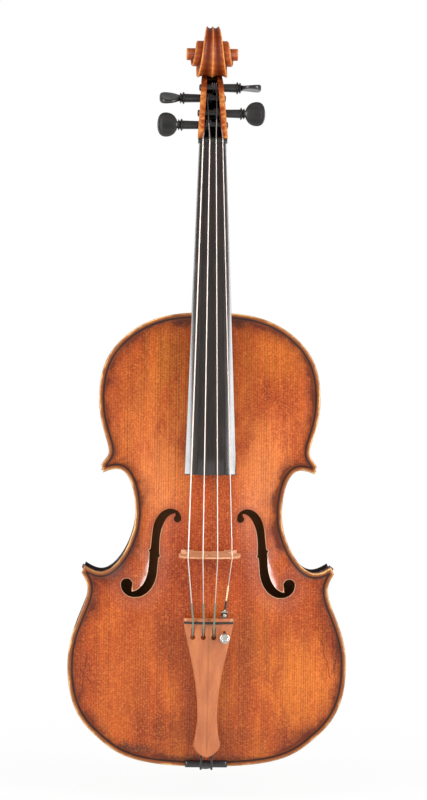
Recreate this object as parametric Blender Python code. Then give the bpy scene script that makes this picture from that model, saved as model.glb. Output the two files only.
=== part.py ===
"""A viola, built as a maker would put it together on the bench.

All sizes are in millimetres and are turned into metres where a mesh is made. The bench frame has x to the
right seen from the front, y up the length from the lower edge of the sound box, and z out of the belly from
the edge's top surface. A root empty stands the instrument upright: its length runs up +Z, its belly faces
-Y, and the world's origin is the point under the scroll where a hanger's yoke carries it.
"""

from math import atan2, cos, degrees, hypot, pi, radians, sin, sqrt

import bmesh
import bpy
from mathutils import Vector, geometry
from mathutils.bvhtree import BVHTree

MM = 0.001
GAP = 0.3                       # clearance between touching pieces, a thick film of hide glue
RUNNING_GAP = 0.3               # radial clearance where a piece turns

# Sound box, seen from the front
BODY_LENGTH = 410.0
UPPER_BOUT_WIDTH = 200.2
UPPER_BOUT_SHARE = 0.8073       # places up the body as shares of its length
WAIST_WIDTH = 132.4
WAIST_SHARE = 0.5561
LOWER_BOUT_WIDTH = 251.8
LOWER_BOUT_SHARE = 0.2244
UPPER_CORNER_SPAN = 195.0
UPPER_CORNER_SHARE = 0.6622
LOWER_CORNER_SPAN = 228.2
LOWER_CORNER_SHARE = 0.4246
CORNER_FACE = 7.3               # width of the small end face of each corner

# Sound box, seen from the side
RIB_HEIGHT = 38.0
RIB_THICKNESS = 1.2
EDGE_THICKNESS = 4.2
EDGE_ROUNDING = 1.4
OVERHANG = 2.7                  # how far the plates stand out past the ribs
TOP_ARCH = 12.8                 # rise of the belly above its edge
BACK_ARCH = 11.8
PLATE_THICKNESS = 3.2
SCOOP_DEPTH = 0.8               # the channel that runs round inside the edge
SCOOP_WIDTH = 15.0
GLUE_MARGIN = 9.0               # flat border on the inside, where ribs and linings are glued
ARCH_MARGIN = 9.0               # from the edge to where the arching begins
PURFLING_INSET = 4.0
PURFLING_WIDTH = 1.3
PURFLING_DEPTH = 2.0
PLATE_GRID = 22.0               # spacing of the points that carry the arching

# Inside work
LINING_THICKNESS = 2.0
LINING_HEIGHT = 8.0
CORNER_BLOCK_REACH = 20.0
UPPER_BLOCK_WIDTH = 62.0
UPPER_BLOCK_DEPTH = 19.0
LOWER_BLOCK_WIDTH = 48.0
LOWER_BLOCK_DEPTH = 17.0
BASS_BAR_LENGTH = 290.0
BASS_BAR_WIDTH = 6.0
BASS_BAR_DEPTH = 11.0
BASS_BAR_X = -18.0
BASS_BAR_SPLAY = 3.0            # how much nearer the centre its upper end lies
SOUND_POST_RADIUS = 3.5
SOUND_POST_X = 19.0
SOUND_POST_BEHIND = 6.0         # from the bridge's line towards the tailpiece

# String lengths and the neck
BODY_STOP_SHARE = 0.5317        # top edge to bridge, as a share of the body's length
NECK_STOP = 153.3               # top edge to nut
FHOLE_FROM_WAIST = 17.2         # stem of the sound hole to the narrowest edge of the waist
UPPER_EYE = (-20.7, 32.0, 3.3)  # centre from stem and bridge line, and radius
LOWER_EYE = (24.4, 5.15)        # centre from the stem, and radius
EYE_BELOW_CORNER = 9.58         # centre of the lower eye under the lower corner
FINGERBOARD_LENGTH = 299.0
FINGERBOARD_NUT_WIDTH = 24.6
FINGERBOARD_END_WIDTH = 46.0
FINGERBOARD_EDGE = 5.0
FINGERBOARD_RADIUS = 42.0
FINGERBOARD_AT_EDGE = 17.5      # height of its crown over the top edge of the body
FINGERBOARD_SLOPE = 0.12
FINGERBOARD_HOLLOW = 3.4
NUT_LENGTH = 5.0
NUT_RISE = 0.9
NECK_DEPTH_AT_NUT = 12.6
NECK_DEPTH_AT_HEEL = 14.0
HEEL_BUTTON_WIDTH = 21.0
BUTTON_HEIGHT = 13.0
MORTISE_DEPTH = 5.5

# Pegbox and scroll
PEGBOX_WIDTH_AT_NUT = 27.4
PEGBOX_WIDTH_AT_THROAT = 20.0
PEGBOX_SLOT_AT_NUT = 16.8
PEGBOX_SLOT_AT_THROAT = 9.6
PEGBOX_FLOOR = 6.0
THROAT_ABOVE_NUT = 57.5         # from the nut's far face to the end of the open slot
SCROLL_EYE_ABOVE_NUT = 82.0
SCROLL_EYE_Z = -42.0
SCROLL_EYE_RADIUS = 5.5
SCROLL_EYE_SPAN = 47.5
SCROLL_BAND_FLUTE = 1.1
SCROLL_SIDE_HOLLOW = 0.7
HANGER_BELOW_EYE = 12.0         # a hanger's yoke carries the undersides of the scroll's side turns

# Strings, in the order C, G, D, A from left to right
STRING_RADII = (0.60, 0.50, 0.42, 0.36)
STRING_SPREAD_AT_NUT = 17.9
STRING_SPREAD_AT_BRIDGE = 38.8
STRING_SPREAD_AT_TAIL = 28.0
STRING_LIFT_AT_BRIDGE = 7.1     # over the fingerboard's surface, carried on to the bridge
STRING_TILT = 0.062             # the C side stands higher than the A side
SILK_RADIUS = 0.75
SILK_SHARE = 0.30               # how far the silk reaches from the tailpiece towards the bridge
BALL_RADIUS = 1.55              # ball end of the C, G and D strings

# Bridge
BRIDGE_FEET_SPAN = 50.0
BRIDGE_FOOT_THICKNESS = 5.5
BRIDGE_CROWN_THICKNESS = 1.5

# Tailpiece, its string rest, saddle and end button
TAILPIECE_LENGTH = 126.5
TAILPIECE_LOW_END_AT = 10.5
TAILPIECE_TOP_WIDTH = 45.3
TAILPIECE_WAIST_WIDTH = 17.9
TAILPIECE_WAIST_AT = 42.0
TAILPIECE_TAIL_WIDTH = 23.7
TAILPIECE_TAIL_AT = 11.0
TAILPIECE_TOP_Z = 33.0
TAILPIECE_LOW_Z = 12.4
TAILPIECE_THICKNESS = 5.5
TAILPIECE_TAIL_THICKNESS = 4.0
TAILPIECE_CROWN = 4.2           # how far its middle ridge stands over its edges
TAIL_REST_FROM_TOP = 4.0
TAIL_HOLES_FROM_TOP = 17.0
TAIL_HOLE_RADIUS = 2.0
TAIL_SLOT_WIDTH = 2.2
SADDLE_WIDTH = 38.0
SADDLE_DEPTH = 6.0
SADDLE_RISE = 4.0
END_BUTTON_RADIUS = 5.5
END_BUTTON_REACH = 5.4          # past the lower edge of the plates
END_BUTTON_NECK_RADIUS = 3.5
END_BUTTON_SHAFT_LENGTH = 20.0
TAILGUT_RADIUS = 1.0

# Pegs
PEG_ABOVE_NUT = (13.4, 39.8, 50.0, 24.9)    # C, G, D, A
PEG_BELOW_FRONT = (10.2, 11.5, 6.8, 10.2)
PEG_RADIUS_AT_HEAD = 3.7
PEG_RADIUS_AT_TIP = 3.2
PEG_SHANKS = (15.0, 14.9, 12.2, 13.9)      # from the cheek to the collar: c, g, d, a
PEG_HEAD_LENGTH = 19.0
PEG_HEAD_WIDTH = 21.0
PEG_TIP_REACH = 1.6
PEG_TURNED = (0.0, 70.0, 90.0, 0.0)         # how far each head is turned, in degrees
WINDING_TURNS = 2.5
WINDING_PITCH = 1.85
WINDING_LOOP_POINTS = 24

# Fine tuner of the A string
TUNER_PLATE_WIDTH = 9.0
TUNER_PLATE_THICKNESS = 1.2
TUNER_BARREL_RADIUS = 1.85
TUNER_STEM_RADIUS = 1.1
TUNER_CLAMP_RADIUS = 3.6
TUNER_CLAMP_HEIGHT = 1.6
TUNER_KNOB_RADIUS = 4.65
TUNER_KNOB_HEIGHT = 4.2
TUNER_KNOB_RIDGES = 40
TUNER_TRAVEL_ROOM = 4.2         # between clamp nut and knurled head, for the screw's travel
TUNER_PLATE_BEHIND = 4.6        # plate past the hole, away from the pivot
TUNER_EAR_THICKNESS = 1.2
TUNER_EAR_REACH = 3.7
TUNER_SUNK = 0.4                # how far ears and barrel are let into the plate
TUNER_ARM_THICKNESS = 1.6
TUNER_FORK_SLIT = 2.3
BALL_BEHIND_FORK = 2.9          # centre of the A string's ball, towards the tailpiece
TUNER_ARM = 15.0                # from the pivot to the screw's tip
TUNER_FORK_REACH = 8.0          # from the pivot to the fork
TUNER_PIN_RADIUS = 0.9
TUNER_ARM_TOP = 0.55            # upper side of the long arm over the pivot, under the screw

SHARP = radians(38)

# Shapes that the sizes above stretch and place
HEEL_SHAPE = ((3.0, 1.0), (6.5, 0.86), (10.0, 0.62), (14.0, 0.38), (19.0, 0.19), (26.0, 0.07),
              (36.0, 0.0), (80.0, 0.0))          # above the body's edge, and share of the heel's depth
PEGBOX_FRONT_SHAPE = ((0, -4.0), (16.5, -10.2), (31.5, -16.4), (43.5, -22.8), (52.5, -30.0), (59.0, -40.0),
                      (68.0, -50.0))             # above the nut's far face, and height
PEGBOX_BACK_SHAPE = ((0, -24.6), (8.0, -29.5), (21.5, -36.6), (41.5, -47.6), (61.5, -60.0), (72.0, -66.0))
CHIN_BELOW_EYE = 15.0
PEG_COLLAR_SHAPE = ((0.4, 4.9), (1.8, 4.9), (2.6, 3.7), (4.0, 3.5))    # past the shank, and radius
PEG_HEAD_SHAPE = ((0.072, 0.50, 6.6, 6.0), (0.181, 0.72, 6.8, 5.0), (0.361, 0.94, 7.4, 4.0),
                  (0.572, 1.0, 7.4, 3.6), (0.753, 0.93, 7.0, 3.8), (0.880, 0.72, 6.2, 4.2),
                  (0.952, 0.38, 4.6, 4.0))       # shares of length and width, rim and middle thickness
PEG_CROSSING = 6.0                              # how far a bore's guide stands out of the cheeks
BRIDGE_SIDE_SHAPE = ((1.4, 1.8), (3.6, 7.0), (4.8, 12.0), (4.0, 14.6), (1.6, 15.0), (-1.8, 12.6),
                     (-5.0, 12.8), (-6.6, 15.6), (-5.2, 18.4), (-2.0, 20.0))    # out from crown, and down
BRIDGE_LEG_SHAPE = ((4.2, 9.0), (4.0, 6.0), (1.4, 4.2), (0.0, 2.6))     # in from the foot's end, and up
BRIDGE_ARCH_SHAPE = ((10.0, 5.2), (11.6, 8.2), (15.0, 9.8), (20.0, 8.8))
BRIDGE_ARCH_TOP = 9.4
BRIDGE_SHOULDER = 3.2                           # crown past the outer strings
BRIDGE_FOOT_LENGTH = 11.0
HEART_BELOW_CROWN = 14.0
HEART_SHAPE = ((0.0, 3.2), (1.6, 4.6), (3.4, 3.9), (3.8, 1.8), (2.2, -0.6), (1.0, -3.4), (0.0, -4.6))
TAILPIECE_STATIONS = (0.158, 0.237, 0.443, 0.569, 0.711, 0.830)
SADDLE_SHAPE = ((1.0, 0.35), (0.97, 0.75), (0.8, 1.0), (-0.8, 1.0), (-0.97, 0.75), (-1.0, 0.35))
CORNER_TAIL = 45.0              # straight tails that carry two bout curves on to where they meet
LEAST_STEP = 0.45               # shortest step along the outline
CORNER_STEPS = 9                # points of a bout curve that lie near its corner

# Places worked out from the sizes above
UPPER_BOUT_AT = BODY_LENGTH * UPPER_BOUT_SHARE
WAIST_AT = BODY_LENGTH * WAIST_SHARE
LOWER_BOUT_AT = BODY_LENGTH * LOWER_BOUT_SHARE
UPPER_CORNER_AT = BODY_LENGTH * UPPER_CORNER_SHARE
LOWER_CORNER_AT = BODY_LENGTH * LOWER_CORNER_SHARE
BODY_STOP = BODY_LENGTH * BODY_STOP_SHARE
RIB_TOP = -EDGE_THICKNESS - GAP
RIB_FOOT = RIB_TOP - RIB_HEIGHT
BACK_INSIDE = RIB_FOOT - GAP
BRIDGE_AT = BODY_LENGTH - BODY_STOP
NUT_AT = BODY_LENGTH + NECK_STOP
NUT_FAR = NUT_AT + NUT_LENGTH
FHOLE_X = WAIST_WIDTH / 2 - FHOLE_FROM_WAIST
SCROLL_EYE_AT = NUT_FAR + SCROLL_EYE_ABOVE_NUT
TAILPIECE_TOP_AT = TAILPIECE_LOW_END_AT + TAILPIECE_LENGTH
TAIL_REST_AT = TAILPIECE_TOP_AT - TAIL_REST_FROM_TOP
TAIL_HOLES_AT = TAILPIECE_TOP_AT - TAIL_HOLES_FROM_TOP


# Helpers for curves in a plane

def bezier(p0, p1, p2, p3, steps):
    """Points along a cubic curve, without its last point."""
    points = []
    for i in range(steps):
        t = i / steps
        s = 1 - t
        points.append(tuple(s**3 * a + 3 * s * s * t * b + 3 * s * t * t * c + t**3 * d
                            for a, b, c, d in zip(p0, p1, p2, p3)))
    return points


def arc(cx, cy, radius, start, end, steps):
    """Points on a circle from start to end, in degrees, both ends included."""
    return [(cx + radius * cos(radians(start + (end - start) * i / steps)),
             cy + radius * sin(radians(start + (end - start) * i / steps))) for i in range(steps + 1)]


def smooth(t):
    """A ramp from 0 to 1 with level ends."""
    t = min(max(t, 0.0), 1.0)
    return t * t * (3 - 2 * t)


def through(stations, at):
    """Read a value from (place, value) stations along straight runs."""
    if at <= stations[0][0]:
        return stations[0][1]
    for (a, va), (b, vb) in zip(stations, stations[1:]):
        if at <= b:
            return va + (vb - va) * (at - a) / (b - a)
    return stations[-1][1]


def inset(curve, distance):
    """The curve moved to its right-hand side, which is the inside of the sound box."""
    moved = []
    for i, (x, y) in enumerate(curve):
        before = curve[max(i - 1, 0)]
        after = curve[min(i + 1, len(curve) - 1)]
        dx, dy = after[0] - before[0], after[1] - before[1]
        length = hypot(dx, dy)
        moved.append((x + distance * dy / length, y - distance * dx / length))
    return moved


def lengthened(curve, amount, at_start, at_end):
    """The curve with straight tails, so that neighbours cross."""
    curve = list(curve)
    if at_start:
        (x0, y0), (x1, y1) = curve[0], curve[1]
        step = amount / hypot(x1 - x0, y1 - y0)
        curve.insert(0, (x0 - (x1 - x0) * step, y0 - (y1 - y0) * step))
    if at_end:
        (x0, y0), (x1, y1) = curve[-1], curve[-2]
        step = amount / hypot(x1 - x0, y1 - y0)
        curve.append((x0 - (x1 - x0) * step, y0 - (y1 - y0) * step))
    return curve


def crossing(first, second):
    """Where two open curves cross: the last crossing on the first, and the steps it lies on."""
    found = None
    for i in range(len(first) - 1):
        ax, ay = first[i]
        bx, by = first[i + 1]
        for j in range(len(second) - 1):
            cx, cy = second[j]
            dx, dy = second[j + 1]
            det = (bx - ax) * (dy - cy) - (by - ay) * (dx - cx)
            if abs(det) < 1e-9:
                continue
            t = ((cx - ax) * (dy - cy) - (cy - ay) * (dx - cx)) / det
            u = ((cx - ax) * (by - ay) - (cy - ay) * (bx - ax)) / det
            if 0 <= t <= 1 and 0 <= u <= 1:
                found = (i, j, (ax + (bx - ax) * t, ay + (by - ay) * t))
    return found


def nearest_on(curve, point):
    """The point of an open curve that lies nearest to a point."""
    x, y = point
    best, found = 1e9, curve[0]
    for (ax, ay), (bx, by) in zip(curve, curve[1:]):
        dx, dy = bx - ax, by - ay
        span = dx * dx + dy * dy
        t = 0.0 if span == 0 else min(max(((x - ax) * dx + (y - ay) * dy) / span, 0.0), 1.0)
        away = hypot(ax + dx * t - x, ay + dy * t - y)
        if away < best:
            best, found = away, (ax + dx * t, ay + dy * t)
    return found


def run_length(curve):
    """Length of an open curve."""
    return sum(hypot(b[0] - a[0], b[1] - a[1]) for a, b in zip(curve, curve[1:]))


def shortened(curve, from_start, from_end):
    """The curve with a length taken off each end."""
    lengths = [0.0]
    for (ax, ay), (bx, by) in zip(curve, curve[1:]):
        lengths.append(lengths[-1] + hypot(bx - ax, by - ay))
    xs = list(zip(lengths, [p[0] for p in curve]))
    ys = list(zip(lengths, [p[1] for p in curve]))
    low, high = from_start, lengths[-1] - from_end
    kept = [(through(xs, low), through(ys, low))]
    kept += [p for p, length in zip(curve, lengths) if low + 0.2 < length < high - 0.2]
    kept.append((through(xs, high), through(ys, high)))
    return kept


def spacing_to(point, loop):
    """Distance from a point to a closed loop."""
    x, y = point
    best = 1e9
    for (ax, ay), (bx, by) in zip(loop, loop[1:] + loop[:1]):
        dx, dy = bx - ax, by - ay
        span = dx * dx + dy * dy
        t = 0.0 if span == 0 else min(max(((x - ax) * dx + (y - ay) * dy) / span, 0.0), 1.0)
        best = min(best, hypot(ax + dx * t - x, ay + dy * t - y))
    return best


def inside(point, loop):
    """Whether a point lies within a closed loop."""
    x, y = point
    odd = False
    for (ax, ay), (bx, by) in zip(loop, loop[1:] + loop[:1]):
        if (ay > y) != (by > y) and x < ax + (bx - ax) * (y - ay) / (by - ay):
            odd = not odd
    return odd


# The outline of the sound box: three curves for the right half, from the top to the bottom

def corner_points():
    """Upper and lower end of the small end face of both right-hand corners."""
    upper_high = (UPPER_CORNER_SPAN / 2, UPPER_CORNER_AT)
    upper_low = (upper_high[0] - 0.27 * CORNER_FACE, upper_high[1] - 0.96 * CORNER_FACE)
    lower_low = (LOWER_CORNER_SPAN / 2, LOWER_CORNER_AT)
    lower_high = (lower_low[0] - 0.37 * CORNER_FACE, lower_low[1] + 0.93 * CORNER_FACE)
    return upper_high, upper_low, lower_high, lower_low


def upper_bout():
    """From the top centre round the shoulder to the upper corner."""
    half, at = UPPER_BOUT_WIDTH / 2, UPPER_BOUT_AT
    rise = BODY_LENGTH - at
    corner = corner_points()[0]
    shoulder = (0.80 * half, at + 0.686 * rise)
    hollow = (corner[0] - 6.7, corner[1] + 12.5)
    fall = at - hollow[1]
    points = bezier((0, BODY_LENGTH), (0.27 * half, BODY_LENGTH),
                    (shoulder[0] - 0.25 * half, shoulder[1] + 0.30 * rise), shoulder, 6)
    points += bezier(shoulder, (shoulder[0] + 0.135 * half, shoulder[1] - 0.17 * rise),
                     (half, at + 0.34 * rise), (half, at), 4)
    points += bezier((half, at), (half, at - 0.49 * fall), (hollow[0], hollow[1] + 0.18 * fall), hollow, 4)
    points += bezier(hollow, (hollow[0], hollow[1] - 4.6), (corner[0] - 2.7, corner[1] + 4.7), corner, 3)
    return points + [corner]


def waist():
    """The centre bout, from the upper corner's lower point to the lower corner's upper point."""
    _, high, low, _ = corner_points()
    crest = (high[0] - 12.5, high[1] + 3.3)
    trough = (low[0] - 14.4, low[1] - 5.7)
    half, at = WAIST_WIDTH / 2, WAIST_AT
    over, under = crest[1] - at, at - trough[1]
    points = bezier(high, (high[0] - 4.0, high[1] + 2.0), (crest[0] + 4.5, crest[1]), crest, 3)
    points += bezier(crest, (crest[0] - 0.72 * (crest[0] - half), crest[1]),
                     (half, at + 0.43 * over), (half, at), 5)
    points += bezier((half, at), (half, at - 0.44 * under),
                     (trough[0] - 0.48 * (trough[0] - half), trough[1]), trough, 6)
    points += bezier(trough, (trough[0] + 5.0, trough[1]), (low[0] - 4.4, low[1] - 2.8), low, 3)
    return points + [low]


def lower_bout():
    """From the lower corner round the lower bout to the bottom centre."""
    half, at = LOWER_BOUT_WIDTH / 2, LOWER_BOUT_AT
    corner = corner_points()[3]
    hollow = (corner[0] - 5.5, corner[1] - 14.4)
    hip = (0.806 * half, 0.313 * at)
    points = bezier(corner, (corner[0] - 3.0, corner[1] - 4.6), (hollow[0], hollow[1] + 5.0), hollow, 3)
    points += bezier(hollow, (hollow[0], hollow[1] - 0.23 * (hollow[1] - at)),
                     (half, at + 0.47 * (hollow[1] - at)), (half, at), 4)
    points += bezier((half, at), (half, 0.69 * at), (hip[0] + 0.14 * half, hip[1] + 0.17 * at), hip, 4)
    points += bezier(hip, (hip[0] - 0.15 * half, hip[1] - 0.185 * at), (0.56 * half, 0), (0, 0), 7)
    return points + [(0.0, 0.0)]


def bout_runs(distance, with_faces=True):
    """The three curves moved in by a distance and trimmed where they meet, with the corner faces kept."""
    runs = [inset(upper_bout(), distance), inset(waist(), distance), inset(lower_bout(), distance)]
    tails = [(False, True), (True, True), (True, False)]
    runs = [lengthened(run, CORNER_TAIL, *tail) for run, tail in zip(runs, tails)]
    points = corner_points()
    for index in (0, 1):
        a, b = points[2 * index], points[2 * index + 1]
        length = hypot(b[0] - a[0], b[1] - a[1])
        normal = ((b[1] - a[1]) / length, -(b[0] - a[0]) / length)
        i, j, mitre = crossing(runs[index], runs[index + 1])
        within = (mitre[0] - a[0]) * normal[0] + (mitre[1] - a[1]) * normal[1]
        if with_faces and within < distance - 1e-6:
            tail = CORNER_TAIL / length
            face = [(a[0] + normal[0] * distance - tail * (b[0] - a[0]),
                     a[1] + normal[1] * distance - tail * (b[1] - a[1])),
                    (b[0] + normal[0] * distance + tail * (b[0] - a[0]),
                     b[1] + normal[1] * distance + tail * (b[1] - a[1]))]
            before, back = runs[index][-CORNER_STEPS:], runs[index + 1][:CORNER_STEPS][::-1]
            i, _, high = crossing(before, face)
            i += len(runs[index]) - len(before)
            j, _, low = crossing(back, face)
            j = len(back) - 2 - j
            runs[index] = runs[index][:i + 1] + [high]
            runs[index + 1] = [low] + runs[index + 1][j + 1:]
        else:
            runs[index] = runs[index][:i + 1] + [mitre]
            runs[index + 1] = [mitre] + runs[index + 1][j + 1:]
    return runs


def tidy_run(points, least=LEAST_STEP):
    """Drop points that crowd their neighbour, and keep both ends."""
    kept = [points[0]]
    for point in points[1:-1]:
        if hypot(point[0] - kept[-1][0], point[1] - kept[-1][1]) > least \
                and hypot(point[0] - points[-1][0], point[1] - points[-1][1]) > least:
            kept.append(point)
    return kept + [points[-1]]


def body_loop(distance, button=False):
    """The closed outline moved in by a distance; the back's has the button at its top."""
    runs = [tidy_run(run) for run in bout_runs(distance)]
    half = []
    for run in runs:
        joined = half and hypot(run[0][0] - half[-1][0], run[0][1] - half[-1][1]) < 1e-6
        half += run[1:] if joined else run
    if button:
        half = button_arc(distance) + [p for p in half if p[0] > HEEL_BUTTON_WIDTH / 2 - distance + 1.0]
    return half + [(-x, y) for x, y in half[-2:0:-1]]


def button_arc(distance):
    """The right half of the round tab on the back that carries the heel of the neck."""
    radius = HEEL_BUTTON_WIDTH / 2 - distance
    centre = BODY_LENGTH + BUTTON_HEIGHT - HEEL_BUTTON_WIDTH / 2
    return arc(0, centre, radius, 90, 0, 5) + [(radius, BODY_LENGTH - distance - 0.2)]


def arch_half_width(y):
    """Half width of the arched part of a plate, which passes inside the corners."""
    top, bottom = BODY_LENGTH - ARCH_MARGIN, ARCH_MARGIN
    upper, mid, lower = UPPER_BOUT_WIDTH / 2, WAIST_WIDTH / 2, LOWER_BOUT_WIDTH / 2
    if y >= UPPER_BOUT_AT:
        t = (y - UPPER_BOUT_AT) / (top - UPPER_BOUT_AT)
        return (upper - ARCH_MARGIN) * sqrt(max(1 - min(t, 1.0) ** 2.3, 0.0))
    if y <= LOWER_BOUT_AT:
        t = (LOWER_BOUT_AT - y) / (LOWER_BOUT_AT - bottom)
        return (lower - ARCH_MARGIN) * sqrt(max(1 - min(t, 1.0) ** 2.3, 0.0))
    if y >= WAIST_AT:
        return mid + (upper - mid) * smooth((y - WAIST_AT) / (UPPER_BOUT_AT - WAIST_AT)) - ARCH_MARGIN
    return mid + (lower - mid) * smooth((WAIST_AT - y) / (WAIST_AT - LOWER_BOUT_AT)) - ARCH_MARGIN


def arching(x, y, rise):
    """Rise of a plate over its edge: a full long arch, and across it a recurve down to the edge."""
    middle = BODY_LENGTH / 2
    along = abs(y - middle) / (middle - ARCH_MARGIN)
    across = abs(x) / max(arch_half_width(y), 1e-6)
    if along >= 1 or across >= 1:
        return 0.0
    return rise * (1 - along ** 3) ** 1.5 * (1 - across ** 2.2) ** 1.7


def scoop(distance):
    """Depth of the channel at a distance from the edge."""
    if distance <= EDGE_ROUNDING or distance >= SCOOP_WIDTH:
        return 0.0
    return -SCOOP_DEPTH * sin(pi * (distance - EDGE_ROUNDING) / (SCOOP_WIDTH - EDGE_ROUNDING)) ** 2


def edge_distance(x, y, outline):
    """Distance inwards from the edge; on the button outside it there is none."""
    return spacing_to((x, y), outline) if inside((x, y), outline) else 0.0


def outside_height(x, y, rise, outline):
    """Height of a plate's outer surface over its edge."""
    return arching(x, y, rise) + scoop(edge_distance(x, y, outline))


def inside_height(x, y, rise, outline):
    """Height of a plate's inner surface: flat where it is glued, and hollowed to an even thickness."""
    distance = edge_distance(x, y, outline)
    hollowed = outside_height(x, y, rise, outline) - PLATE_THICKNESS
    if distance <= GLUE_MARGIN:
        return -EDGE_THICKNESS
    return max(-EDGE_THICKNESS, hollowed)


def sound_hole():
    """The right-hand f-hole, clockwise from the upper eye, with its lower eye held by the lower corner."""
    ux, uy, ur = UPPER_EYE
    lx, lr = LOWER_EYE
    ly = LOWER_CORNER_AT - EYE_BELOW_CORNER - BRIDGE_AT
    points = arc(ux, uy, ur, 10, -250, 8)[:-1]
    start = arc(ux, uy, ur, -250, -250, 1)[0]
    points += bezier(start, (-20.5, 49.5), (0.8, 31.0), (1.7, 18.4), 6)
    points += [(1.7, 18.4), (3.2, 4.6), (5.2, 2.8), (4.0, 1.2)]
    left = arc(lx, ly, lr, 190, 190, 1)[0]
    points += bezier((4.9, -14.5), (5.5, -25.0), (11.0, ly - 4.5), left, 5)
    points += arc(lx, ly, lr, 190, -70, 8)[:-1]
    low = arc(lx, ly, lr, -70, -70, 1)[0]
    points += bezier(low, (21.0, ly - 19.5), (-2.0, ly - 6.5), (-2.4, -14.5), 7)
    points += [(-2.4, -14.5), (-3.2, -3.4), (-5.2, -1.8), (-4.3, 0.2)]
    right = arc(ux, uy, ur, 10, 10, 1)[0]
    points += bezier((-4.6, 18.4), (-5.0, 27.0), (-10.0, 34.5), right, 5)
    return [(FHOLE_X + dx, BRIDGE_AT + dy) for dx, dy in points]


# Mesh helpers

ROOT = None
CUTTERS = {}
SURFACES = {}


def finish_material(name, colour, roughness, metallic=0.0):
    """A plain Principled material, made once."""
    made = bpy.data.materials.get(name)
    if made:
        return made
    made = bpy.data.materials.new(name)
    made.use_nodes = True
    shader = made.node_tree.nodes["Principled BSDF"]
    shader.inputs["Base Color"].default_value = (*colour, 1.0)
    shader.inputs["Roughness"].default_value = roughness
    shader.inputs["Metallic"].default_value = metallic
    made.diffuse_color = (*colour, 1.0)
    return made


FINISHES = {
    "varnished_spruce": ((0.55, 0.21, 0.06), 0.35, 0.0),
    "varnished_maple": ((0.50, 0.19, 0.06), 0.32, 0.0),
    "bare_spruce": ((0.72, 0.55, 0.34), 0.6, 0.0),
    "bare_maple": ((0.70, 0.50, 0.28), 0.5, 0.0),
    "ebony": ((0.03, 0.028, 0.027), 0.4, 0.0),
    "boxwood": ((0.48, 0.22, 0.13), 0.4, 0.0),
    "wound_string": ((0.75, 0.75, 0.74), 0.3, 1.0),
    "tail_cord": ((0.04, 0.04, 0.04), 0.5, 0.0),
    "nickel": ((0.80, 0.78, 0.74), 0.25, 1.0),
}


def add_object(name, bm, finish, origin=(0.0, 0.0, 0.0)):
    """Turn a bench mesh in millimetres into a named object under the root."""
    bmesh.ops.remove_doubles(bm, verts=bm.verts, dist=0.002)
    bmesh.ops.recalc_face_normals(bm, faces=bm.faces)
    ox, oy, oz = origin
    for vert in bm.verts:
        vert.co = Vector(((vert.co.x - ox) * MM, (vert.co.y - oy) * MM, (vert.co.z - oz) * MM))
    mesh = bpy.data.meshes.new(name)
    bm.to_mesh(mesh)
    bm.free()
    mesh.shade_smooth()
    mesh.set_sharp_from_angle(angle=SHARP)
    made = bpy.data.objects.new(name, mesh)
    bpy.context.collection.objects.link(made)
    made.location = (ox * MM, oy * MM, oz * MM)
    made.parent = ROOT
    if finish:
        mesh.materials.append(finish_material(finish, *FINISHES[finish]))
    return made


def add_cutter(name, bm):
    """A guide solid that a Boolean uses; it is no piece of the instrument."""
    made = add_object(name, bm, None)
    made.hide_render = True
    made.display_type = "WIRE"
    return made


def boolean(target, cutter, operation="DIFFERENCE"):
    """Cut a piece with a guide, or join the guide to it."""
    step = target.modifiers.new(cutter.name, "BOOLEAN")
    step.operation = operation
    step.solver = "EXACT"
    step.object = cutter
    return step


def loft(bm, rings, close=True):
    """Skin rings of equal count, with a cap at each end."""
    rows = [[bm.verts.new(point) for point in ring] for ring in rings]
    count = len(rows[0])
    for low, high in zip(rows, rows[1:]):
        for i in range(count):
            j = (i + 1) % count
            bm.faces.new((low[i], low[j], high[j], high[i]))
    if close:
        bm.faces.new(rows[0][::-1])
        bm.faces.new(rows[-1])
    return rows


def strip_solid(bm, outer, inner, low, high):
    """A bent strip between two parallel plan curves, from a low to a high level."""
    partners = [inner[0]] + [nearest_on(inner, point) for point in outer[1:-1]] + [inner[-1]]
    rings = [[(ox, oy, low), (ix, iy, low), (ix, iy, high), (ox, oy, high)]
             for (ox, oy), (ix, iy) in zip(outer, partners)]
    loft(bm, rings)


def plan_faces(loops, holes=(), points=()):
    """Triangles over a plan: inside the first loop, along every other loop, and outside the holes."""
    coords, edges = [], []
    for loop in list(loops) + list(holes):
        first = len(coords)
        coords += [Vector(p) for p in loop]
        edges += [(first + i, first + (i + 1) % len(loop)) for i in range(len(loop))]
    coords += [Vector(p) for p in points]
    made = geometry.delaunay_2d_cdt(coords, edges, [], 1, 1e-4)
    places = [(v.x, v.y) for v in made[0]]
    kept = []
    for face in made[2]:
        middle = (sum(places[i][0] for i in face) / len(face), sum(places[i][1] for i in face) / len(face))
        if inside(middle, loops[0]) and not any(inside(middle, hole) for hole in holes):
            kept.append(face)
    return places, kept


def lay_patch(bm, places, faces, height):
    """Lift plan triangles to a surface."""
    used = {}
    for face in faces:
        for i in face:
            if i not in used:
                used[i] = bm.verts.new((*places[i], height(*places[i])))
        bm.faces.new([used[i] for i in face])


def lay_wall(bm, loop, low, high):
    """A wall along a closed loop between two surfaces."""
    count = len(loop)
    lows = [bm.verts.new((x, y, low(x, y))) for x, y in loop]
    highs = [bm.verts.new((x, y, high(x, y))) for x, y in loop]
    for i in range(count):
        j = (i + 1) % count
        bm.faces.new((lows[i], lows[j], highs[j], highs[i]))


def level(value):
    """A flat surface at one height."""
    return lambda x, y: value


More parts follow.
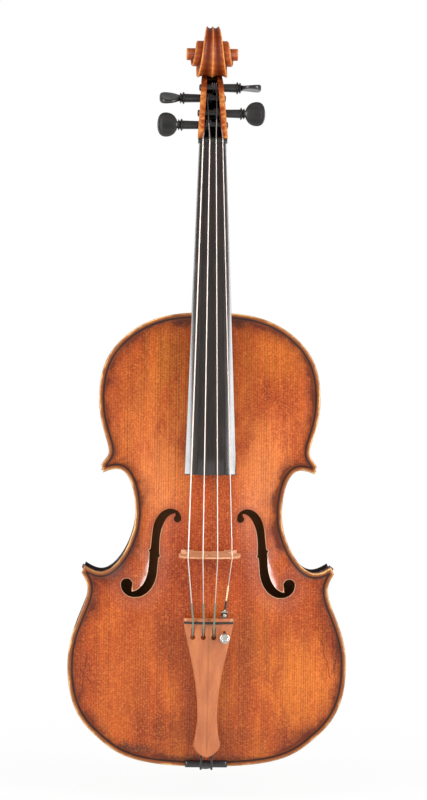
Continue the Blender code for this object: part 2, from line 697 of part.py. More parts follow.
def grid_points(outline, keep_off, clear, spacing):
    """Even staggered points inside an outline, clear of it and of the loops to keep off."""
    points = []
    row = 0
    y = spacing / 2
    while y < BODY_LENGTH:
        x = -LOWER_BOUT_WIDTH / 2 + (row % 2) * spacing / 2
        x -= (x // spacing) * spacing + (LOWER_BOUT_WIDTH // (2 * spacing) + 1) * spacing
        while x < LOWER_BOUT_WIDTH / 2:
            if inside((x, y), outline) and spacing_to((x, y), outline) > clear \
                    and all(not inside((x, y), loop) and spacing_to((x, y), loop) > spacing * 0.35
                            for loop in keep_off):
                points.append((x, y))
            x += spacing
        y += spacing * 0.87
        row += 1
    return points


# Plates

def plate(name, rise, holes, button, finish, flip):
    """A carved plate with rounded edges, a channel, a groove for the purfling and its arching."""
    base = body_loop(0.0)
    rim = body_loop(0.0, button)
    edge = body_loop(EDGE_ROUNDING, button)
    groove_out = body_loop(PURFLING_INSET - GAP)
    groove_in = body_loop(PURFLING_INSET + PURFLING_WIDTH + GAP)
    margin = body_loop(GLUE_MARGIN)
    channel = body_loop(SCOOP_WIDTH)
    points = grid_points(base, holes, SCOOP_WIDTH + PLATE_GRID * 0.45, PLATE_GRID)

    def outer(x, y):
        return outside_height(x, y, rise, base)

    def under(x, y):
        return inside_height(x, y, rise, base)

    def floor(x, y):
        return outer(x, y) - PURFLING_DEPTH - GAP

    bm = bmesh.new()
    shapes = [
        ([edge], [groove_out], (), outer),
        ([groove_out], [groove_in], (), floor),
        ([groove_in, channel], list(holes), points, outer),
    ]
    for loops, gaps, inner, height in shapes:
        lay_patch(bm, *plan_faces(loops, gaps, inner), height)
    lay_bevel(bm, rim, edge, -EDGE_ROUNDING, outer)
    lay_wall(bm, rim, level(-EDGE_THICKNESS + EDGE_ROUNDING), level(-EDGE_ROUNDING))
    lay_bevel(bm, rim, edge, -EDGE_THICKNESS + EDGE_ROUNDING, level(-EDGE_THICKNESS))
    lay_wall(bm, groove_out, floor, outer)
    lay_wall(bm, groove_in, floor, outer)
    lay_patch(bm, *plan_faces([edge, margin], list(holes), points), under)
    for hole in holes:
        lay_wall(bm, hole, under, outer)
    if flip:
        for vert in bm.verts:
            vert.co.z = BACK_INSIDE - EDGE_THICKNESS - vert.co.z
    return add_object(name, bm, finish)


def lay_bevel(bm, rim, edge, rim_z, edge_height):
    """The sloping band between the rim at one height and the edge loop on a surface."""
    places, faces = plan_faces([rim], [edge])
    near = {}
    used = {}
    for index, place in enumerate(places):
        near[index] = spacing_to(place, rim) < 0.05
    for face in faces:
        for i in face:
            if i not in used:
                z = rim_z if near[i] else edge_height(*places[i])
                used[i] = bm.verts.new((*places[i], z))
        bm.faces.new([used[i] for i in face])


def purfling(name, rise, flip, outline, gaps):
    """A length of the inlaid line, with mitred corners."""
    base = body_loop(0.0)

    def top(x, y):
        return outside_height(x, y, rise, base)

    def bottom(x, y):
        return top(x, y) - PURFLING_DEPTH

    bm = bmesh.new()
    faces = plan_faces([outline], gaps)
    lay_patch(bm, *faces, top)
    lay_patch(bm, *faces, bottom)
    for loop in [outline] + gaps:
        lay_wall(bm, loop, bottom, top)
    if flip:
        for vert in bm.verts:
            vert.co.z = BACK_INSIDE - EDGE_THICKNESS - vert.co.z
    return add_object(name, bm, "ebony")


def make_plates():
    """Belly and back with their purfling, which neck and saddle part into two lengths on the belly."""
    right = sound_hole()
    left = [(-x, y) for x, y in right[::-1]]
    outer = body_loop(PURFLING_INSET)
    inner = body_loop(PURFLING_INSET + PURFLING_WIDTH)
    cut = [plate("top_plate", TOP_ARCH, [right, left], False, "varnished_spruce", False)]
    note_surface(cut[0])
    note_surface(plate("back_plate", BACK_ARCH, [], True, "varnished_maple", True))
    for side, word in ((1, "right"), (-1, "left")):
        halves = [[(side * x, y) for x, y in loop[:len(loop) // 2 + 1]] for loop in (outer, inner)]
        cut.append(purfling(f"top_purfling_{word}", TOP_ARCH, False, halves[0] + halves[1][::-1], []))
    purfling("back_purfling", BACK_ARCH, True, outer, [inner])
    for piece in cut:
        boolean(piece, CUTTERS["mortise"])
        boolean(piece, CUTTERS["saddle_seat"])


# Heights read off the carved plates, for the pieces that stand on them

def surface_height(plate_name, x, y, down):
    """Height of a plate's facets over a place, looking down from above or up from below."""
    start = Vector((x * MM, y * MM, 1.0 if down else -1.0))
    hit = SURFACES[plate_name].ray_cast(start, Vector((0.0, 0.0, -1.0 if down else 1.0)))
    return hit[0].z / MM


def note_surface(piece):
    """Keep a plate's facets for the pieces that stand on it."""
    bm = bmesh.new()
    bm.from_mesh(piece.data)
    SURFACES[piece.name] = BVHTree.FromBMesh(bm)
    bm.free()


def belly_top(x, y):
    """Outer surface of the belly where a bridge foot stands, its highest point across the foot."""
    reach = BRIDGE_FOOT_THICKNESS / 2
    return max(surface_height("top_plate", x, y + dy, True) for dy in (-reach, 0.0, reach, 2 * reach))


def belly_under(x, y):
    """Inner surface of the belly, at its lowest close by."""
    return min(surface_height("top_plate", x, y + dy, False) for dy in (-8.0, -4.0, 0.0, 4.0, 8.0))


def back_inside(x, y):
    """Inner surface of the back."""
    return surface_height("back_plate", x, y, True)


# Ribs, blocks and linings

def side_run(index, distance, side):
    """One of the three bout curves at a distance from the edge, on the right or the left side."""
    run = bout_runs(distance, False)[index]
    return [(side * x, y) for x, y in run]


BOUTS = ("upper", "waist", "lower")


def make_ribs():
    """Six bent ribs, mitred at the corners."""
    for side, word in ((1, "right"), (-1, "left")):
        for index, bout in enumerate(BOUTS):
            outer = shortened(side_run(index, OVERHANG, side), GAP / 2, GAP / 2)
            inner = shortened(side_run(index, OVERHANG + RIB_THICKNESS, side), GAP / 2, GAP / 2)
            bm = bmesh.new()
            strip_solid(bm, outer, inner, RIB_FOOT, RIB_TOP)
            rib = add_object(f"{bout}_rib_{word}", bm, "varnished_maple")
            if bout == "upper":
                boolean(rib, CUTTERS["mortise"])
            if bout == "lower":
                boolean(rib, CUTTERS["button_hole"])


def lining_ends(index):
    """Length taken off each end of a lining by the blocks."""
    corner = CORNER_BLOCK_REACH + 10 * GAP
    top, bottom = UPPER_BLOCK_WIDTH / 2 + 2 * GAP, LOWER_BLOCK_WIDTH / 2 + 2 * GAP
    return ((top, corner), (corner, corner), (corner, bottom))[index]


def make_linings():
    """Twelve thin strips that widen the glued edge of the ribs, six at the belly and six at the back."""
    near = OVERHANG + RIB_THICKNESS + GAP
    far = near + LINING_THICKNESS
    for plate_word, low, high in (("top", RIB_TOP - LINING_HEIGHT, RIB_TOP),
                                  ("back", RIB_FOOT, RIB_FOOT + LINING_HEIGHT)):
        for side, word in ((1, "right"), (-1, "left")):
            for index, bout in enumerate(BOUTS):
                ends = lining_ends(index)
                outer = shortened(side_run(index, near, side), *ends)
                inner = shortened(side_run(index, far, side), *ends)
                bm = bmesh.new()
                strip_solid(bm, outer, inner, low, high)
                add_object(f"{plate_word}_lining_{bout}_{word}", bm, "bare_spruce")


def prism(bm, loop, low, high):
    """An upright solid over a plan loop."""
    loft(bm, [[(x, y, low) for x, y in loop], [(x, y, high) for x, y in loop]])


def corner_block(name, upper_index, side):
    """A block that fills the corner behind the joint of two ribs."""
    near = OVERHANG + RIB_THICKNESS + GAP
    above = side_run(upper_index, near, side)[::-1]
    below = side_run(upper_index + 1, near, side)
    above = shortened(above, 0, run_length(above) - CORNER_BLOCK_REACH)
    below = shortened(below, 0, run_length(below) - CORNER_BLOCK_REACH)
    loop = above[::-1] + below[1:]
    bm = bmesh.new()
    prism(bm, loop, RIB_FOOT, RIB_TOP)
    add_object(name, bm, "bare_spruce")


def end_block(name, upper, width, depth):
    """The block under the neck, or the one that holds the end button."""
    near = OVERHANG + RIB_THICKNESS + GAP
    run = side_run(0 if upper else 2, near, 1)
    run = run if upper else run[::-1]
    half = [p for p in run if p[0] < width / 2 - 1.0]
    edge_y = through([(x, y) for x, y in run[:8]], width / 2)
    half.append((width / 2, edge_y))
    inner_y = half[0][1] - depth if upper else half[0][1] + depth
    loop = half + [(width / 2, inner_y), (-width / 2, inner_y)] + [(-x, y) for x, y in half[:0:-1]]
    bm = bmesh.new()
    prism(bm, loop, RIB_FOOT, RIB_TOP)
    return add_object(name, bm, "bare_spruce")


def make_blocks():
    """End blocks and the four corner blocks."""
    boolean(end_block("upper_block", True, UPPER_BLOCK_WIDTH, UPPER_BLOCK_DEPTH), CUTTERS["mortise"])
    boolean(end_block("lower_block", False, LOWER_BLOCK_WIDTH, LOWER_BLOCK_DEPTH), CUTTERS["button_hole"])
    for side, word in ((1, "right"), (-1, "left")):
        corner_block(f"upper_corner_block_{word}", 0, side)
        corner_block(f"lower_corner_block_{word}", 1, side)


def make_bass_bar():
    """The spruce bar glued under the bass side of the belly, thinned towards its ends."""
    bm = bmesh.new()
    count = 19
    middle = BRIDGE_AT + 12.0
    rings = []
    for i in range(count):
        t = 2 * i / (count - 1) - 1
        y = middle + t * BASS_BAR_LENGTH / 2
        x = BASS_BAR_X + (t + 1) / 2 * BASS_BAR_SPLAY
        depth = 2.0 + (BASS_BAR_DEPTH - 2.0) * (1 - abs(t) ** 2.2)
        ring = []
        for sx in (-0.5, 0.5):
            px = x + sx * BASS_BAR_WIDTH
            ring.append((px, y, belly_under(px, y) - GAP))
        low = min(ring[0][2], ring[1][2]) - depth
        rings.append([ring[0], ring[1], (ring[1][0], y, low), (ring[0][0], y, low)])
    loft(bm, rings)
    add_object("bass_bar", bm, "bare_spruce")


def make_sound_post():
    """The loose spruce rod that stands between belly and back behind the bridge's treble foot."""
    bm = bmesh.new()
    y0 = BRIDGE_AT - SOUND_POST_BEHIND
    ring = [(x, y) for x, y, _ in upright_ring(SOUND_POST_X, y0, 0.0, SOUND_POST_RADIUS, 14)]
    loft(bm, [[(x, y, back_inside(x, y) + GAP) for x, y in ring],
              [(x, y, belly_under(x, y) - GAP) for x, y in ring]])
    add_object("sound_post", bm, "bare_spruce")


# Neck, pegbox and scroll

def board_crown(y):
    """Height of the fingerboard's middle line."""
    return FINGERBOARD_AT_EDGE - FINGERBOARD_SLOPE * (y - BODY_LENGTH)


def board_width(y):
    """Width of the fingerboard at a place along it."""
    t = (NUT_AT - y) / FINGERBOARD_LENGTH
    return FINGERBOARD_NUT_WIDTH + (FINGERBOARD_END_WIDTH - FINGERBOARD_NUT_WIDTH) * t


def sagitta(x, radius=None):
    """Fall of a round surface at a distance from its middle."""
    radius = radius or FINGERBOARD_RADIUS
    return radius - sqrt(radius * radius - x * x)


def board_seat(y):
    """Height of the flat face where fingerboard and neck are glued."""
    return board_crown(y) - sagitta(board_width(y) / 2) - FINGERBOARD_EDGE


def root_section(y, grow=0.0):
    """Half widths at the top and at the heel's foot, where the neck enters the body."""
    return board_width(y) / 2 + grow, HEEL_BUTTON_WIDTH / 2 - 0.6 + grow


def neck_ring(y, top, half_top, half_low, depth, square):
    """A section of the neck: flat on top, round or boxy below."""
    ring = [(half_top, y, top), (-half_top, y, top)]
    steps = 12
    for i in range(1, steps):
        angle = pi * i / steps
        c, s = cos(angle), sin(angle)
        down = s ** (2 / square)
        half = half_top + (half_low - half_top) * down
        side = (abs(c) ** (2 / square)) * (1 if c > 0 else -1)
        ring.append((-half * side, y, top - depth * down))
    return ring


def pegbox_front(y):
    """The front edge of the cheeks: gentle at the nut, then diving under the chin of the scroll."""
    chin = (SCROLL_EYE_ABOVE_NUT, SCROLL_EYE_Z - CHIN_BELOW_EYE)
    return blend_line([*PEGBOX_FRONT_SHAPE, chin], y - NUT_FAR)


def pegbox_back(y):
    """The back of the pegbox, which runs up into the first turn of the scroll."""
    end = (SCROLL_EYE_ABOVE_NUT, SCROLL_EYE_Z - scroll_radius(-90) + 0.2)
    return blend_line([*PEGBOX_BACK_SHAPE, end], y - NUT_FAR)


def blend_line(stations, at):
    """A smooth curve through stations, with the slope of a Catmull-Rom curve."""
    if at <= stations[0][0]:
        return stations[0][1]
    if at >= stations[-1][0]:
        return stations[-1][1]
    for k in range(len(stations) - 1):
        (a, va), (b, vb) = stations[k], stations[k + 1]
        if at <= b:
            before = stations[k - 1] if k else (2 * a - b, 2 * va - vb)
            after = stations[k + 2] if k + 2 < len(stations) else (2 * b - a, 2 * vb - va)
            slope_a = (vb - before[1]) / (b - before[0])
            slope_b = (after[1] - va) / (after[0] - a)
            t = (at - a) / (b - a)
            h = b - a
            return ((2 * t**3 - 3 * t**2 + 1) * va + (t**3 - 2 * t**2 + t) * h * slope_a
                    + (-2 * t**3 + 3 * t**2) * vb + (t**3 - t**2) * h * slope_b)
    return stations[-1][1]


def pegbox_half_width(y):
    """Half width across the cheeks, narrowing into the scroll."""
    d = y - NUT_FAR
    return through([(0, PEGBOX_WIDTH_AT_NUT / 2), (THROAT_ABOVE_NUT, PEGBOX_WIDTH_AT_THROAT / 2),
                    (SCROLL_EYE_ABOVE_NUT, scroll_half_width(-90) - 0.15)], d)


SCROLL_RADII = ((-90, 27.0), (0, 26.0), (90, 24.0), (180, 21.5), (270, 16.5), (360, 12.6), (450, 12.0),
                (540, 11.2), (630, 8.4), (720, None))
SCROLL_HALF_WIDTHS = ((0, 5.8), (90, 9.5), (180, 14.0), (270, 14.4), (360, 14.6), (450, 16.4), (540, 18.9),
                      (630, 20.6), (720, None))


def scroll_radius(angle):
    """Distance of the spiral's edge from the eye; the angle runs from the top over the front."""
    if angle >= 720:
        return SCROLL_EYE_RADIUS
    stations = [(a, SCROLL_EYE_RADIUS if r is None else r) for a, r in SCROLL_RADII]
    return blend_line(stations, angle)


def scroll_half_width(angle):
    """Half width of the scroll along its spiral: least over the top, and most at the eyes."""
    if angle >= 720:
        return SCROLL_EYE_SPAN / 2
    stations = [(-90, 7.2)] + [(a, SCROLL_EYE_SPAN / 2 if w is None else w) for a, w in SCROLL_HALF_WIDTHS]
    return blend_line(stations, angle)


def scroll_point(angle, radius, x):
    """A point of the scroll from its angle about the eye."""
    return (x, SCROLL_EYE_AT + radius * cos(radians(angle)), SCROLL_EYE_Z + radius * sin(radians(angle)))


def scroll_solid():
    """The volute: on each side a hollowed spiral floor with its wall, and a fluted band round it."""
    turn = 20
    step = 360 // turn
    angles = list(range(-90, 721, step))
    start_fraction = 0.5
    bm = bmesh.new()
    for side in (1, -1):
        rim, mid, foot, wall = [], [], [], []
        for angle in angles:
            r, w = scroll_radius(angle), scroll_half_width(angle)
            inner = scroll_radius(angle + 360)
            drop = min(0.25, r - inner)
            if angle == angles[0]:
                drop = w - start_fraction * scroll_half_width(angle + 360)
            hollow = SCROLL_SIDE_HOLLOW * min(1.0, (r - inner) / 3.0) * min(1.0, (angle + 90) / 45.0)
            rim.append(bm.verts.new(scroll_point(angle, r, side * w)))
            mid.append(bm.verts.new(scroll_point(angle, (r + inner) / 2, side * (w - hollow - drop / 2))))
            foot.append(bm.verts.new(scroll_point(angle, inner, side * (w - drop))))
            wall.append(bm.verts.new(scroll_point(angle, inner, side * scroll_half_width(angle + 360))))
        for i in range(len(angles) - 1):
            for low, high in ((rim, mid), (mid, foot), (foot, wall)):
                bm.faces.new((low[i], low[i + 1], high[i + 1], high[i]))
        eye = [bm.verts.new(scroll_point(angle, SCROLL_EYE_RADIUS, side * SCROLL_EYE_SPAN / 2))
               for angle in angles[-turn - 1:-1]]
        bm.faces.new(eye)
    fractions = (1.0, start_fraction, 0.0, -start_fraction, -1.0)
    rows = []
    for angle in angles[:turn + 1]:
        r, w = scroll_radius(angle), scroll_half_width(angle)
        fade = min(1.0, (angle + 90) / 60.0) * min(1.0, max(0.0, (240 - angle) / 60.0))
        row = []
        for fraction in fractions:
            depth = SCROLL_BAND_FLUTE * fade if abs(fraction) == start_fraction else 0.0
            row.append(bm.verts.new(scroll_point(angle, r - depth, fraction * w)))
        rows.append(row)
    for low, high in zip(rows, rows[1:]):
        for i in range(len(fractions) - 1):
            bm.faces.new((low[i], low[i + 1], high[i + 1], high[i]))
    first, last = rows[0], rows[-1]
    r, w = scroll_radius(angles[0]), scroll_half_width(angles[0])
    inner = scroll_radius(angles[turn])
    half = (w + start_fraction * scroll_half_width(angles[turn])) / 2
    sides = [bm.verts.new(scroll_point(angles[0], (r + inner) / 2, side * half)) for side in (-1, 1)]
    bm.faces.new(first + [sides[0]] + last[1:4][::-1] + [sides[1]])
    bmesh.ops.remove_doubles(bm, verts=bm.verts, dist=0.002)
    bmesh.ops.dissolve_degenerate(bm, edges=bm.edges, dist=0.002)
    return add_cutter("scroll_form", bm)


def handle_rings():
    """Sections from the root in the body over the heel to the nut."""
    rib_plane = BODY_LENGTH - OVERHANG
    stations = [(rib_plane - MORTISE_DEPTH, 1.0), (rib_plane, 1.0)]
    stations += [(BODY_LENGTH + d, heel) for d, heel in HEEL_SHAPE]
    stations += [(NUT_AT - 22.0, 0.0), (NUT_AT - 8.0, 0.0)]
    rings = []
    for y, heel in stations:
        top = board_seat(y)
        thinner = (NECK_DEPTH_AT_HEEL - NECK_DEPTH_AT_NUT) / NECK_STOP
        shaft = NECK_DEPTH_AT_HEEL - thinner * (y - BODY_LENGTH)
        depth = shaft + (top - RIB_FOOT - shaft) * heel
        half_top, half_button = root_section(y)
        half_low = half_top + (half_button - half_top) * heel
        rings.append(neck_ring(y, top, half_top, half_low, depth, 2.3 + 3.5 * heel))
    return rings


def pegbox_rings():
    """Sections from the nut through the pegbox into the scroll."""
    top, half, back = board_seat(NUT_AT), FINGERBOARD_NUT_WIDTH / 2, pegbox_back(NUT_FAR)
    rings = [neck_ring(NUT_AT, top, half, half - 0.5, top - back - 2.1, 2.8),
             neck_ring(NUT_FAR, top, half + 0.3, half - 1.0, top - back, 3.4)]
    for d in (0.6, 8.0, 16.0, 27.0, 38.0, 47.0, 54.0, 60.0, 68.0, 76.0, SCROLL_EYE_ABOVE_NUT + 1.5):
        y = NUT_FAR + d
        half, front = pegbox_half_width(y), pegbox_front(y)
        rings.append(neck_ring(y, front, half, half * 0.93, front - pegbox_back(y), 5.0))
    return rings


def make_neck():
    """One piece of maple: root, heel, handle, pegbox and scroll."""
    bm = bmesh.new()
    loft(bm, handle_rings() + pegbox_rings())
    neck = add_object("neck_scroll", bm, "varnished_maple")
    boolean(neck, scroll_solid(), "UNION")
    boolean(neck, pegbox_slot())
    for index in range(4):
        boolean(neck, peg_hole(index))
    return neck


def slot_half_width(y):
    """Half width of the slot between the cheeks."""
    d = (y - NUT_FAR) / THROAT_ABOVE_NUT
    return (PEGBOX_SLOT_AT_NUT + (PEGBOX_SLOT_AT_THROAT - PEGBOX_SLOT_AT_NUT) * d) / 2


def pegbox_slot():
    """The mortise in the pegbox where the strings are wound."""
    bm = bmesh.new()
    rings = []
    for d in (1.0, 6.0, 18.0, 30.0, 42.0, 52.0, THROAT_ABOVE_NUT - 2.0, THROAT_ABOVE_NUT):
        y = NUT_FAR + d
        half = slot_half_width(y)
        top = pegbox_front(y) + 12.0
        low = pegbox_back(y) + PEGBOX_FLOOR
        if d == 1.0:
            low += 3.5
        if d == THROAT_ABOVE_NUT:
            low += 4.0
        rings.append([(half, y, top), (-half, y, top), (-half, y, low), (half, y, low)])
    loft(bm, rings)
    return add_cutter("pegbox_slot_form", bm)


# Pegs and the string wound on them

PEG_NAMES = ("peg_c", "peg_g", "peg_d", "peg_a")
PEG_SIDES = (-1, -1, 1, 1)


def peg_place(index):
    """Where a peg's axis crosses the middle of the pegbox."""
    y = NUT_FAR + PEG_ABOVE_NUT[index]
    return y, pegbox_front(y) - PEG_BELOW_FRONT[index]


def peg_radius(index, x):
    """Radius of a peg's taper at a distance from the middle towards its head."""
    y, _ = peg_place(index)
    half = pegbox_half_width(y)
    t = (x + half) / (2 * half)
    return PEG_RADIUS_AT_TIP + (PEG_RADIUS_AT_HEAD - PEG_RADIUS_AT_TIP) * t


def turned_ring(index, x, radius, sides=12):
    """A round section across a peg's axis."""
    y, z = peg_place(index)
    side = PEG_SIDES[index]
    return [(side * x, y + radius * cos(2 * pi * (i + 0.5) / sides),
             z + side * radius * sin(2 * pi * (i + 0.5) / sides)) for i in range(sides)]


def peg_hole(index):
    """The tapered bore through both cheeks."""
    reach = pegbox_half_width(peg_place(index)[0]) + PEG_CROSSING
    bm = bmesh.new()
    loft(bm, [turned_ring(index, x, peg_radius(index, x) + RUNNING_GAP) for x in (-reach, reach)])
    return add_cutter(f"{PEG_NAMES[index]}_bore", bm)


def head_ring(index, x, half_width, rim, middle):
    """A section of the peg's head: wide one way, and hollowed on both flat faces."""
    y, z = peg_place(index)
    side = PEG_SIDES[index]
    turned = radians(PEG_TURNED[index])
    ring = []
    for i in range(12):
        angle = 2 * pi * (i + 0.5) / 12
        c, s = cos(angle), sin(angle)
        across = half_width * c
        thick = middle + (rim - middle) * abs(c) ** 1.6
        out = thick / 2 * (1 if s > 0 else -1) * abs(s) ** 0.6
        ring.append((side * x, y + across * cos(turned) - out * sin(turned),
                     z + side * (across * sin(turned) + out * cos(turned))))
    return ring


def make_peg(index):
    """A tapered peg with its collar and heart-shaped head."""
    y, z = peg_place(index)
    half = pegbox_half_width(y)
    collar = half + PEG_SHANKS[index]
    tip = -half - PEG_TIP_REACH
    rings = [turned_ring(index, tip, PEG_RADIUS_AT_TIP * 0.55),
             turned_ring(index, tip + 0.7, peg_radius(index, tip))]
    rings += [turned_ring(index, x, peg_radius(index, x)) for x in (half + 0.5, collar)]
    rings += [turned_ring(index, collar + d, radius) for d, radius in PEG_COLLAR_SHAPE]
    base = collar + PEG_COLLAR_SHAPE[-1][0]
    rings += [head_ring(index, base + d * PEG_HEAD_LENGTH, w * PEG_HEAD_WIDTH / 2, rim, middle)
              for d, w, rim, middle in PEG_HEAD_SHAPE]
    bm = bmesh.new()
    loft(bm, rings)
    add_object(PEG_NAMES[index], bm, "ebony", origin=(0.0, y, z))


def winding_span(index):
    """Where the wound string starts and ends along its peg."""
    y, _ = peg_place(index)
    radius = winding_wire(index)
    outer = slot_half_width(y) - radius - 0.5
    return outer, outer - WINDING_TURNS * WINDING_PITCH


def winding_wire(index):
    """Radius of the string on the peg, with its silk."""
    return STRING_RADII[index] + 0.05


def winding_points(index):
    """The helix of string on a peg, from where the string arrives to its last turn."""
    y, z = peg_place(index)
    side = PEG_SIDES[index]
    outer, inner = winding_span(index)
    count = int(WINDING_TURNS * WINDING_LOOP_POINTS)
    points = []
    for i in range(count + 1):
        t = i / count
        x = inner + (outer - inner) * t
        radius = peg_radius(index, x) + GAP + winding_wire(index)
        angle = 2 * pi * WINDING_TURNS * t
        points.append((side * x, y + radius * sin(angle), z + radius * cos(angle)))
    return points


def make_winding(index):
    """The turns of string on a peg as one unbroken tube."""
    y, z = peg_place(index)
    points = winding_points(index)
    least = 1e9
    for i, a in enumerate(points):
        for b in points[i + WINDING_LOOP_POINTS // 2:]:
            least = min(least, (Vector(a) - Vector(b)).length - 2 * winding_wire(index))
    print(f"{PEG_NAMES[index]} winding: least gap to itself {least:.2f} mm")
    add_tube(f"winding_{PEG_NAMES[index][-1]}", points, winding_wire(index), "wound_string", 1, (0.0, y, z))


def add_tube(name, points, radius, finish, resolution, origin=(0.0, 0.0, 0.0), swell=None):
    """A round cord along points, as a curve with a bevel and filled caps."""
    curve = bpy.data.curves.new(name, "CURVE")
    curve.dimensions = "3D"
    curve.bevel_depth = radius * MM
    curve.bevel_resolution = resolution
    curve.use_fill_caps = True
    spline = curve.splines.new("POLY")
    spline.points.add(len(points) - 1)
    for i, point in enumerate(points):
        spline.points[i].co = (*[(a - b) * MM for a, b in zip(point, origin)], 1.0)
        spline.points[i].radius = swell[i] if swell else 1.0
    made = bpy.data.objects.new(name, curve)
    bpy.context.collection.objects.link(made)
    made.location = [value * MM for value in origin]
    made.parent = ROOT
    curve.materials.append(finish_material(finish, *FINISHES[finish]))
    return made


# Fingerboard and nut

def make_fingerboard():
    """The ebony board: round on top, flat on the neck, and hollowed under its free end."""
    rings = []
    end = NUT_AT - FINGERBOARD_LENGTH
    free = BODY_LENGTH - OVERHANG - MORTISE_DEPTH
    for y in (NUT_AT - GAP / 2, (NUT_AT + BODY_LENGTH) / 2, BODY_LENGTH, free - 4.0, free - 14.0,
              (free + end) / 2, end + 30.0, end):
        half = board_width(y) / 2
        crown = board_crown(y)
        hollow = FINGERBOARD_HOLLOW * smooth((free - 2.0 - y) / 12.0)
        ring = []
        for i in range(9):
            x = half * (1 - 2 * i / 8)
            ring.append((x, y, crown - sagitta(x)))
        seat = board_seat(y) + GAP
        for fraction in (-1.0, -0.86, -0.45, 0.0, 0.45, 0.86, 1.0):
            rise = hollow * (1 - (fraction / 0.86) ** 2) if abs(fraction) < 0.86 else 0.0
            ring.append((half * fraction, y, seat + rise))
        rings.append(ring)
    bm = bmesh.new()
    loft(bm, rings)
    add_object("fingerboard", bm, "ebony")


def make_nut():
    """The ebony nut at the end of the board."""
    rings = []
    half = FINGERBOARD_NUT_WIDTH / 2
    seat = board_seat(NUT_AT) + GAP
    rises = ((GAP / 2, NUT_RISE), (2.2, NUT_RISE), (NUT_LENGTH - 1.2, NUT_RISE - 1.5), (NUT_LENGTH, -2.2))
    for d, rise in rises:
        y = NUT_AT + d
        crown = board_crown(NUT_AT) + rise
        ring = [(half * (1 - 2 * i / 8), y, crown - sagitta(half * (1 - 2 * i / 8))) for i in range(9)]
        ring += [(-half, y, seat), (half, y, seat)]
        rings.append(ring)
    bm = bmesh.new()
    loft(bm, rings)
    add_object("nut", bm, "ebony")


# Strings

def string_x(index, spread):
    """Place of a string across, for a spread from the first to the last."""
    return spread * (index / 3 - 0.5)


def crown_height(x):
    """Height of the bridge's crown."""
    return board_crown(BRIDGE_AT) + STRING_LIFT_AT_BRIDGE - STRING_TILT * x - sagitta(x)


def nut_height(x):
    """Height of the nut's top."""
    return board_crown(NUT_AT) + NUT_RISE - sagitta(x)


def string_points(index):
    """The taut run of a string from its tail end to its peg, with the swelling of its end and silk."""
    radius = STRING_RADII[index]
    silk = SILK_RADIUS / radius
    tail_x = string_x(index, STRING_SPREAD_AT_TAIL)
    bridge_x = string_x(index, STRING_SPREAD_AT_BRIDGE)
    nut_x = string_x(index, STRING_SPREAD_AT_NUT)
    points, swell = tail_end(index, tail_x, silk)
    crown = crown_height(bridge_x) + radius + GAP
    reach = BRIDGE_CROWN_THICKNESS / 2 + GAP
    before = points[-1]
    end = (bridge_x, BRIDGE_AT, crown)
    for t, width in ((SILK_SHARE, silk), (SILK_SHARE + 0.01, 1.0)):
        points.append(tuple(a + (b - a) * t for a, b in zip(before, end)))
        swell.append(width)
    points += [(bridge_x, BRIDGE_AT - reach, crown), (bridge_x, BRIDGE_AT + reach, crown)]
    nut_top = nut_height(nut_x) + radius + GAP
    points += [(nut_x, NUT_AT, nut_top), (nut_x, NUT_AT + 2.2, nut_top)]
    side = PEG_SIDES[index]
    y, z = peg_place(index)
    outer, inner = winding_span(index)
    swept = peg_radius(index, outer) + GAP + 2 * winding_wire(index)
    arrive = (side * inner, y, z + swept + GAP + radius)
    leave = (nut_x, NUT_FAR + 0.3, nut_top - 1.9)
    points += [leave, arrive]
    swell += [1.0] * (len(points) - len(swell))
    return points, swell


def tail_end(index, x, silk):
    """The lower end of a string: a ball under the tailpiece, or a loop in the tuner's fork."""
    radius = STRING_RADII[index]
    rest = tail_rest_top(x) + SILK_RADIUS + GAP
    if index == 3:
        start = tuner_fork_place()
        y = start[1] + 3.2
        return [(x, y, start[2]), (x, y + 2.0, start[2] + 0.3)], [silk, silk]
    ball = BALL_RADIUS / radius
    at, under = TAIL_HOLES_AT, tailpiece_under(x, TAIL_HOLES_AT) - BALL_RADIUS - 0.85
    top = tailpiece_top(x, TAIL_REST_AT - 3.0)
    points = [(x, at - 1.5, under - 0.9), (x, at - 1.2, under), (x, at - 0.9, under + 0.9),
              (x, at - 0.6, under + 1.5), (x, at + 1.2, top - 2.0),
              (x, TAIL_REST_AT - 1.1, rest), (x, TAIL_REST_AT + 1.1, rest)]
    return points, [ball * 0.55, ball, ball * 0.55, silk, silk, silk, silk]


def make_strings():
    """Four strings, each whole from its end to its peg."""
    for index, letter in enumerate("cgda"):
        points, swell = string_points(index)
        add_tube(f"string_{letter}", points, STRING_RADII[index], "wound_string", 1, swell=swell)


# Bridge

def bridge_half(side, low):
    """One half of the bridge's outline, from the middle of its crown down to the arch."""
    foot = BRIDGE_FEET_SPAN / 2
    half = STRING_SPREAD_AT_BRIDGE / 2 + BRIDGE_SHOULDER
    crown = [(side * half * t, crown_height(side * half * t)) for t in (0.0, 0.25, 0.5, 0.75, 1.0)]
    z = crown[-1][1]
    points = [(side * (half + out), z - down) for out, down in BRIDGE_SIDE_SHAPE]
    points += [(side * (foot - back), low + up) for back, up in BRIDGE_LEG_SHAPE]
    for back in (0.0, BRIDGE_FOOT_LENGTH / 2, BRIDGE_FOOT_LENGTH):
        points.append((side * (foot - back), bridge_base(side * (foot - back))))
    points.append((side * (foot - BRIDGE_FOOT_LENGTH - 0.4), bridge_base(foot - BRIDGE_FOOT_LENGTH) + 2.6))
    points += [(side * (foot - back), low + up) for back, up in BRIDGE_ARCH_SHAPE]
    return crown + points


def bridge_base(x):
    """Underside of a bridge foot."""
    return belly_top(x, BRIDGE_AT) + GAP


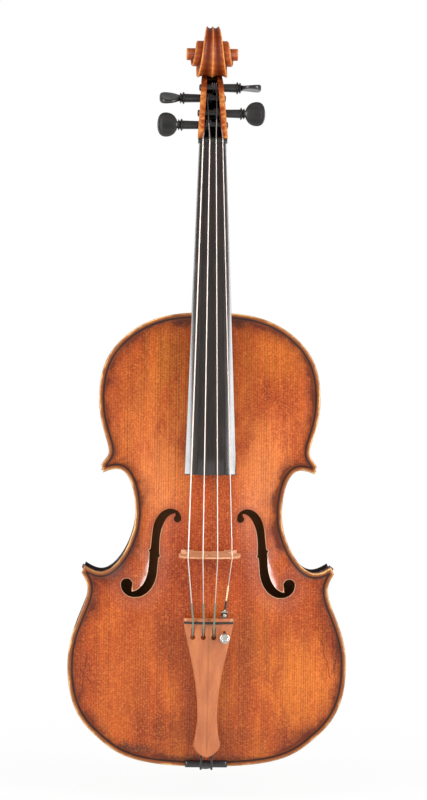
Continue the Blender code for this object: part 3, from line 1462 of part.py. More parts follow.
def bridge_thickness(z):
    """Thickness of the bridge at a height: most at the feet, and least at the crown."""
    spring = bridge_base(0.0)
    t = smooth((z - spring) / (crown_height(0.0) - spring) * 0.9 + 0.1)
    return BRIDGE_FOOT_THICKNESS + (BRIDGE_CROWN_THICKNESS - BRIDGE_FOOT_THICKNESS) * t


def make_bridge():
    """The maple bridge with its feet and heart, thinner towards its crown."""
    low = bridge_base(BRIDGE_FEET_SPAN / 2)
    arch = [(0.0, bridge_base(0.0) + BRIDGE_ARCH_TOP)]
    loop = bridge_half(1, low) + arch + bridge_half(-1, low)[:0:-1]
    heart_z = crown_height(0.0) - HEART_BELOW_CROWN
    heart = [(x, heart_z + up) for x, up in HEART_SHAPE]
    heart += [(-x, z) for x, z in heart[-2:0:-1]]
    back = BRIDGE_AT - BRIDGE_CROWN_THICKNESS / 2
    places, faces = plan_faces([loop], [heart])
    bm = bmesh.new()
    for share in (0.0, 1.0):
        used = [bm.verts.new((x, back + share * bridge_thickness(z), z)) for x, z in places]
        for face in faces:
            bm.faces.new([used[i] for i in face])
    for ring in (loop, heart):
        near = [bm.verts.new((x, back, z)) for x, z in ring]
        far = [bm.verts.new((x, back + bridge_thickness(z), z)) for x, z in ring]
        for i in range(len(ring)):
            j = (i + 1) % len(ring)
            bm.faces.new((near[i], near[j], far[j], far[i]))
    add_object("bridge", bm, "bare_maple")


# Tailpiece, its rest, gut, saddle and end button

def tailpiece_half_width(y):
    """Half width of the tailpiece along its length."""
    d = y - TAILPIECE_LOW_END_AT
    return blend_line([(0.0, 3.2), (TAILPIECE_TAIL_AT * 0.45, TAILPIECE_TAIL_WIDTH * 0.40),
                       (TAILPIECE_TAIL_AT, TAILPIECE_TAIL_WIDTH / 2),
                       (TAILPIECE_WAIST_AT, TAILPIECE_WAIST_WIDTH / 2),
                       (TAILPIECE_WAIST_AT * 1.7, TAILPIECE_WAIST_WIDTH * 0.66),
                       (TAILPIECE_LENGTH - 8.0, TAILPIECE_TOP_WIDTH * 0.475),
                       (TAILPIECE_LENGTH, TAILPIECE_TOP_WIDTH / 2)], d)


def tailpiece_ridge(y):
    """Height of the tailpiece's middle line."""
    t = (y - TAILPIECE_LOW_END_AT) / TAILPIECE_LENGTH
    return TAILPIECE_LOW_Z + (TAILPIECE_TOP_Z - TAILPIECE_LOW_Z) * t


def tailpiece_crown(y):
    """How far the ridge stands over the edges, which grows with the width."""
    return TAILPIECE_CROWN * (0.35 + 0.65 * tailpiece_half_width(y) / (TAILPIECE_TOP_WIDTH / 2))


def tailpiece_top(x, y):
    """Upper surface of the tailpiece, arched across with a soft ridge."""
    t = min(abs(x) / tailpiece_half_width(y), 1.0)
    return tailpiece_ridge(y) - tailpiece_crown(y) * t ** 1.5


def tailpiece_under(x, y):
    """Lower surface of the tailpiece, hollowed along its middle."""
    t = min(abs(x) / tailpiece_half_width(y), 1.0)
    along = (y - TAILPIECE_LOW_END_AT) / TAILPIECE_LENGTH
    thick = TAILPIECE_TAIL_THICKNESS + (TAILPIECE_THICKNESS - TAILPIECE_TAIL_THICKNESS) * along
    return tailpiece_ridge(y) - thick - 0.75 * tailpiece_crown(y) * t ** 1.5


def tail_rest_top(x):
    """Height of the string rest over the tailpiece."""
    return tailpiece_top(x, TAIL_REST_AT) + 1.5


def make_tailpiece():
    """The boxwood tailpiece with its keyhole slots and a groove for the string rest."""
    rings = []
    stations = [0.0, 2.0, TAILPIECE_TAIL_AT * 0.45, TAILPIECE_TAIL_AT, TAILPIECE_WAIST_AT,
                TAILPIECE_LENGTH - 8.0, TAILPIECE_LENGTH - 1.5, TAILPIECE_LENGTH]
    stations += [share * TAILPIECE_LENGTH for share in TAILPIECE_STATIONS]
    for d in sorted(stations):
        y = TAILPIECE_LOW_END_AT + d
        half = tailpiece_half_width(y)
        if d == TAILPIECE_LENGTH:
            half -= 1.0
        sink = 0.8 if d in (0.0, TAILPIECE_LENGTH) else 0.0
        ring = [(half * f, y, tailpiece_top(half * f, y) - sink)
                for f in (1.0, 0.7, 0.35, 0.0, -0.35, -0.7, -1.0)]
        ring += [(half * f, y, tailpiece_under(half * f, y) + sink) for f in (-1.0, -0.55, 0.0, 0.55, 1.0)]
        rings.append(ring)
    bm = bmesh.new()
    loft(bm, rings)
    tailpiece = add_object("tailpiece", bm, "boxwood")
    for index in range(4):
        boolean(tailpiece, keyhole(index))
    boolean(tailpiece, rest_bar("tail_rest_groove", GAP, 4.0))


def keyhole(index):
    """The hole and slot that hold a string's ball end."""
    x = string_x(index, STRING_SPREAD_AT_TAIL)
    radius = TAIL_HOLE_RADIUS + (TUNER_BARREL_RADIUS + GAP - TAIL_HOLE_RADIUS if index == 3 else 0.0)
    half = TAIL_SLOT_WIDTH / 2
    turn = degrees(atan2(half, sqrt(radius * radius - half * half)))
    loop = arc(x, TAIL_HOLES_AT, radius, 90 + turn, 450 - turn, 11)
    slot = 9.0 if index < 3 else 6.0
    loop += [(x + half, TAIL_HOLES_AT + slot), (x - half, TAIL_HOLES_AT + slot)]
    bm = bmesh.new()
    prism(bm, loop, tailpiece_under(x, TAIL_HOLES_AT) - 9.0, tailpiece_top(x, TAIL_HOLES_AT) + 9.0)
    return add_cutter(f"keyhole_{index}", bm)


def rest_bar(name, grow, high):
    """The bar that the strings bear on, or with growth the groove that it sits in."""
    rings = []
    half = tailpiece_half_width(TAIL_REST_AT) - 0.4 + (2.0 if grow else 0.0)
    wide = 1.0 + grow
    for i in range(9):
        x = half * (1 - 2 * i / 8)
        seat = tailpiece_top(x, TAIL_REST_AT)
        near, far, foot = TAIL_REST_AT - wide, TAIL_REST_AT + wide, seat - 1.3 - grow
        rings.append([(x, near, foot), (x, far, foot), (x, far, seat + high - 0.7),
                      (x, TAIL_REST_AT, seat + high), (x, near, seat + high - 0.7)])
    bm = bmesh.new()
    loft(bm, rings)
    return add_cutter(name, bm) if grow else add_object(name, bm, "ebony")


def make_saddle():
    """The ebony saddle let into the lower edge, over which the tail gut bends."""
    rings = []
    half = SADDLE_WIDTH / 2
    for share, height in SADDLE_SHAPE:
        x, rise = half * share, SADDLE_RISE * height
        section = ((-0.2, -EDGE_THICKNESS), (SADDLE_DEPTH, -EDGE_THICKNESS), (SADDLE_DEPTH, 0.4 * rise),
                   (SADDLE_DEPTH * 0.7, rise), (SADDLE_DEPTH * 0.25, rise), (-0.2, 0.55 * rise))
        rings.append([(x, y, z) for y, z in section])
    bm = bmesh.new()
    loft(bm, rings)
    add_object("saddle", bm, "ebony")


def button_ring(y, radius, sides=16):
    """A round section across the end button's axis."""
    z = (RIB_TOP + RIB_FOOT) / 2
    return [(radius * cos(2 * pi * (i + 0.5) / sides), y, z + radius * sin(2 * pi * (i + 0.5) / sides))
            for i in range(sides)]


def make_end_button():
    """The turned ebony button, with its tapered shaft in the lower block."""
    neck = END_BUTTON_NECK_RADIUS
    rings = [button_ring(-END_BUTTON_REACH, END_BUTTON_RADIUS - 0.9),
             button_ring(-END_BUTTON_REACH + 0.9, END_BUTTON_RADIUS),
             button_ring(-2.2, END_BUTTON_RADIUS), button_ring(-1.2, END_BUTTON_RADIUS - 0.8),
             button_ring(-0.8, neck), button_ring(OVERHANG - GAP - 0.9, neck),
             button_ring(OVERHANG - GAP - 0.5, neck + 1.0), button_ring(OVERHANG - GAP, neck + 1.0),
             button_ring(OVERHANG - GAP, neck - 0.2), button_ring(END_BUTTON_SHAFT_LENGTH, neck - 0.7)]
    bm = bmesh.new()
    loft(bm, rings)
    add_object("end_button", bm, "ebony")


def tailgut_points():
    """Down from the tailpiece over the saddle, round the end button's neck, and back up."""
    x = END_BUTTON_NECK_RADIUS + GAP + TAILGUT_RADIUS
    z = (RIB_TOP + RIB_FOOT) / 2
    lift = GAP + TAILGUT_RADIUS
    start = TAILPIECE_LOW_END_AT + 13.0
    neck_y = (OVERHANG - GAP - 0.9 - 0.8) / 2
    leave, over = TAILPIECE_LOW_END_AT + 2.0, SADDLE_RISE + lift
    route = [(start, tailpiece_under(x, start) - lift - GAP),
             (leave, tailpiece_under(x, leave) - lift - 0.5),
             (SADDLE_DEPTH * 0.75, over + 0.1), (SADDLE_DEPTH * 0.2, over + 0.1), (-0.6, over - 0.7),
             (-0.2 - lift, SADDLE_RISE * 0.5 + lift * 0.7), (-0.3 - lift, 0.0),
             (-0.3 - lift, -EDGE_THICKNESS - 0.8), (-0.9, -EDGE_THICKNESS - 4.0),
             (neck_y * 0.4, -EDGE_THICKNESS - 8.0), (neck_y, z + 6.0)]
    loop = [(x * cos(radians(a)), neck_y, z + x * sin(radians(a))) for a in range(0, -181, -20)]
    return [(x, py, pz) for py, pz in route] + loop + [(-x, py, pz) for py, pz in route[::-1]]


# Fine tuner of the A string

def tuner_x():
    """The tuner stands in the A string's hole."""
    return string_x(3, STRING_SPREAD_AT_TAIL)


def tuner_levels():
    """Heights of the tuner's plate top, pivot and lever, below the tailpiece at its hole."""
    x = tuner_x()
    under = min(tailpiece_under(x + side * TUNER_PLATE_WIDTH / 2, TAIL_HOLES_AT + dy)
                for side in (-1, 0, 1) for dy in (-5.0, 16.0))
    plate_top = under - GAP
    return plate_top, plate_top - TUNER_PLATE_THICKNESS - 2.1


def tuner_pivot():
    """Place of the lever's pivot pin."""
    return tuner_x(), TAIL_HOLES_AT + TUNER_ARM, tuner_levels()[1]


def tuner_fork_place():
    """Where the fork holds the end of the A string."""
    x, y, _ = tuner_pivot()
    return x, y + TUNER_FORK_REACH, tail_rest_top(x) + 0.6


def tube_solid(bm, x, y, low, high, radius, bore, sides=16):
    """An upright tube with a bore."""
    def ring(r, z):
        return [bm.verts.new((px, py, pz)) for px, py, pz in upright_ring(x, y, z, r, sides)]
    rings = [ring(radius, low), ring(radius, high), ring(bore, high), ring(bore, low)]
    for a, b in zip(rings, rings[1:] + rings[:1]):
        for i in range(sides):
            j = (i + 1) % sides
            bm.faces.new((a[i], a[j], b[j], b[i]))


def upright_ring(x, y, z, radius, sides=12):
    """A level round section."""
    return [(x + radius * cos(2 * pi * (i + 0.5) / sides), y + radius * sin(2 * pi * (i + 0.5) / sides), z)
            for i in range(sides)]


def box(bm, low, high):
    """A plain block between two corners."""
    (x0, y0, z0), (x1, y1, z1) = low, high
    loft(bm, [[(x0, y0, z0), (x1, y0, z0), (x1, y1, z0), (x0, y1, z0)],
              [(x0, y0, z1), (x1, y0, z1), (x1, y1, z1), (x0, y1, z1)]])


def pin_solid(bm, radius, reach):
    """A cylinder along the lever's pivot, reaching so far each way."""
    x, y, z = tuner_pivot()
    angles = [2 * pi * (i + 0.5) / 12 for i in range(12)]
    loft(bm, [[(x + dx, y + radius * cos(a), z + radius * sin(a)) for a in angles]
              for dx in (-reach, reach)])


def clamp_levels():
    """Lower and upper face of the clamp nut on the tailpiece."""
    surface = tailpiece_top(tuner_x() - TUNER_CLAMP_RADIUS, TAIL_HOLES_AT) + GAP
    return surface, surface + TUNER_CLAMP_HEIGHT


def make_tuner():
    """Frame, clamp nut, pivot pin, forked lever, screw and its knurled head."""
    bm = bmesh.new()
    pin_solid(bm, TUNER_PIN_RADIUS + GAP, TUNER_PLATE_WIDTH / 2 + 1.0)
    pin_hole = add_cutter("tuner_pin_bore", bm)
    make_tuner_frame(pin_hole)
    bm = bmesh.new()
    tube_solid(bm, tuner_x(), TAIL_HOLES_AT, *clamp_levels(), TUNER_CLAMP_RADIUS, TUNER_BARREL_RADIUS + GAP)
    add_object("tuner_clamp_nut", bm, "nickel")
    bm = bmesh.new()
    pin_solid(bm, TUNER_PIN_RADIUS, TUNER_PLATE_WIDTH / 2 - 0.1)
    add_object("tuner_pin", bm, "nickel")
    make_tuner_lever(pin_hole)
    make_tuner_screw()


def make_tuner_frame(pin_hole):
    """The plate under the tailpiece with two ears for the pin, and the bored barrel through the hole."""
    x, hole_y, half = tuner_x(), TAIL_HOLES_AT, TUNER_PLATE_WIDTH / 2
    plate_top, pivot_z = tuner_levels()
    pivot_y, clamp_top = tuner_pivot()[1], clamp_levels()[1]
    low, front = plate_top - TUNER_PLATE_THICKNESS, pivot_y + TUNER_EAR_REACH / 2
    bm = bmesh.new()
    box(bm, (x - half, hole_y - TUNER_PLATE_BEHIND, low), (x + half, front, plate_top))
    frame = add_object("tuner_frame", bm, "nickel")
    for side, word in ((-1, "left"), (1, "right")):
        sides = sorted((x + side * (half - TUNER_EAR_THICKNESS), x + side * half))
        bm = bmesh.new()
        box(bm, (sides[0], front - 1.5 * TUNER_EAR_REACH, pivot_z - TUNER_EAR_REACH / 2),
            (sides[1], front, low + TUNER_SUNK))
        boolean(frame, add_cutter(f"tuner_ear_{word}", bm), "UNION")
    bm = bmesh.new()
    levels = (low + TUNER_SUNK, clamp_top + 0.5)
    loft(bm, [upright_ring(x, hole_y, z, TUNER_BARREL_RADIUS, 16) for z in levels])
    boolean(frame, add_cutter("tuner_barrel_form", bm), "UNION")
    bm = bmesh.new()
    loft(bm, [upright_ring(x, hole_y, z, TUNER_STEM_RADIUS + GAP) for z in (low - 3.0, clamp_top + 3.0)])
    boolean(frame, add_cutter("tuner_bore_form", bm))
    boolean(frame, pin_hole)


def make_tuner_lever(pin_hole):
    """The lever: a long arm under the screw, and a fork that rises over the tailpiece's end."""
    hole_y = TAIL_HOLES_AT
    x, pivot_y, pivot_z = tuner_pivot()
    arm = TUNER_PLATE_WIDTH / 2 - TUNER_EAR_THICKNESS - GAP
    _, fork_y, fork_z = tuner_fork_place()
    top = TUNER_ARM_TOP + 0.25
    profile = [(hole_y - 2.6, pivot_z - top), (hole_y + 4.0, pivot_z - 1.5), (pivot_y + 1.2, pivot_z - 1.9),
               (pivot_y + 5.4, pivot_z - 0.6), (fork_y + 0.2, pivot_z + 4.0), (fork_y + 1.3, fork_z - 4.0),
               (fork_y + 1.0, fork_z + 2.2), (fork_y - 0.6, fork_z + 2.4), (fork_y - 0.7, fork_z - 4.0),
               (fork_y - 2.4, pivot_z + 4.6), (pivot_y + 3.0, pivot_z + 1.6),
               (pivot_y - 1.6, pivot_z + 1.5), (hole_y + 4.0, pivot_z - 1.5 + TUNER_ARM_THICKNESS),
               (hole_y - 2.6, pivot_z - top + TUNER_ARM_THICKNESS)]
    bm = bmesh.new()
    loft(bm, [[(px, y, z) for y, z in profile] for px in (x - arm, x + arm)])
    lever = add_object("tuner_lever", bm, "nickel", origin=(x, pivot_y, pivot_z))
    boolean(lever, pin_hole)
    bm = bmesh.new()
    slit = TUNER_FORK_SLIT / 2
    box(bm, (x - slit, fork_y - 4.0, fork_z - 2.6), (x + slit, fork_y + 4.0, fork_z + 6.0))
    boolean(lever, add_cutter("tuner_fork_slit", bm))


def make_tuner_screw():
    """The screw's stem, and its knurled head that the fingers turn."""
    x, y, pivot_z = tuner_x(), TAIL_HOLES_AT, tuner_pivot()[2]
    foot, head = pivot_z + TUNER_ARM_TOP + GAP, clamp_levels()[1] + TUNER_TRAVEL_ROOM
    bm = bmesh.new()
    loft(bm, [upright_ring(x, y, z, radius) for z, radius in
              ((foot, 0.6), (foot + 0.5, TUNER_STEM_RADIUS), (head - GAP, TUNER_STEM_RADIUS))])
    add_object("tuner_screw", bm, "nickel")
    bm = bmesh.new()
    top = head + TUNER_KNOB_HEIGHT
    rings = []
    for z, share in ((head, 0.80), (head + 0.7, 1.0), (top - 0.7, 1.0), (top, 0.84)):
        ring = []
        for i in range(TUNER_KNOB_RIDGES):
            r = TUNER_KNOB_RADIUS * share - (0.25 if i % 2 else 0.0)
            angle = 2 * pi * i / TUNER_KNOB_RIDGES
            ring.append((x + r * cos(angle), y + r * sin(angle), z))
        rings.append(ring)
    loft(bm, rings)
    add_object("tuner_knob", bm, "nickel", origin=(x, y, 0.0))


def make_tuner_ball():
    """The A string's ball end, caught in the fork."""
    x, y, z = tuner_fork_place()
    bm = bmesh.new()
    at = y - BALL_BEHIND_FORK
    loft(bm, [[(x + r * cos(2 * pi * i / 10), at + d, z + r * sin(2 * pi * i / 10)) for i in range(10)]
              for d, r in ((-1.6, 0.7), (-1.1, 1.4), (0.0, 1.7), (1.1, 1.4), (1.6, 0.7))])
    add_object("string_a_ball", bm, "nickel")


# Guides for the seats cut into several pieces

def make_cutters():
    """The neck's mortise, the saddle's seat and the end button's hole."""
    rib_plane = BODY_LENGTH - OVERHANG
    rings = []
    for y in (rib_plane - MORTISE_DEPTH - GAP, BODY_LENGTH + 4.0):
        half_top, half_low = root_section(y, GAP)
        top = board_seat(y)
        rings.append(neck_ring(y, top, half_top, half_low, top - RIB_FOOT + GAP, 5.8))
    bm = bmesh.new()
    loft(bm, rings)
    CUTTERS["mortise"] = add_cutter("mortise_form", bm)
    bm = bmesh.new()
    half = SADDLE_WIDTH / 2 + GAP
    box(bm, (-half, -6.0, -EDGE_THICKNESS - 2.0), (half, SADDLE_DEPTH + GAP, 12.0))
    CUTTERS["saddle_seat"] = add_cutter("saddle_seat_form", bm)
    bm = bmesh.new()
    near = END_BUTTON_NECK_RADIUS
    loft(bm, [button_ring(OVERHANG - 2.0, near - 0.2 + GAP),
              button_ring(END_BUTTON_SHAFT_LENGTH + 1.0, near - 0.6 + GAP)])
    CUTTERS["button_hole"] = add_cutter("button_hole_form", bm)


def main():
    """Build every piece under the root."""
    global ROOT
    for old in list(bpy.data.objects):
        bpy.data.objects.remove(old, do_unlink=True)
    ROOT = bpy.data.objects.new("viola", None)
    bpy.context.collection.objects.link(ROOT)
    ROOT.rotation_euler = (pi / 2, 0.0, 0.0)
    ROOT.location = (0.0, SCROLL_EYE_Z * MM, -(SCROLL_EYE_AT - HANGER_BELOW_EYE) * MM)
    make_cutters()
    make_plates()
    make_ribs()
    make_linings()
    make_blocks()
    make_bass_bar()
    make_sound_post()
    make_neck()
    make_fingerboard()
    make_nut()
    for index in range(4):
        make_peg(index)
        make_winding(index)
    make_strings()
    make_bridge()
    make_tailpiece()
    rest_bar("tailpiece_rest", 0.0, 1.5)
    make_saddle()
    make_end_button()
    add_tube("tailgut", tailgut_points(), TAILGUT_RADIUS, "tail_cord", 1)
    make_tuner()
    make_tuner_ball()


main()
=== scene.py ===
"""A viola with its carved plates, scroll, pegs, bridge, tailpiece and strings, dressed for a studio picture."""

import logging
from dataclasses import dataclass, field
from enum import Enum
from math import cos, hypot, pi, radians, sin, sqrt
from typing import Sequence

import bmesh
import bpy
import numpy as np
from mathutils import Matrix, Vector, geometry

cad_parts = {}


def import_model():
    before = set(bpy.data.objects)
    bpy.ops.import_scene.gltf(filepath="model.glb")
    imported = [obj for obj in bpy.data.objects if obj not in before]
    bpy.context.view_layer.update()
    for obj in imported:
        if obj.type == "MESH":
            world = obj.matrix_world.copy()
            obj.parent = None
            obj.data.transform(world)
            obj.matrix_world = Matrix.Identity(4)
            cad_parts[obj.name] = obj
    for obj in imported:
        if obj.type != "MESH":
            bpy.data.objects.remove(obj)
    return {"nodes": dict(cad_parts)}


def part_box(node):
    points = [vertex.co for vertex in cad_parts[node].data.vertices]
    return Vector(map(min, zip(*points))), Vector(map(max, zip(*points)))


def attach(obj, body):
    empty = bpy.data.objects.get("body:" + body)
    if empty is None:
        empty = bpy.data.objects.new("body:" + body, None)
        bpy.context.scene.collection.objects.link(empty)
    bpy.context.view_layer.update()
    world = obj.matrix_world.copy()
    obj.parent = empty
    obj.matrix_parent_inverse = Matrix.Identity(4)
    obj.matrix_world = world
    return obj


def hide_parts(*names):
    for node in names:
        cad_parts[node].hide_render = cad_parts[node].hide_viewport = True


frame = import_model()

logging.basicConfig(level=logging.INFO, format="%(message)s")
LOG = logging.getLogger("viola")

MM = 0.001
EYE_AT, EYE_Z = 650.3, -42.0        # centre of the scroll on the bench: up the length, and out of the belly
ORIGIN_AT = EYE_AT - 12.0           # the world's origin lies under the scroll
RIB_FOOT = -42.8                    # where the ribs stand on the back
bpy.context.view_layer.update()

Plan = tuple[float, float]
Bench = tuple[float, float, float]


def world(point: Sequence[float]) -> Vector:
    """A bench point in millimetres (right, up the length, out of the belly) as a world point in metres."""
    x, y, z = point
    return Vector((x * MM, (EYE_Z - z) * MM, (y - ORIGIN_AT) * MM))


def smooth(t: float | np.ndarray) -> float | np.ndarray:
    """A ramp from 0 to 1 with level ends."""
    t = np.clip(t, 0, 1)
    return t * t * (3 - 2 * t)


def bezier(p0: Plan, p1: Plan, p2: Plan, p3: Plan, steps: int) -> list[Plan]:
    """Points along a cubic curve, without its last point.

    Args:
        p0: where it starts.
        p1: the handle of its start.
        p2: the handle of its end.
        p3: where it ends.
        steps: how many points it gives.

    Returns:
        The points in order.
    """
    points = []
    for i in range(steps):
        t, s = i / steps, 1 - i / steps
        points.append(tuple(s**3 * a + 3 * s * s * t * b + 3 * s * t * t * c + t**3 * d
                            for a, b, c, d in zip(p0, p1, p2, p3)))
    return points


def arc(cx: float, cy: float, radius: float, start: float, end: float, steps: int) -> list[Plan]:
    """Points on a circle from start to end, in degrees, both ends included."""
    angles = [radians(start + (end - start) * i / steps) for i in range(steps + 1)]
    return [(cx + radius * cos(a), cy + radius * sin(a)) for a in angles]


def circle(radius: float, sides: int = 48) -> list[Plan]:
    """Points round the origin."""
    return [(radius * cos(2 * pi * i / sides), radius * sin(2 * pi * i / sides)) for i in range(sides)]


def between(a: Bench, b: Bench, share: float) -> Bench:
    """The point at a share of the way from one point to another."""
    return tuple(p + (q - p) * share for p, q in zip(a, b))


def through(stations: Sequence[Plan], at: float) -> float:
    """A smooth curve through (place, value) stations, read at one place.

    Args:
        stations: places in rising order, each with its value.
        at: the place to read.

    Returns:
        The value there, held level outside the first and last station.
    """
    if at <= stations[0][0]:
        return stations[0][1]
    if at >= stations[-1][0]:
        return stations[-1][1]
    k = max(i for i in range(len(stations) - 1) if stations[i][0] <= at)
    (a, va), (b, vb) = stations[k], stations[k + 1]
    before = stations[k - 1] if k else (2 * a - b, 2 * va - vb)
    after = stations[k + 2] if k + 2 < len(stations) else (2 * b - a, 2 * vb - va)
    slope_a = (vb - before[1]) / (b - before[0])
    slope_b = (after[1] - va) / (after[0] - a)
    t, h = (at - a) / (b - a), b - a
    return ((2 * t**3 - 3 * t**2 + 1) * va + (t**3 - 2 * t**2 + t) * h * slope_a
            + (-2 * t**3 + 3 * t**2) * vb + (t**3 - t**2) * h * slope_b)


# Colours and nodes

Socket = bpy.types.NodeSocket
Paint = Socket | str            # a node's output or a hex colour
Amount = Socket | float         # a node's output or a fixed number
Stop = tuple[float, str | float]        # place on a ramp, with a hex colour or a grey level


def linear(hex_colour: str) -> tuple[float, float, float, float]:
    """An sRGB hex colour as the linear values that a shader takes.

    Args:
        hex_colour: six hex digits after a hash.

    Returns:
        Red, green, blue and full opacity.
    """
    parts = [int(hex_colour.lstrip("#")[i:i + 2], 16) / 255 for i in (0, 2, 4)]
    return (*[p / 12.92 if p <= 0.04045 else ((p + 0.055) / 1.055) ** 2.4 for p in parts], 1.0)


def add_node(tree: bpy.types.NodeTree, kind: str, inputs: dict | None = None, ramp: Sequence[Stop] = (),
             **settings: object) -> bpy.types.Node:
    """Add a node with its settings and links.

    Args:
        tree: the material's or the world's nodes.
        kind: the node's type, without its ShaderNode prefix.
        inputs: for each socket a fixed value, a hex colour or another node's output.
        ramp: stops of a colour ramp.
        settings: further properties of the node.

    Returns:
        The new node.
    """
    node = tree.nodes.new("ShaderNode" + kind)
    for name, value in settings.items():
        setattr(node, name, value)
    while ramp and len(node.color_ramp.elements) < len(ramp):
        node.color_ramp.elements.new(0.5)
    for i, (place, value) in enumerate(ramp):
        node.color_ramp.elements[i].position = place
        node.color_ramp.elements[i].color = linear(value) if isinstance(value, str) else (*[value] * 3, 1.0)
    for name, value in (inputs or {}).items():
        if isinstance(value, Socket):
            tree.links.new(value, node.inputs[name])
        else:
            node.inputs[name].default_value = linear(value) if isinstance(value, str) else value
    return node


def band_scale(period_mm: float) -> float:
    """The wave texture's scale at which its bands repeat every so many millimetres."""
    return 2 * pi / (20 * period_mm * MM)


def grain_scale(feature_mm: float) -> float:
    """The noise texture's scale for features of about this size in millimetres."""
    return 1 / (feature_mm * MM)


class Mix(Enum):
    """How one colour is laid over another."""

    OVER = "MIX"
    SHADE = "MULTIPLY"


class Axis(Enum):
    """The way that the bands of a figure follow each other."""

    ACROSS = "X"
    ALONG = "Z"


@dataclass(frozen=True)
class Palette:
    """What one material is painted with: each method adds a node and returns its output."""

    tree: bpy.types.NodeTree

    def metres(self) -> Socket:
        """Object coordinates in metres."""
        return add_node(self.tree, "TexCoord").outputs["Object"]

    def stretch(self, source: Socket, scale: Sequence[float]) -> Socket:
        """Coordinates with each axis scaled."""
        return add_node(self.tree, "Mapping", {"Vector": source, "Scale": scale}).outputs[0]

    def place(self, *scale: float) -> Socket:
        """Object coordinates with each axis scaled."""
        return self.stretch(self.metres(), scale or (1.0, 1.0, 1.0))

    def axes(self) -> bpy.types.NodeOutputs:
        """The three object coordinates by letter."""
        return add_node(self.tree, "SeparateXYZ", {0: self.metres()}).outputs

    def fact(self, name: str) -> Socket:
        """A value that the mesh carries at its points or faces."""
        return add_node(self.tree, "Attribute", attribute_name=name).outputs["Fac"]

    def noise(self, at: Socket, feature_mm: float, detail: float = 2.0, rough: float = 0.5) -> Socket:
        """Clouds or flecks of about this size."""
        return add_node(self.tree, "TexNoise", {"Vector": at, "Scale": grain_scale(feature_mm), "Detail": detail,
                                                "Roughness": rough}).outputs[0]

    def bands(self, at: Socket, period_mm: float, way: Axis, wobble: float = 0.0, detail: float = 2.0,
              finer: float = 1.0) -> Socket:
        """Bands that repeat at this distance, with a wobble of its own detail.

        Args:
            at: the place that the bands are laid over.
            period_mm: from one band to the next.
            way: the axis that they follow each other along.
            wobble: how far they stray.
            detail: how many finer steps the wobble has.
            finer: how fine its first step is.

        Returns:
            The wave's value.
        """
        return add_node(self.tree, "TexWave", {
            "Vector": at, "Scale": band_scale(period_mm), "Distortion": wobble, "Detail": detail,
            "Detail Scale": finer}, bands_direction=way.value).outputs[0]

    def ramp(self, value: Socket, *stops: Stop) -> Socket:
        """The colour or grey at a value between stops."""
        return add_node(self.tree, "ValToRGB", {"Fac": value}, stops).outputs[0]

    def span(self, value: Socket, low: float, high: float, start: float, end: float, curve: str = "LINEAR") -> Socket:
        """A value from low to high as one from start to end."""
        return add_node(self.tree, "MapRange", {"Value": value, 1: low, 2: high, 3: start, 4: end},
                        interpolation_type=curve).outputs[0]

    def math(self, operation: str, *values: Amount) -> Socket:
        """The result of one sum."""
        return add_node(self.tree, "Math", dict(enumerate(values)), operation=operation).outputs[0]

    def distance(self, point: Vector) -> Socket:
        """Distance from a point of the world in metres."""
        return add_node(self.tree, "VectorMath", {0: self.metres(), 1: point}, operation="DISTANCE").outputs["Value"]

    def below(self, low: float, high: float) -> Socket:
        """One under a place up the length, fading to nothing at another, in bench millimetres."""
        return self.span(self.axes()["Z"], world((0.0, low, 0.0)).z, world((0.0, high, 0.0)).z, 1.0, 0.0)

    def lay(self, under: Paint, over: Paint, share: Amount, how: Mix = Mix.OVER) -> Socket:
        """One colour laid over another by a share."""
        return add_node(self.tree, "Mix", {0: share, 6: under, 7: over}, data_type="RGBA",
                        blend_type=how.value).outputs[2]

    def bump(self, height: Socket, depth_mm: float, strength: float) -> Socket:
        """The surface's normal, raised by a height pattern of a real depth."""
        return add_node(self.tree, "Bump", {"Height": height, "Distance": depth_mm * MM,
                                            "Strength": strength}).outputs[0]


@dataclass(frozen=True)
class Finish:
    """A surface as its real maker left it."""

    name: str
    slot: str

    def material(self) -> bpy.types.Material:
        """The finish's material, made once.

        Returns:
            The material, which is found again by its name.
        """
        made = bpy.data.materials.get(self.name)
        if not made:
            made = bpy.data.materials.new(self.name)
            made.use_nodes = True
            made.node_tree.nodes.clear()
            shader = add_node(made.node_tree, "BsdfPrincipled", self.sockets(Palette(made.node_tree)))
            add_node(made.node_tree, "OutputMaterial", {"Surface": shader.outputs[0]})
        return made

    def sockets(self, paint: Palette) -> dict[str, object]:
        """The shader's sockets with what goes into them; each finish has its own."""
        raise NotImplementedError


@dataclass(frozen=True)
class Cloud:
    """A soft cloud of another colour on part of a plate, in bench millimetres."""

    x: float
    y: float
    wide: float
    high: float
    tint: str
    share: float                    # how much of it shows in the middle

    def lay_on(self, paint: Palette, colour: Paint) -> Socket:
        """Lay the cloud over a colour, with a ragged edge.

        Args:
            paint: the material's palette.
            colour: the plate's colour so far.

        Returns:
            The colour with the cloud on it.
        """
        middle = world((self.x, self.y, 0.0))
        scale = (1 / (self.wide * MM), 0.0, 1 / (self.high * MM))
        offset = (-middle.x * scale[0], 0.0, -middle.z * scale[2])
        spread = add_node(paint.tree, "VectorMath", {0: paint.metres(), 1: scale, 2: offset},
                          operation="MULTIPLY_ADD").outputs[0]
        far = add_node(paint.tree, "VectorMath", {0: spread}, operation="LENGTH").outputs["Value"]
        edge = paint.span(paint.noise(paint.place(1.6, 1.0, 0.5), 14.0, 5.0, 0.65), 0.3, 0.7, -0.35, 0.35)
        seen = paint.span(paint.math("ADD", far, edge), 0.15, 1.0, self.share, 0.0, "SMOOTHSTEP")
        return paint.lay(colour, self.tint, seen)


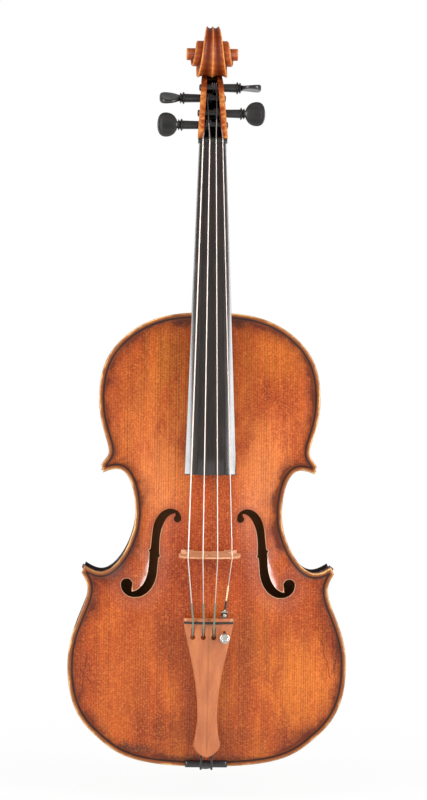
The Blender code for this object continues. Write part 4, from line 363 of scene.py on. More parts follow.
@dataclass(frozen=True)
class Crack:
    """A fine wandering mark in the varnish, from its lower to its upper end in bench millimetres."""

    low_x: float
    low_y: float
    high_x: float
    high_y: float

    def lay_on(self, paint: Palette, colour: Paint) -> Socket:
        """Lay the mark over a colour.

        Args:
            paint: the material's palette.
            colour: the plate's colour so far.

        Returns:
            The colour with the mark on it.
        """
        low, high = world((self.low_x, self.low_y, 0.0)), world((self.high_x, self.high_y, 0.0))
        axes = paint.axes()
        along = paint.span(axes["Z"], low.z, high.z, 0.0, 1.0)
        line = paint.span(along, 0.0, 1.0, low.x, high.x)
        sway = paint.span(paint.noise(paint.place(0.0, 0.0, 1.0), 9.0, 5.0, 0.65), 0.2, 0.8, -3.0 * MM, 3.0 * MM)
        off = paint.math("SUBTRACT", paint.math("SUBTRACT", axes["X"], line), sway)
        thin = paint.span(paint.math("ABSOLUTE", off), 0.15 * MM, 0.55 * MM, 0.75, 0.0)
        ends = paint.ramp(along, (0.0, 0.0), (0.02, 1.0), (0.98, 1.0), (1.0, 0.0))
        return paint.lay(colour, "#3A140A", paint.math("MULTIPLY", thin, ends))


@dataclass(frozen=True)
class EdgeWearAndPaintedLight:
    """The edge of a plate: worn to pale wood with a painted highlight along its ridge, then the inlaid purfling, then
    dirt in the channel; on the back its tones are dark as painted shade.
    """

    purfling_from: float = 3.3
    purfling_to: float = 4.7
    span_mm: float = 24.0           # the ramps' range, from the rim inwards
    # The ridge's pale tone is worn wood with a painted highlight; the back passes darker tones as painted shade.
    edge_tones: tuple[str, str, str] = ("#EBC384", "#A86A34", "#7E4220")        # ridge, slope, next to the purfling

    def ramp(self, paint: Palette, distance: Socket, *stops: Stop) -> Socket:
        """A ramp whose stops are millimetres from the rim."""
        return paint.ramp(paint.math("DIVIDE", distance, self.span_mm), *[(mm / self.span_mm, v) for mm, v in stops])

    def lay_on(self, paint: Palette, colour: Paint) -> Socket:
        """Lay the edge's colours over the plate's own by the distance from the rim.

        Args:
            paint: the material's palette.
            colour: the plate's own colour.

        Returns:
            The colour with the edge on it.
        """
        distance = paint.fact("edge_mm")
        uneven = paint.span(paint.noise(paint.place(), 11.0, 5.0, 0.7), 0.3, 0.7, -0.55, 0.75)
        worn = paint.math("ADD", distance, uneven)
        rim, slope, inside = self.edge_tones
        # The pale ridge tone near 0.7 mm from the rim is worn wood with a painted highlight.
        tone = self.ramp(paint, worn, (0.0, slope), (0.7, rim), (1.5, slope), (2.5, inside), (4.2, "#4A1E0E"))
        handled = paint.span(paint.noise(paint.place(), 26.0, 5.0, 0.65), 0.42, 0.60, 0.75, 0.0)
        tone = paint.lay(tone, inside, handled)
        patchy = paint.span(paint.noise(paint.place(), 30.0, 5.0, 0.7), 0.35, 0.65, 5.0, -4.0)
        soil = self.ramp(paint, paint.math("ADD", worn, patchy), (0.0, 0.95), (6.2, 0.85), (8.2, 0.48), (14.0, 0.12),
                         (19.0, 0.0))
        colour = paint.lay(colour, "#4E1B0D", soil)
        colour = paint.lay(colour, tone, self.ramp(paint, worn, (0.0, 1.0), (3.0, 0.95), (4.6, 0.75), (7.0, 0.0)))
        start, end = self.purfling_from, self.purfling_to
        ply = (end - start) / 3
        lines = self.ramp(paint, distance, (start - 0.2, 0.0), (start, 0.95), (start + ply, 0.75), (end - ply, 0.95),
                          (end, 0.95), (end + 0.4, 0.0))
        return paint.lay(colour, "#241008", lines)

    @staticmethod
    def under(paint: Palette) -> Socket:
        """The inside's bare wood, and painted shade on the lip that overhangs the ribs."""
        return paint.lay("#A67044", "#1C0E08", paint.span(paint.fact("edge_mm"), 4.2, 5.4, 1.0, 0.0))


@dataclass(frozen=True)
class VarnishedSpruce(Finish):
    """Quarter-sawn spruce under an old orange oil varnish, which has worn to bare wood along the edge."""

    year_ring_mm: float = 2.1       # real rings are 1.1 mm apart; drawn twice as wide so that they show
    ray_mm: float = 1.5             # real rays are 0.1 mm high; drawn as the stipple that they give from afar
    cracks: tuple[Crack, ...] = ()
    clouds: tuple[Cloud, ...] = ()

    def sockets(self, paint: Palette) -> dict[str, object]:
        """Rings up the length, silky rays across, golden and reddish clouds, some of them painted sheen, then the
        edge's purfling, worn wood and painted highlights.

        Args:
            paint: the material's palette.

        Returns:
            The shader's sockets with what goes into them.
        """
        rings = paint.bands(paint.place(1.0, 0.0, 0.012), self.year_ring_mm, Axis.ACROSS, 5.0, 3.0, 0.8)
        streaks = paint.noise(paint.place(1.0, 0.0, 0.03), 7.0, 4.0)
        rays = paint.noise(paint.place(0.8, 1.0, 1.2), self.ray_mm, 4.0, 0.7)
        age = paint.noise(paint.place(1.15, 1.0, 0.5), 48.0, 4.0, 0.58)
        colour = paint.ramp(age, (0.34, "#913710"), (0.44, "#A84516"), (0.54, "#B85119"), (0.64, "#CB6622"))
        from_bridge = paint.math("MULTIPLY", paint.distance(world((0.0, 215.0, 0.0))), 5.0)
        colour = paint.lay(colour, "#B0401A", paint.ramp(from_bridge, (0.15, 0.50), (0.45, 0.25), (0.75, 0.0)))
        for cloud in self.clouds:
            colour = cloud.lay_on(paint, colour)
        for pattern, stops, share in (
                (rings, ((0.0, 1.0), (0.5, 0.92), (1.0, 0.52)), paint.span(streaks, 0.35, 0.65, 0.9, 0.4)),
                (streaks, ((0.34, 0.76), (0.60, 1.0)), 0.60), (rays, ((0.36, 0.60), (0.54, 1.0)), 0.7)):
            colour = paint.lay(colour, paint.ramp(pattern, *stops), share, Mix.SHADE)
        colour = paint.lay(colour, "#F09A50", paint.ramp(rays, (0.50, 0.0), (0.70, 0.34)))
        for crack in self.cracks:
            colour = crack.lay_on(paint, colour)
        colour = self.hole_rim(paint, EdgeWearAndPaintedLight().lay_on(paint, colour))
        lower_wing = paint.math("MULTIPLY_ADD", paint.span(paint.fact("hole_mm"), 6.0, 16.0, 1.0, 0.0),
                                paint.below(192.0, 200.0), 0.08)
        return {"Base Color": paint.lay(colour, EdgeWearAndPaintedLight.under(paint), paint.fact("inner")),
                "Roughness": paint.span(age, 0.3, 0.7, 0.28, 0.42), "Specular IOR Level": 0.3,
                "Coat Weight": lower_wing, "Coat Roughness": 0.19,
                "Normal": paint.bump(paint.math("ADD", rings, rays), 0.05, 0.5)}

    @staticmethod
    def hole_rim(paint: Palette, colour: Paint) -> Socket:
        """The f-holes' cut edge, with a pale painted highlight below their tongues, and dirt just beside it.

        Args:
            paint: the material's palette.
            colour: the belly's colour so far.

        Returns:
            The colour with the rims on it.
        """
        near = paint.math("DIVIDE", paint.fact("hole_mm"), 6.0)
        colour = paint.lay(colour, "#7A2E14", paint.ramp(near, (0.10, 0.45), (0.9, 0.0)))
        # The pale line along the cut edge below the tongues is a painted highlight.
        rim = paint.ramp(near, (0.0, 0.9), (0.05, 0.5), (0.10, 0.0))
        return paint.lay(colour, "#D8A880", paint.math("MULTIPLY", rim, paint.below(213.0, 219.0)))


@dataclass(frozen=True)
class FlamedMaple(Finish):
    """Maple with a curly figure under orange varnish, as backs, ribs and scrolls are made."""

    dark: str = "#93400F"
    mid: str = "#BE6324"
    light: str = "#DD9347"
    flame_mm: float = 7.5
    lean: float = 12.0              # how far the flames slope away from square, in degrees
    joined: bool = False            # a back joined from two halves has its flames mirrored
    edged: bool = False             # whether the plate's edge and purfling are drawn
    round_body: bool = False        # on the ribs the flames follow the run round the body
    contrast: float = 1.0           # how strongly the flames stand out
    coat: float = 0.15
    shine: float = 0.3

    def figure(self, paint: Palette) -> Socket:
        """The strength of the flames, which lean, swell and thin out.

        Args:
            paint: the material's palette.

        Returns:
            The output that is high on a flame.
        """
        axes = paint.axes()
        across = paint.math("ABSOLUTE", axes["X"]) if self.joined or self.round_body else axes["X"]
        slope = 0.9 if self.round_body else sin(radians(self.lean))
        along = paint.math("ADD", axes["Z"], paint.math("MULTIPLY", across, slope))
        run = add_node(paint.tree, "CombineXYZ", {"X": across, "Y": axes["Y"], "Z": along}).outputs[0]
        flat = paint.stretch(run, (0.22, 0.22, 1.0))
        flames = paint.bands(flat, self.flame_mm, Axis.ALONG, 5.5, 2.5, 1.4)
        flames = paint.math("MULTIPLY", flames, paint.noise(flat, 16.0))
        plain = paint.math("MULTIPLY", paint.noise(flat, 24.0, 3.0), 0.55)
        return add_node(paint.tree, "Mix", {0: self.contrast, 2: plain, 3: flames}, data_type="FLOAT").outputs[0]

    def sockets(self, paint: Palette) -> dict[str, object]:
        """Broad uneven flames across the grain, fine flecks along it, worn edges, dirt in the hollows and painted
        shade towards the pegbox's throat.

        Args:
            paint: the material's palette.

        Returns:
            The shader's sockets with what goes into them.
        """
        flecks = paint.noise(paint.place(1.0, 1.0, 0.12), 1.1, 3.0)
        age = paint.noise(paint.metres(), 45.0, 3.0)
        colour = paint.ramp(self.figure(paint), (0.06, self.dark), (0.28, self.mid), (0.55, self.light))
        colour = paint.lay(colour, paint.ramp(flecks, (0.35, 0.78), (0.6, 1.0)), 0.6, Mix.SHADE)
        colour = paint.lay(colour, paint.ramp(age, (0.3, "#A85A38"), (0.6, "#FFFFFF")), 0.5, Mix.SHADE)
        if self.edged:
            # The back's edge tones are near black as painted shade.
            colour = EdgeWearAndPaintedLight(edge_tones=("#54301A", "#3A2010", "#46260F")).lay_on(paint, colour)
        else:
            wear = paint.fact("wear")
            # Below nothing it darkens: dirt in the hollows, and painted shade towards the pegbox's throat.
            colour = paint.lay(colour, "#541C0C", paint.span(wear, -1.0, 0.0, 0.9, 0.0))
            edge_tones = paint.math("MULTIPLY", wear, paint.noise(paint.metres(), 3.0, 4.0))
            colour = paint.lay(colour, "#DE9450", paint.span(edge_tones, 0.18, 0.50, 0.0, 0.9))
        hidden = EdgeWearAndPaintedLight.under(paint) if self.edged else "#0A0706"
        return {"Base Color": paint.lay(colour, hidden, paint.fact("inner")), "Roughness": 0.40,
                "Specular IOR Level": self.shine, "Coat Weight": self.coat, "Coat Roughness": 0.18,
                "Normal": paint.bump(flecks, 0.03, 0.4)}


@dataclass(frozen=True)
class BareTimber(Finish):
    """Wood left unvarnished: scraped maple or spruce with its pores and growth lines."""

    dark: str = "#A97C49"
    light: str = "#D9B27C"
    line_mm: float = 2.0
    along: Axis = Axis.ALONG

    def sockets(self, paint: Palette) -> dict[str, object]:
        """Streaks along the grain and short darker flecks.

        Args:
            paint: the material's palette.

        Returns:
            The shader's sockets with what goes into them.
        """
        at = paint.place(*((1.0, 1.0, 0.06) if self.along is Axis.ALONG else (0.06, 1.0, 1.0)))
        streaks = paint.noise(at, self.line_mm, 4.0, 0.6)
        flecks = add_node(paint.tree, "TexVoronoi", {"Vector": at, "Scale": grain_scale(1.0)}).outputs["Distance"]
        colour = paint.lay(paint.ramp(streaks, (0.3, self.dark), (0.65, self.light)),
                           paint.ramp(flecks, (0.08, 0.68), (0.3, 1.0)), 0.5, Mix.SHADE)
        return {"Base Color": colour, "Roughness": 0.55, "Normal": paint.bump(streaks, 0.06, 0.5)}


@dataclass(frozen=True)
class Ebony(Finish):
    """Ebony scraped and oiled: nearly black, with fine long pores and a soft polish."""

    dark: str = "#1B1818"
    light: str = "#3A3433"
    pore_mm: float = 0.7
    polish: float = 0.30
    along: Axis = Axis.ALONG
    wax: float = 0.35               # how much of it shines like a coat
    lustre: float = 0.5

    def sockets(self, paint: Palette) -> dict[str, object]:
        """Grey-brown streaks, open pores, and finger marks in the polish.

        Args:
            paint: the material's palette.

        Returns:
            The shader's sockets with what goes into them.
        """
        at = paint.place(*((1.0, 1.0, 0.03) if self.along is Axis.ALONG else (0.05, 1.0, 1.0)))
        streaks = paint.noise(at, 2.6, 5.0, 0.6)
        marks = paint.noise(paint.place(), 14.0, 4.0)
        return {"Base Color": paint.ramp(streaks, (0.34, self.dark), (0.68, self.light)),
                "Roughness": paint.span(marks, 0.3, 0.7, self.polish - 0.06, self.polish + 0.10),
                "Specular IOR Level": self.lustre, "Coat Weight": self.wax, "Coat Roughness": 0.2,
                "Normal": paint.bump(paint.noise(at, self.pore_mm), 0.03, 0.35)}


@dataclass(frozen=True)
class Boxwood(Finish):
    """Boxwood stained pinkish brown and waxed: close even grain with a faint fleck."""

    dark: str = "#A85C34"
    light: str = "#C0703F"

    def sockets(self, paint: Palette) -> dict[str, object]:
        """Soft streaks up the length and a slightly darker middle where the ridge is handled.

        Args:
            paint: the material's palette.

        Returns:
            The shader's sockets with what goes into them.
        """
        streaks = paint.noise(paint.place(1.0, 1.0, 0.12), 6.0, 4.0)
        flecks = paint.noise(paint.place(1.0, 1.0, 0.25), 0.9)
        colour = paint.lay(paint.ramp(streaks, (0.32, self.dark), (0.66, self.light)),
                           paint.ramp(flecks, (0.36, 0.85), (0.58, 1.0)), 0.7, Mix.SHADE)
        return {"Base Color": paint.lay(colour, "#7C4A26", paint.fact("wear")), "Roughness": 0.42,
                "Coat Weight": 0.2, "Coat Roughness": 0.3, "Normal": paint.bump(flecks, 0.03, 0.3)}


@dataclass(frozen=True)
class PlatedBrass(Finish):
    """Turned brass under bright nickel: clear reflections, dulled by fine handling scratches."""

    tint: str = "#D8D5CE"
    polish: float = 0.20

    def sockets(self, paint: Palette) -> dict[str, object]:
        """Cloudy tarnish in the tint and roughness, with hairline scratches.

        Args:
            paint: the material's palette.

        Returns:
            The shader's sockets with what goes into them.
        """
        haze = paint.noise(paint.place(), 2.5, 4.0)
        scratches = paint.noise(paint.place(1.0, 6.0, 1.0), 0.5)
        return {"Base Color": paint.ramp(haze, (0.3, "#A39D93"), (0.6, self.tint)), "Metallic": 1.0,
                "Roughness": paint.span(haze, 0.3, 0.7, self.polish + 0.14, self.polish),
                "Normal": paint.bump(scratches, 0.01, 0.3)}


@dataclass(frozen=True)
class WoundString(Finish):
    """Flat aluminium or silver ribbon wound on a core: bright, with a shimmer of turns."""

    tint: str = "#DCD0C9"
    ribbon_mm: float = 0.9          # real ribbon is 0.25 mm wide; drawn coarser so that it shows

    def sockets(self, paint: Palette) -> dict[str, object]:
        """Fine rings round the string with a little tarnish between them.

        Args:
            paint: the material's palette.

        Returns:
            The shader's sockets with what goes into them.
        """
        turns = paint.bands(paint.place(), self.ribbon_mm, Axis.ALONG)
        return {"Base Color": paint.ramp(turns, (0.0, "#D0BFB0"), (0.5, self.tint)), "Metallic": 1.0,
                "Roughness": 0.42, "Normal": paint.bump(turns, 0.01, 0.12)}


@dataclass(frozen=True)
class Thread(Finish):
    """Silk or cord wound or laid in fine threads: matt, with a thread-wide ripple."""

    dark: str = "#4D5648"
    light: str = "#7C8773"
    thread_mm: float = 0.8

    def sockets(self, paint: Palette) -> dict[str, object]:
        """Turns of thread across the length, lighter on their backs.

        Args:
            paint: the material's palette.

        Returns:
            The shader's sockets with what goes into them.
        """
        turns = paint.bands(paint.place(), self.thread_mm, Axis.ALONG, 0.6)
        return {"Base Color": paint.ramp(turns, (0.1, self.dark), (0.7, self.light)), "Roughness": 0.7,
                "Sheen Weight": 0.3, "Normal": paint.bump(turns, 0.08, 0.6)}


class Finishes:
    """Every finish of the instrument, under the part that wears it."""

    # Glowing orange with fine brown lines, paler where hands and weather wore it, dirt in the corners; pale clouds
    # beside the board's end are painted sheen, and the edge's ridge and the f-holes' rims carry painted highlights
    BELLY = VarnishedSpruce("spruce belly, orange oil varnish", "varnished_spruce", cracks=(
        Crack(112.0, 80.0, 103.0, 116.0), Crack(113.0, 84.0, 118.0, 104.0), Crack(-113.0, 68.0, -108.0, 104.0),
        Crack(-104.0, 74.0, -114.0, 88.0), Crack(116.5, 78.0, 112.0, 128.0)), clouds=(
        # The golden clouds on the lower right and upper left bouts are partly varnish tone, partly painted sheen.
        Cloud(84.0, 76.0, 44.0, 62.0, "#DC7626", 0.75), Cloud(-76.0, 62.0, 30.0, 50.0, "#BE5C1C", 0.5),
        # The pale clouds at 264 up the length, beside the board's end, are painted sheen.
        Cloud(44.0, 112.0, 30.0, 44.0, "#CC6A20", 0.5), Cloud(-42.0, 264.0, 36.0, 74.0, "#EE843C", 0.75),
        Cloud(50.0, 264.0, 34.0, 74.0, "#EE843C", 0.75), Cloud(0.0, 205.0, 50.0, 70.0, "#842C0C", 0.55),
        Cloud(-36.0, 118.0, 26.0, 46.0, "#8A320D", 0.45), Cloud(34.0, 110.0, 20.0, 40.0, "#963A10", 0.3),
        Cloud(-42.0, 368.0, 26.0, 44.0, "#C46C22", 0.6), Cloud(60.0, 372.0, 40.0, 40.0, "#C66A20", 0.5),
        Cloud(-70.0, 345.0, 26.0, 56.0, "#8E4218", 0.4), Cloud(-30.0, 30.0, 34.0, 26.0, "#84330F", 0.6),
        Cloud(34.0, 26.0, 40.0, 18.0, "#8C3A12", 0.5), Cloud(90.0, 22.0, 30.0, 22.0, "#8C3A12", 0.4),
        Cloud(-76.0, 110.0, 30.0, 34.0, "#BE5A1C", 0.4), Cloud(-90.0, 263.0, 13.0, 12.0, "#43261A", 0.8),
        Cloud(90.0, 263.0, 13.0, 12.0, "#43261A", 0.8), Cloud(-104.0, 179.0, 15.0, 12.0, "#43261A", 0.7),
        Cloud(104.0, 179.0, 15.0, 12.0, "#43261A", 0.7), Cloud(-70.0, 15.0, 30.0, 9.0, "#43261A", 0.8),
        Cloud(-24.0, 6.0, 34.0, 6.5, "#36211A", 0.8), Cloud(34.0, 5.5, 34.0, 6.0, "#43261A", 0.6),
        Cloud(-24.0, 401.0, 12.0, 7.0, "#36211A", 0.8), Cloud(24.0, 401.0, 12.0, 7.0, "#36211A", 0.8)))
    # Light flames that lean away from the middle joint, inside a rim darkened as painted shade
    BACK = FlamedMaple("maple back, orange oil varnish", "varnished_maple", joined=True, edged=True)
    # Browner and darker than the plates: partly a darker varnish, partly painted shade, so that the sides stand back
    RIBS = FlamedMaple("maple ribs, orange oil varnish, darkened as painted shade", "varnished_maple", "#3E1C0C", "#6A3216", "#8E4C22",
                       flame_mm=6.0, round_body=True)
    # Reddish brown and nearly matt, rubbed golden on each ridge
    SCROLL = FlamedMaple("maple scroll, orange oil varnish", "varnished_maple", "#8C3614", "#A8501F", "#C4722F",
                         flame_mm=5.0, lean=4.0, contrast=0.3, coat=0.04, shine=0.15)
    # Pale straw colour where the player's hand keeps varnish off
    HANDLE = FlamedMaple("maple neck, oiled by hand", "varnished_maple", "#A9703C", "#C48A50", "#DDAF77", 6.0)
    # Dull tan, seen only through the f-holes
    INSIDE = BareTimber("willow and spruce, left bare", "bare_spruce", "#9C7748", "#C9A46C")
    # Pinkish tan with short dark flecks, quite matt
    BRIDGE = BareTimber("maple bridge, scraped", "bare_maple", "#A9683F", "#DDA278", 1.6, Axis.ACROSS)
    # Nearly black in front, with a bright streak of lamp light down both long edges
    BOARD = Ebony("ebony board, oiled", "ebony", "#100B0A", "#281D19", 0.7, 0.16, wax=1.0, lustre=0.3)
    # Black with a soft, broad shine that shows how round a piece is
    FITTING = Ebony("ebony fittings, turned and waxed", "ebony", "#0C0B0B", "#211D1C", 0.6, 0.36, Axis.ACROSS)
    # Smooth pinkish brown with a faint darker line down the ridge
    TAIL = Boxwood("boxwood tailpiece, waxed", "boxwood")
    # Small hard glints among grey
    NICKEL = PlatedBrass("brass, nickel plated", "nickel")
    # A thin whitish line with a warm shade
    STRING = WoundString("string, wound in silver", "wound_string")
    # Flat grey green between tailpiece and bridge
    SILK = Thread("silk whipping, grey green", "wound_string")
    # Dark wine brown, which all but vanishes in the pegbox
    PEG_SILK = Thread("silk whipping, wine brown", "wound_string", "#1E1211", "#3A2422", 0.9)
    # Gold and white by turns
    GOLD_SILK = Thread("silk whipping, gold and white", "wound_string", "#C79A52", "#F5E6C4", 1.7)
    # A short black stretch in the gold one
    SLEEVE = Thread("plastic sleeve, black", "wound_string", "#151515", "#222222", 0.8)
    # Matt black cord
    CORD = Thread("nylon tail cord, black", "tail_cord", "#141313", "#282626", 1.0)


# Meshes

class Shape:
    """A mesh being built in bench millimetres, with a value at each point for worn wood, dirt and painted shade."""

    def __init__(self) -> None:
        """Start with no points."""
        self.points: list[Bench] = []
        self.faces: list[tuple[int, ...]] = []
        self.wear: dict[int, float] = {}
        self.inner: set[int] = set()

    def add(self, point: Bench, wear: float = 0.0) -> int:
        """Add a point and return its number.

        Args:
            point: the place.
            wear: worn above nothing, soiled below it, and towards the pegbox's throat also in painted shade.

        Returns:
            Its number.
        """
        self.points.append(point)
        if wear:
            self.wear[len(self.points) - 1] = wear
        return len(self.points) - 1

    def band(self, near: Sequence[int], far: Sequence[int]) -> None:
        """Join two closed rows of points."""
        self.faces += [(near[i - 1], near[i], far[i], far[i - 1]) for i in (*range(1, len(near)), 0)]

    def loft(self, rings: Sequence[Sequence[Bench]], wear: Sequence[float] | None = None) -> None:
        """Skin closed rings of equal count and close both ends.

        Args:
            rings: the sections in order.
            wear: a value of worn wood, dirt and painted shade for each place of a ring.
        """
        rows = [[self.add(p, wear[i] if wear else 0.0) for i, p in enumerate(ring)] for ring in rings]
        for low, high in zip(rows, rows[1:]):
            self.band(low, high)
        self.faces += [tuple(rows[0][::-1]), tuple(rows[-1])]

    def grid(self, rows: Sequence[Sequence[Bench]], wear: Sequence[float]) -> None:
        """Skin open rows of equal count.

        Args:
            rows: the rows in order.
            wear: a value of worn wood, dirt and painted shade for each place of a row.
        """
        made = [[self.add(p, wear[i]) for i, p in enumerate(row)] for row in rows]
        for low, high in zip(made, made[1:]):
            self.faces += [(low[i], low[i + 1], high[i + 1], high[i]) for i in range(len(low) - 1)]

    def mesh(self, name: str, facts: dict[str, np.ndarray] | None = None) -> bpy.types.Mesh:
        """The shape as a mesh in metres, with its values and its normals turned outwards.

        Args:
            name: the mesh's name.
            facts: further values for each point, by name.

        Returns:
            The new mesh.
        """
        mesh = bpy.data.meshes.new(name)
        mesh.from_pydata([world(p) for p in self.points], [], self.faces)
        wear = [self.wear.get(i, 0.0) for i in range(len(self.points))]
        for key, column in {**(facts or {}), "wear": wear}.items():
            layer = mesh.attributes.new(key, "FLOAT", "POINT")
            layer.data.foreach_set("value", np.asarray(column, dtype=np.float32))
        inner = mesh.attributes.new("inner", "FLOAT", "FACE")
        inner.data.foreach_set("value", [float(i in self.inner) for i in range(len(self.faces))])
        bm = bmesh.new()
        bm.from_mesh(mesh)
        bmesh.ops.remove_doubles(bm, verts=bm.verts, dist=0.002 * MM)
        bmesh.ops.recalc_face_normals(bm, faces=bm.faces)
        bm.to_mesh(mesh)
        bm.free()
        return mesh

    def piece(self, name: str, replaces: Sequence[str] = (), body: str = "viola", sharp: float = 35.0,
              bevel_mm: float = 0.0, facts: dict[str, np.ndarray] | None = None) -> bpy.types.Object:
        """Turn the shape into a piece that rides on a body.

        Args:
            name: the piece's name.
            replaces: the CAD nodes that it stands for.
            body: the CAD body that it moves with.
            sharp: edges sharper than this many degrees stay crisp.
            bevel_mm: width of a rounding on those edges.
            facts: further values for each point, by name.

        Returns:
            The new object.
        """
        mesh = self.mesh(name, facts)
        mesh.shade_smooth()
        mesh.set_sharp_from_angle(angle=radians(sharp))
        made = placed(name, mesh)
        if bevel_mm:
            step = made.modifiers.new("rounding", "BEVEL")
            step.width, step.segments = bevel_mm * MM, 2
            step.limit_method, step.angle_limit = "ANGLE", radians(sharp)
            step.harden_normals = False
        return carried(made, replaces, body)


def placed(name: str, data: bpy.types.ID) -> bpy.types.Object:
    """A new object in the scene.

    Args:
        name: the object's name.
        data: its mesh, curve, lamp or camera.

    Returns:
        The new object.
    """
    made = bpy.data.objects.new(name, data)
    bpy.context.scene.collection.objects.link(made)
    return made


def carried(made: bpy.types.Object, replaces: Sequence[str], body: str) -> bpy.types.Object:
    """Let a piece ride on a body in the place of CAD nodes.

    Args:
        made: the piece.
        replaces: the CAD nodes that it stands for.
        body: the CAD body that it moves with.

    Returns:
        The same piece.
    """
    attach(made, body)
    if replaces:
        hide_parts(*replaces)
    LOG.info("%s rides on %s", made.name, body)
    return made


def cut(made: bpy.types.Object, away: Shape) -> None:
    """Cut a shape out of a piece for good.

    Args:
        made: the piece.
        away: what is cut away.
    """
    guide = placed("guide", away.mesh("guide"))
    step = made.modifiers.new("cut", "BOOLEAN")
    step.operation, step.solver, step.object = "DIFFERENCE", "EXACT", guide
    bpy.context.view_layer.update()
    result = bpy.data.meshes.new_from_object(made.evaluated_get(bpy.context.evaluated_depsgraph_get()))
    made.modifiers.clear()
    made.data = result
    bpy.data.objects.remove(guide, do_unlink=True)


def cord(name: str, points: Sequence[Bench], radius: float, replaces: Sequence[str] = (),
         body: str = "viola") -> bpy.types.Object:
    """A round string along points.

    Args:
        name: the piece's name.
        points: the route in bench millimetres.
        radius: its radius in millimetres.
        replaces: the CAD nodes that it stands for.
        body: the CAD body that it moves with.

    Returns:
        The new curve object.
    """
    curve = bpy.data.curves.new(name, "CURVE")
    curve.dimensions = "3D"
    curve.bevel_depth = 1.0         # the points' radii are in metres, and so the box is measured right
    curve.bevel_resolution = 4
    curve.use_fill_caps = True
    spline = curve.splines.new("POLY")
    spline.points.add(len(points) - 1)
    for slot, point in zip(spline.points, points):
        slot.co = (*world(point), 1.0)
        slot.radius = radius * MM
    spline.use_smooth = True
    return carried(placed(name, curve), replaces, body)


@dataclass
class Assembly:
    """A sub-assembly of the instrument: build makes its pieces, and dress gives each its finish."""

    pieces: list[tuple[bpy.types.Object, Finish]] = field(default_factory=list, init=False)

    def keep(self, piece: bpy.types.Object, finish: Finish) -> bpy.types.Object:
        """Note a piece with its finish, and give the piece back."""
        self.pieces.append((piece, finish))
        return piece

    def build(self) -> None:
        """Make the pieces; each sub-assembly has its own."""
        raise NotImplementedError

    def dress(self) -> None:
        """Give every piece its finish; the CAD's own nodes lose their old materials first."""
        for piece, finish in self.pieces:
            if piece.name in frame["nodes"]:
                piece.data.materials.clear()
            piece.data.materials.append(finish.material())
            LOG.info("%s: %s", piece.name, finish.name)


def distances(points: np.ndarray, loop: Sequence[Plan]) -> np.ndarray:
    """Distance of each plan point to a closed loop.

    Args:
        points: the points, a row each.
        loop: the loop's corners.

    Returns:
        A distance for each point.
    """
    a = np.asarray(loop, dtype=float)
    d = np.roll(a, -1, axis=0) - a
    span = np.maximum((d ** 2).sum(1), 1e-12)
    best = np.full(len(points), 1e9)
    for start in range(0, len(points), 4000):
        p = points[start:start + 4000, None, :] - a[None]
        t = np.clip((p * d[None]).sum(2) / span[None], 0, 1)
        best[start:start + 4000] = np.sqrt(((p - t[..., None] * d[None]) ** 2).sum(2)).min(1)
    return best


def within(points: np.ndarray, loop: Sequence[Plan]) -> np.ndarray:
    """Whether each plan point lies within a closed loop.

    Args:
        points: the points, a row each.
        loop: the loop's corners.

    Returns:
        A truth value for each point.
    """
    a = np.asarray(loop, dtype=float)
    b = np.roll(a, -1, axis=0)
    rise = np.where(a[:, 1] == b[:, 1], 1e-12, b[:, 1] - a[:, 1])
    inside = np.zeros(len(points), dtype=bool)
    for start in range(0, len(points), 4000):
        x, y = points[start:start + 4000, :1], points[start:start + 4000, 1:]
        crosses = (a[None, :, 1] > y) != (b[None, :, 1] > y)
        side = x < a[None, :, 0] + (b - a)[None, :, 0] * (y - a[None, :, 1]) / rise[None]
        inside[start:start + 4000] = (crosses & side).sum(1) % 2 == 1
    return inside


def triangulate(loops: Sequence[Sequence[Plan]], holes: Sequence[Sequence[Plan]],
                points: np.ndarray) -> tuple[np.ndarray, list[tuple[int, ...]]]:
    """Triangles over the plan inside the first loop, along the others and outside the holes.

    Args:
        loops: the outer loop, and loops inside it that the triangles follow.
        holes: loops that stay open.
        points: further points, a row each.

    Returns:
        The plan points, a row each, and the triangles between them.
    """
    coords: list[Plan] = []
    edges: list[tuple[int, int]] = []
    for loop in (*loops, *holes):
        first = len(coords)
        coords += loop
        edges += [(first + i, first + (i + 1) % len(loop)) for i in range(len(loop))]
    coords += [tuple(p) for p in points]
    made = geometry.delaunay_2d_cdt([Vector(p) for p in coords], edges, [], 1, 1e-4)
    plan = np.array([(v.x, v.y) for v in made[0]])
    faces = [tuple(f) for f in made[2]]
    middles = np.array([plan[list(f)].mean(0) for f in faces])
    keep = within(middles, loops[0])
    for hole in holes:
        keep &= ~within(middles, hole)
    return plan, [f for f, k in zip(faces, keep) if k]


# The sound box

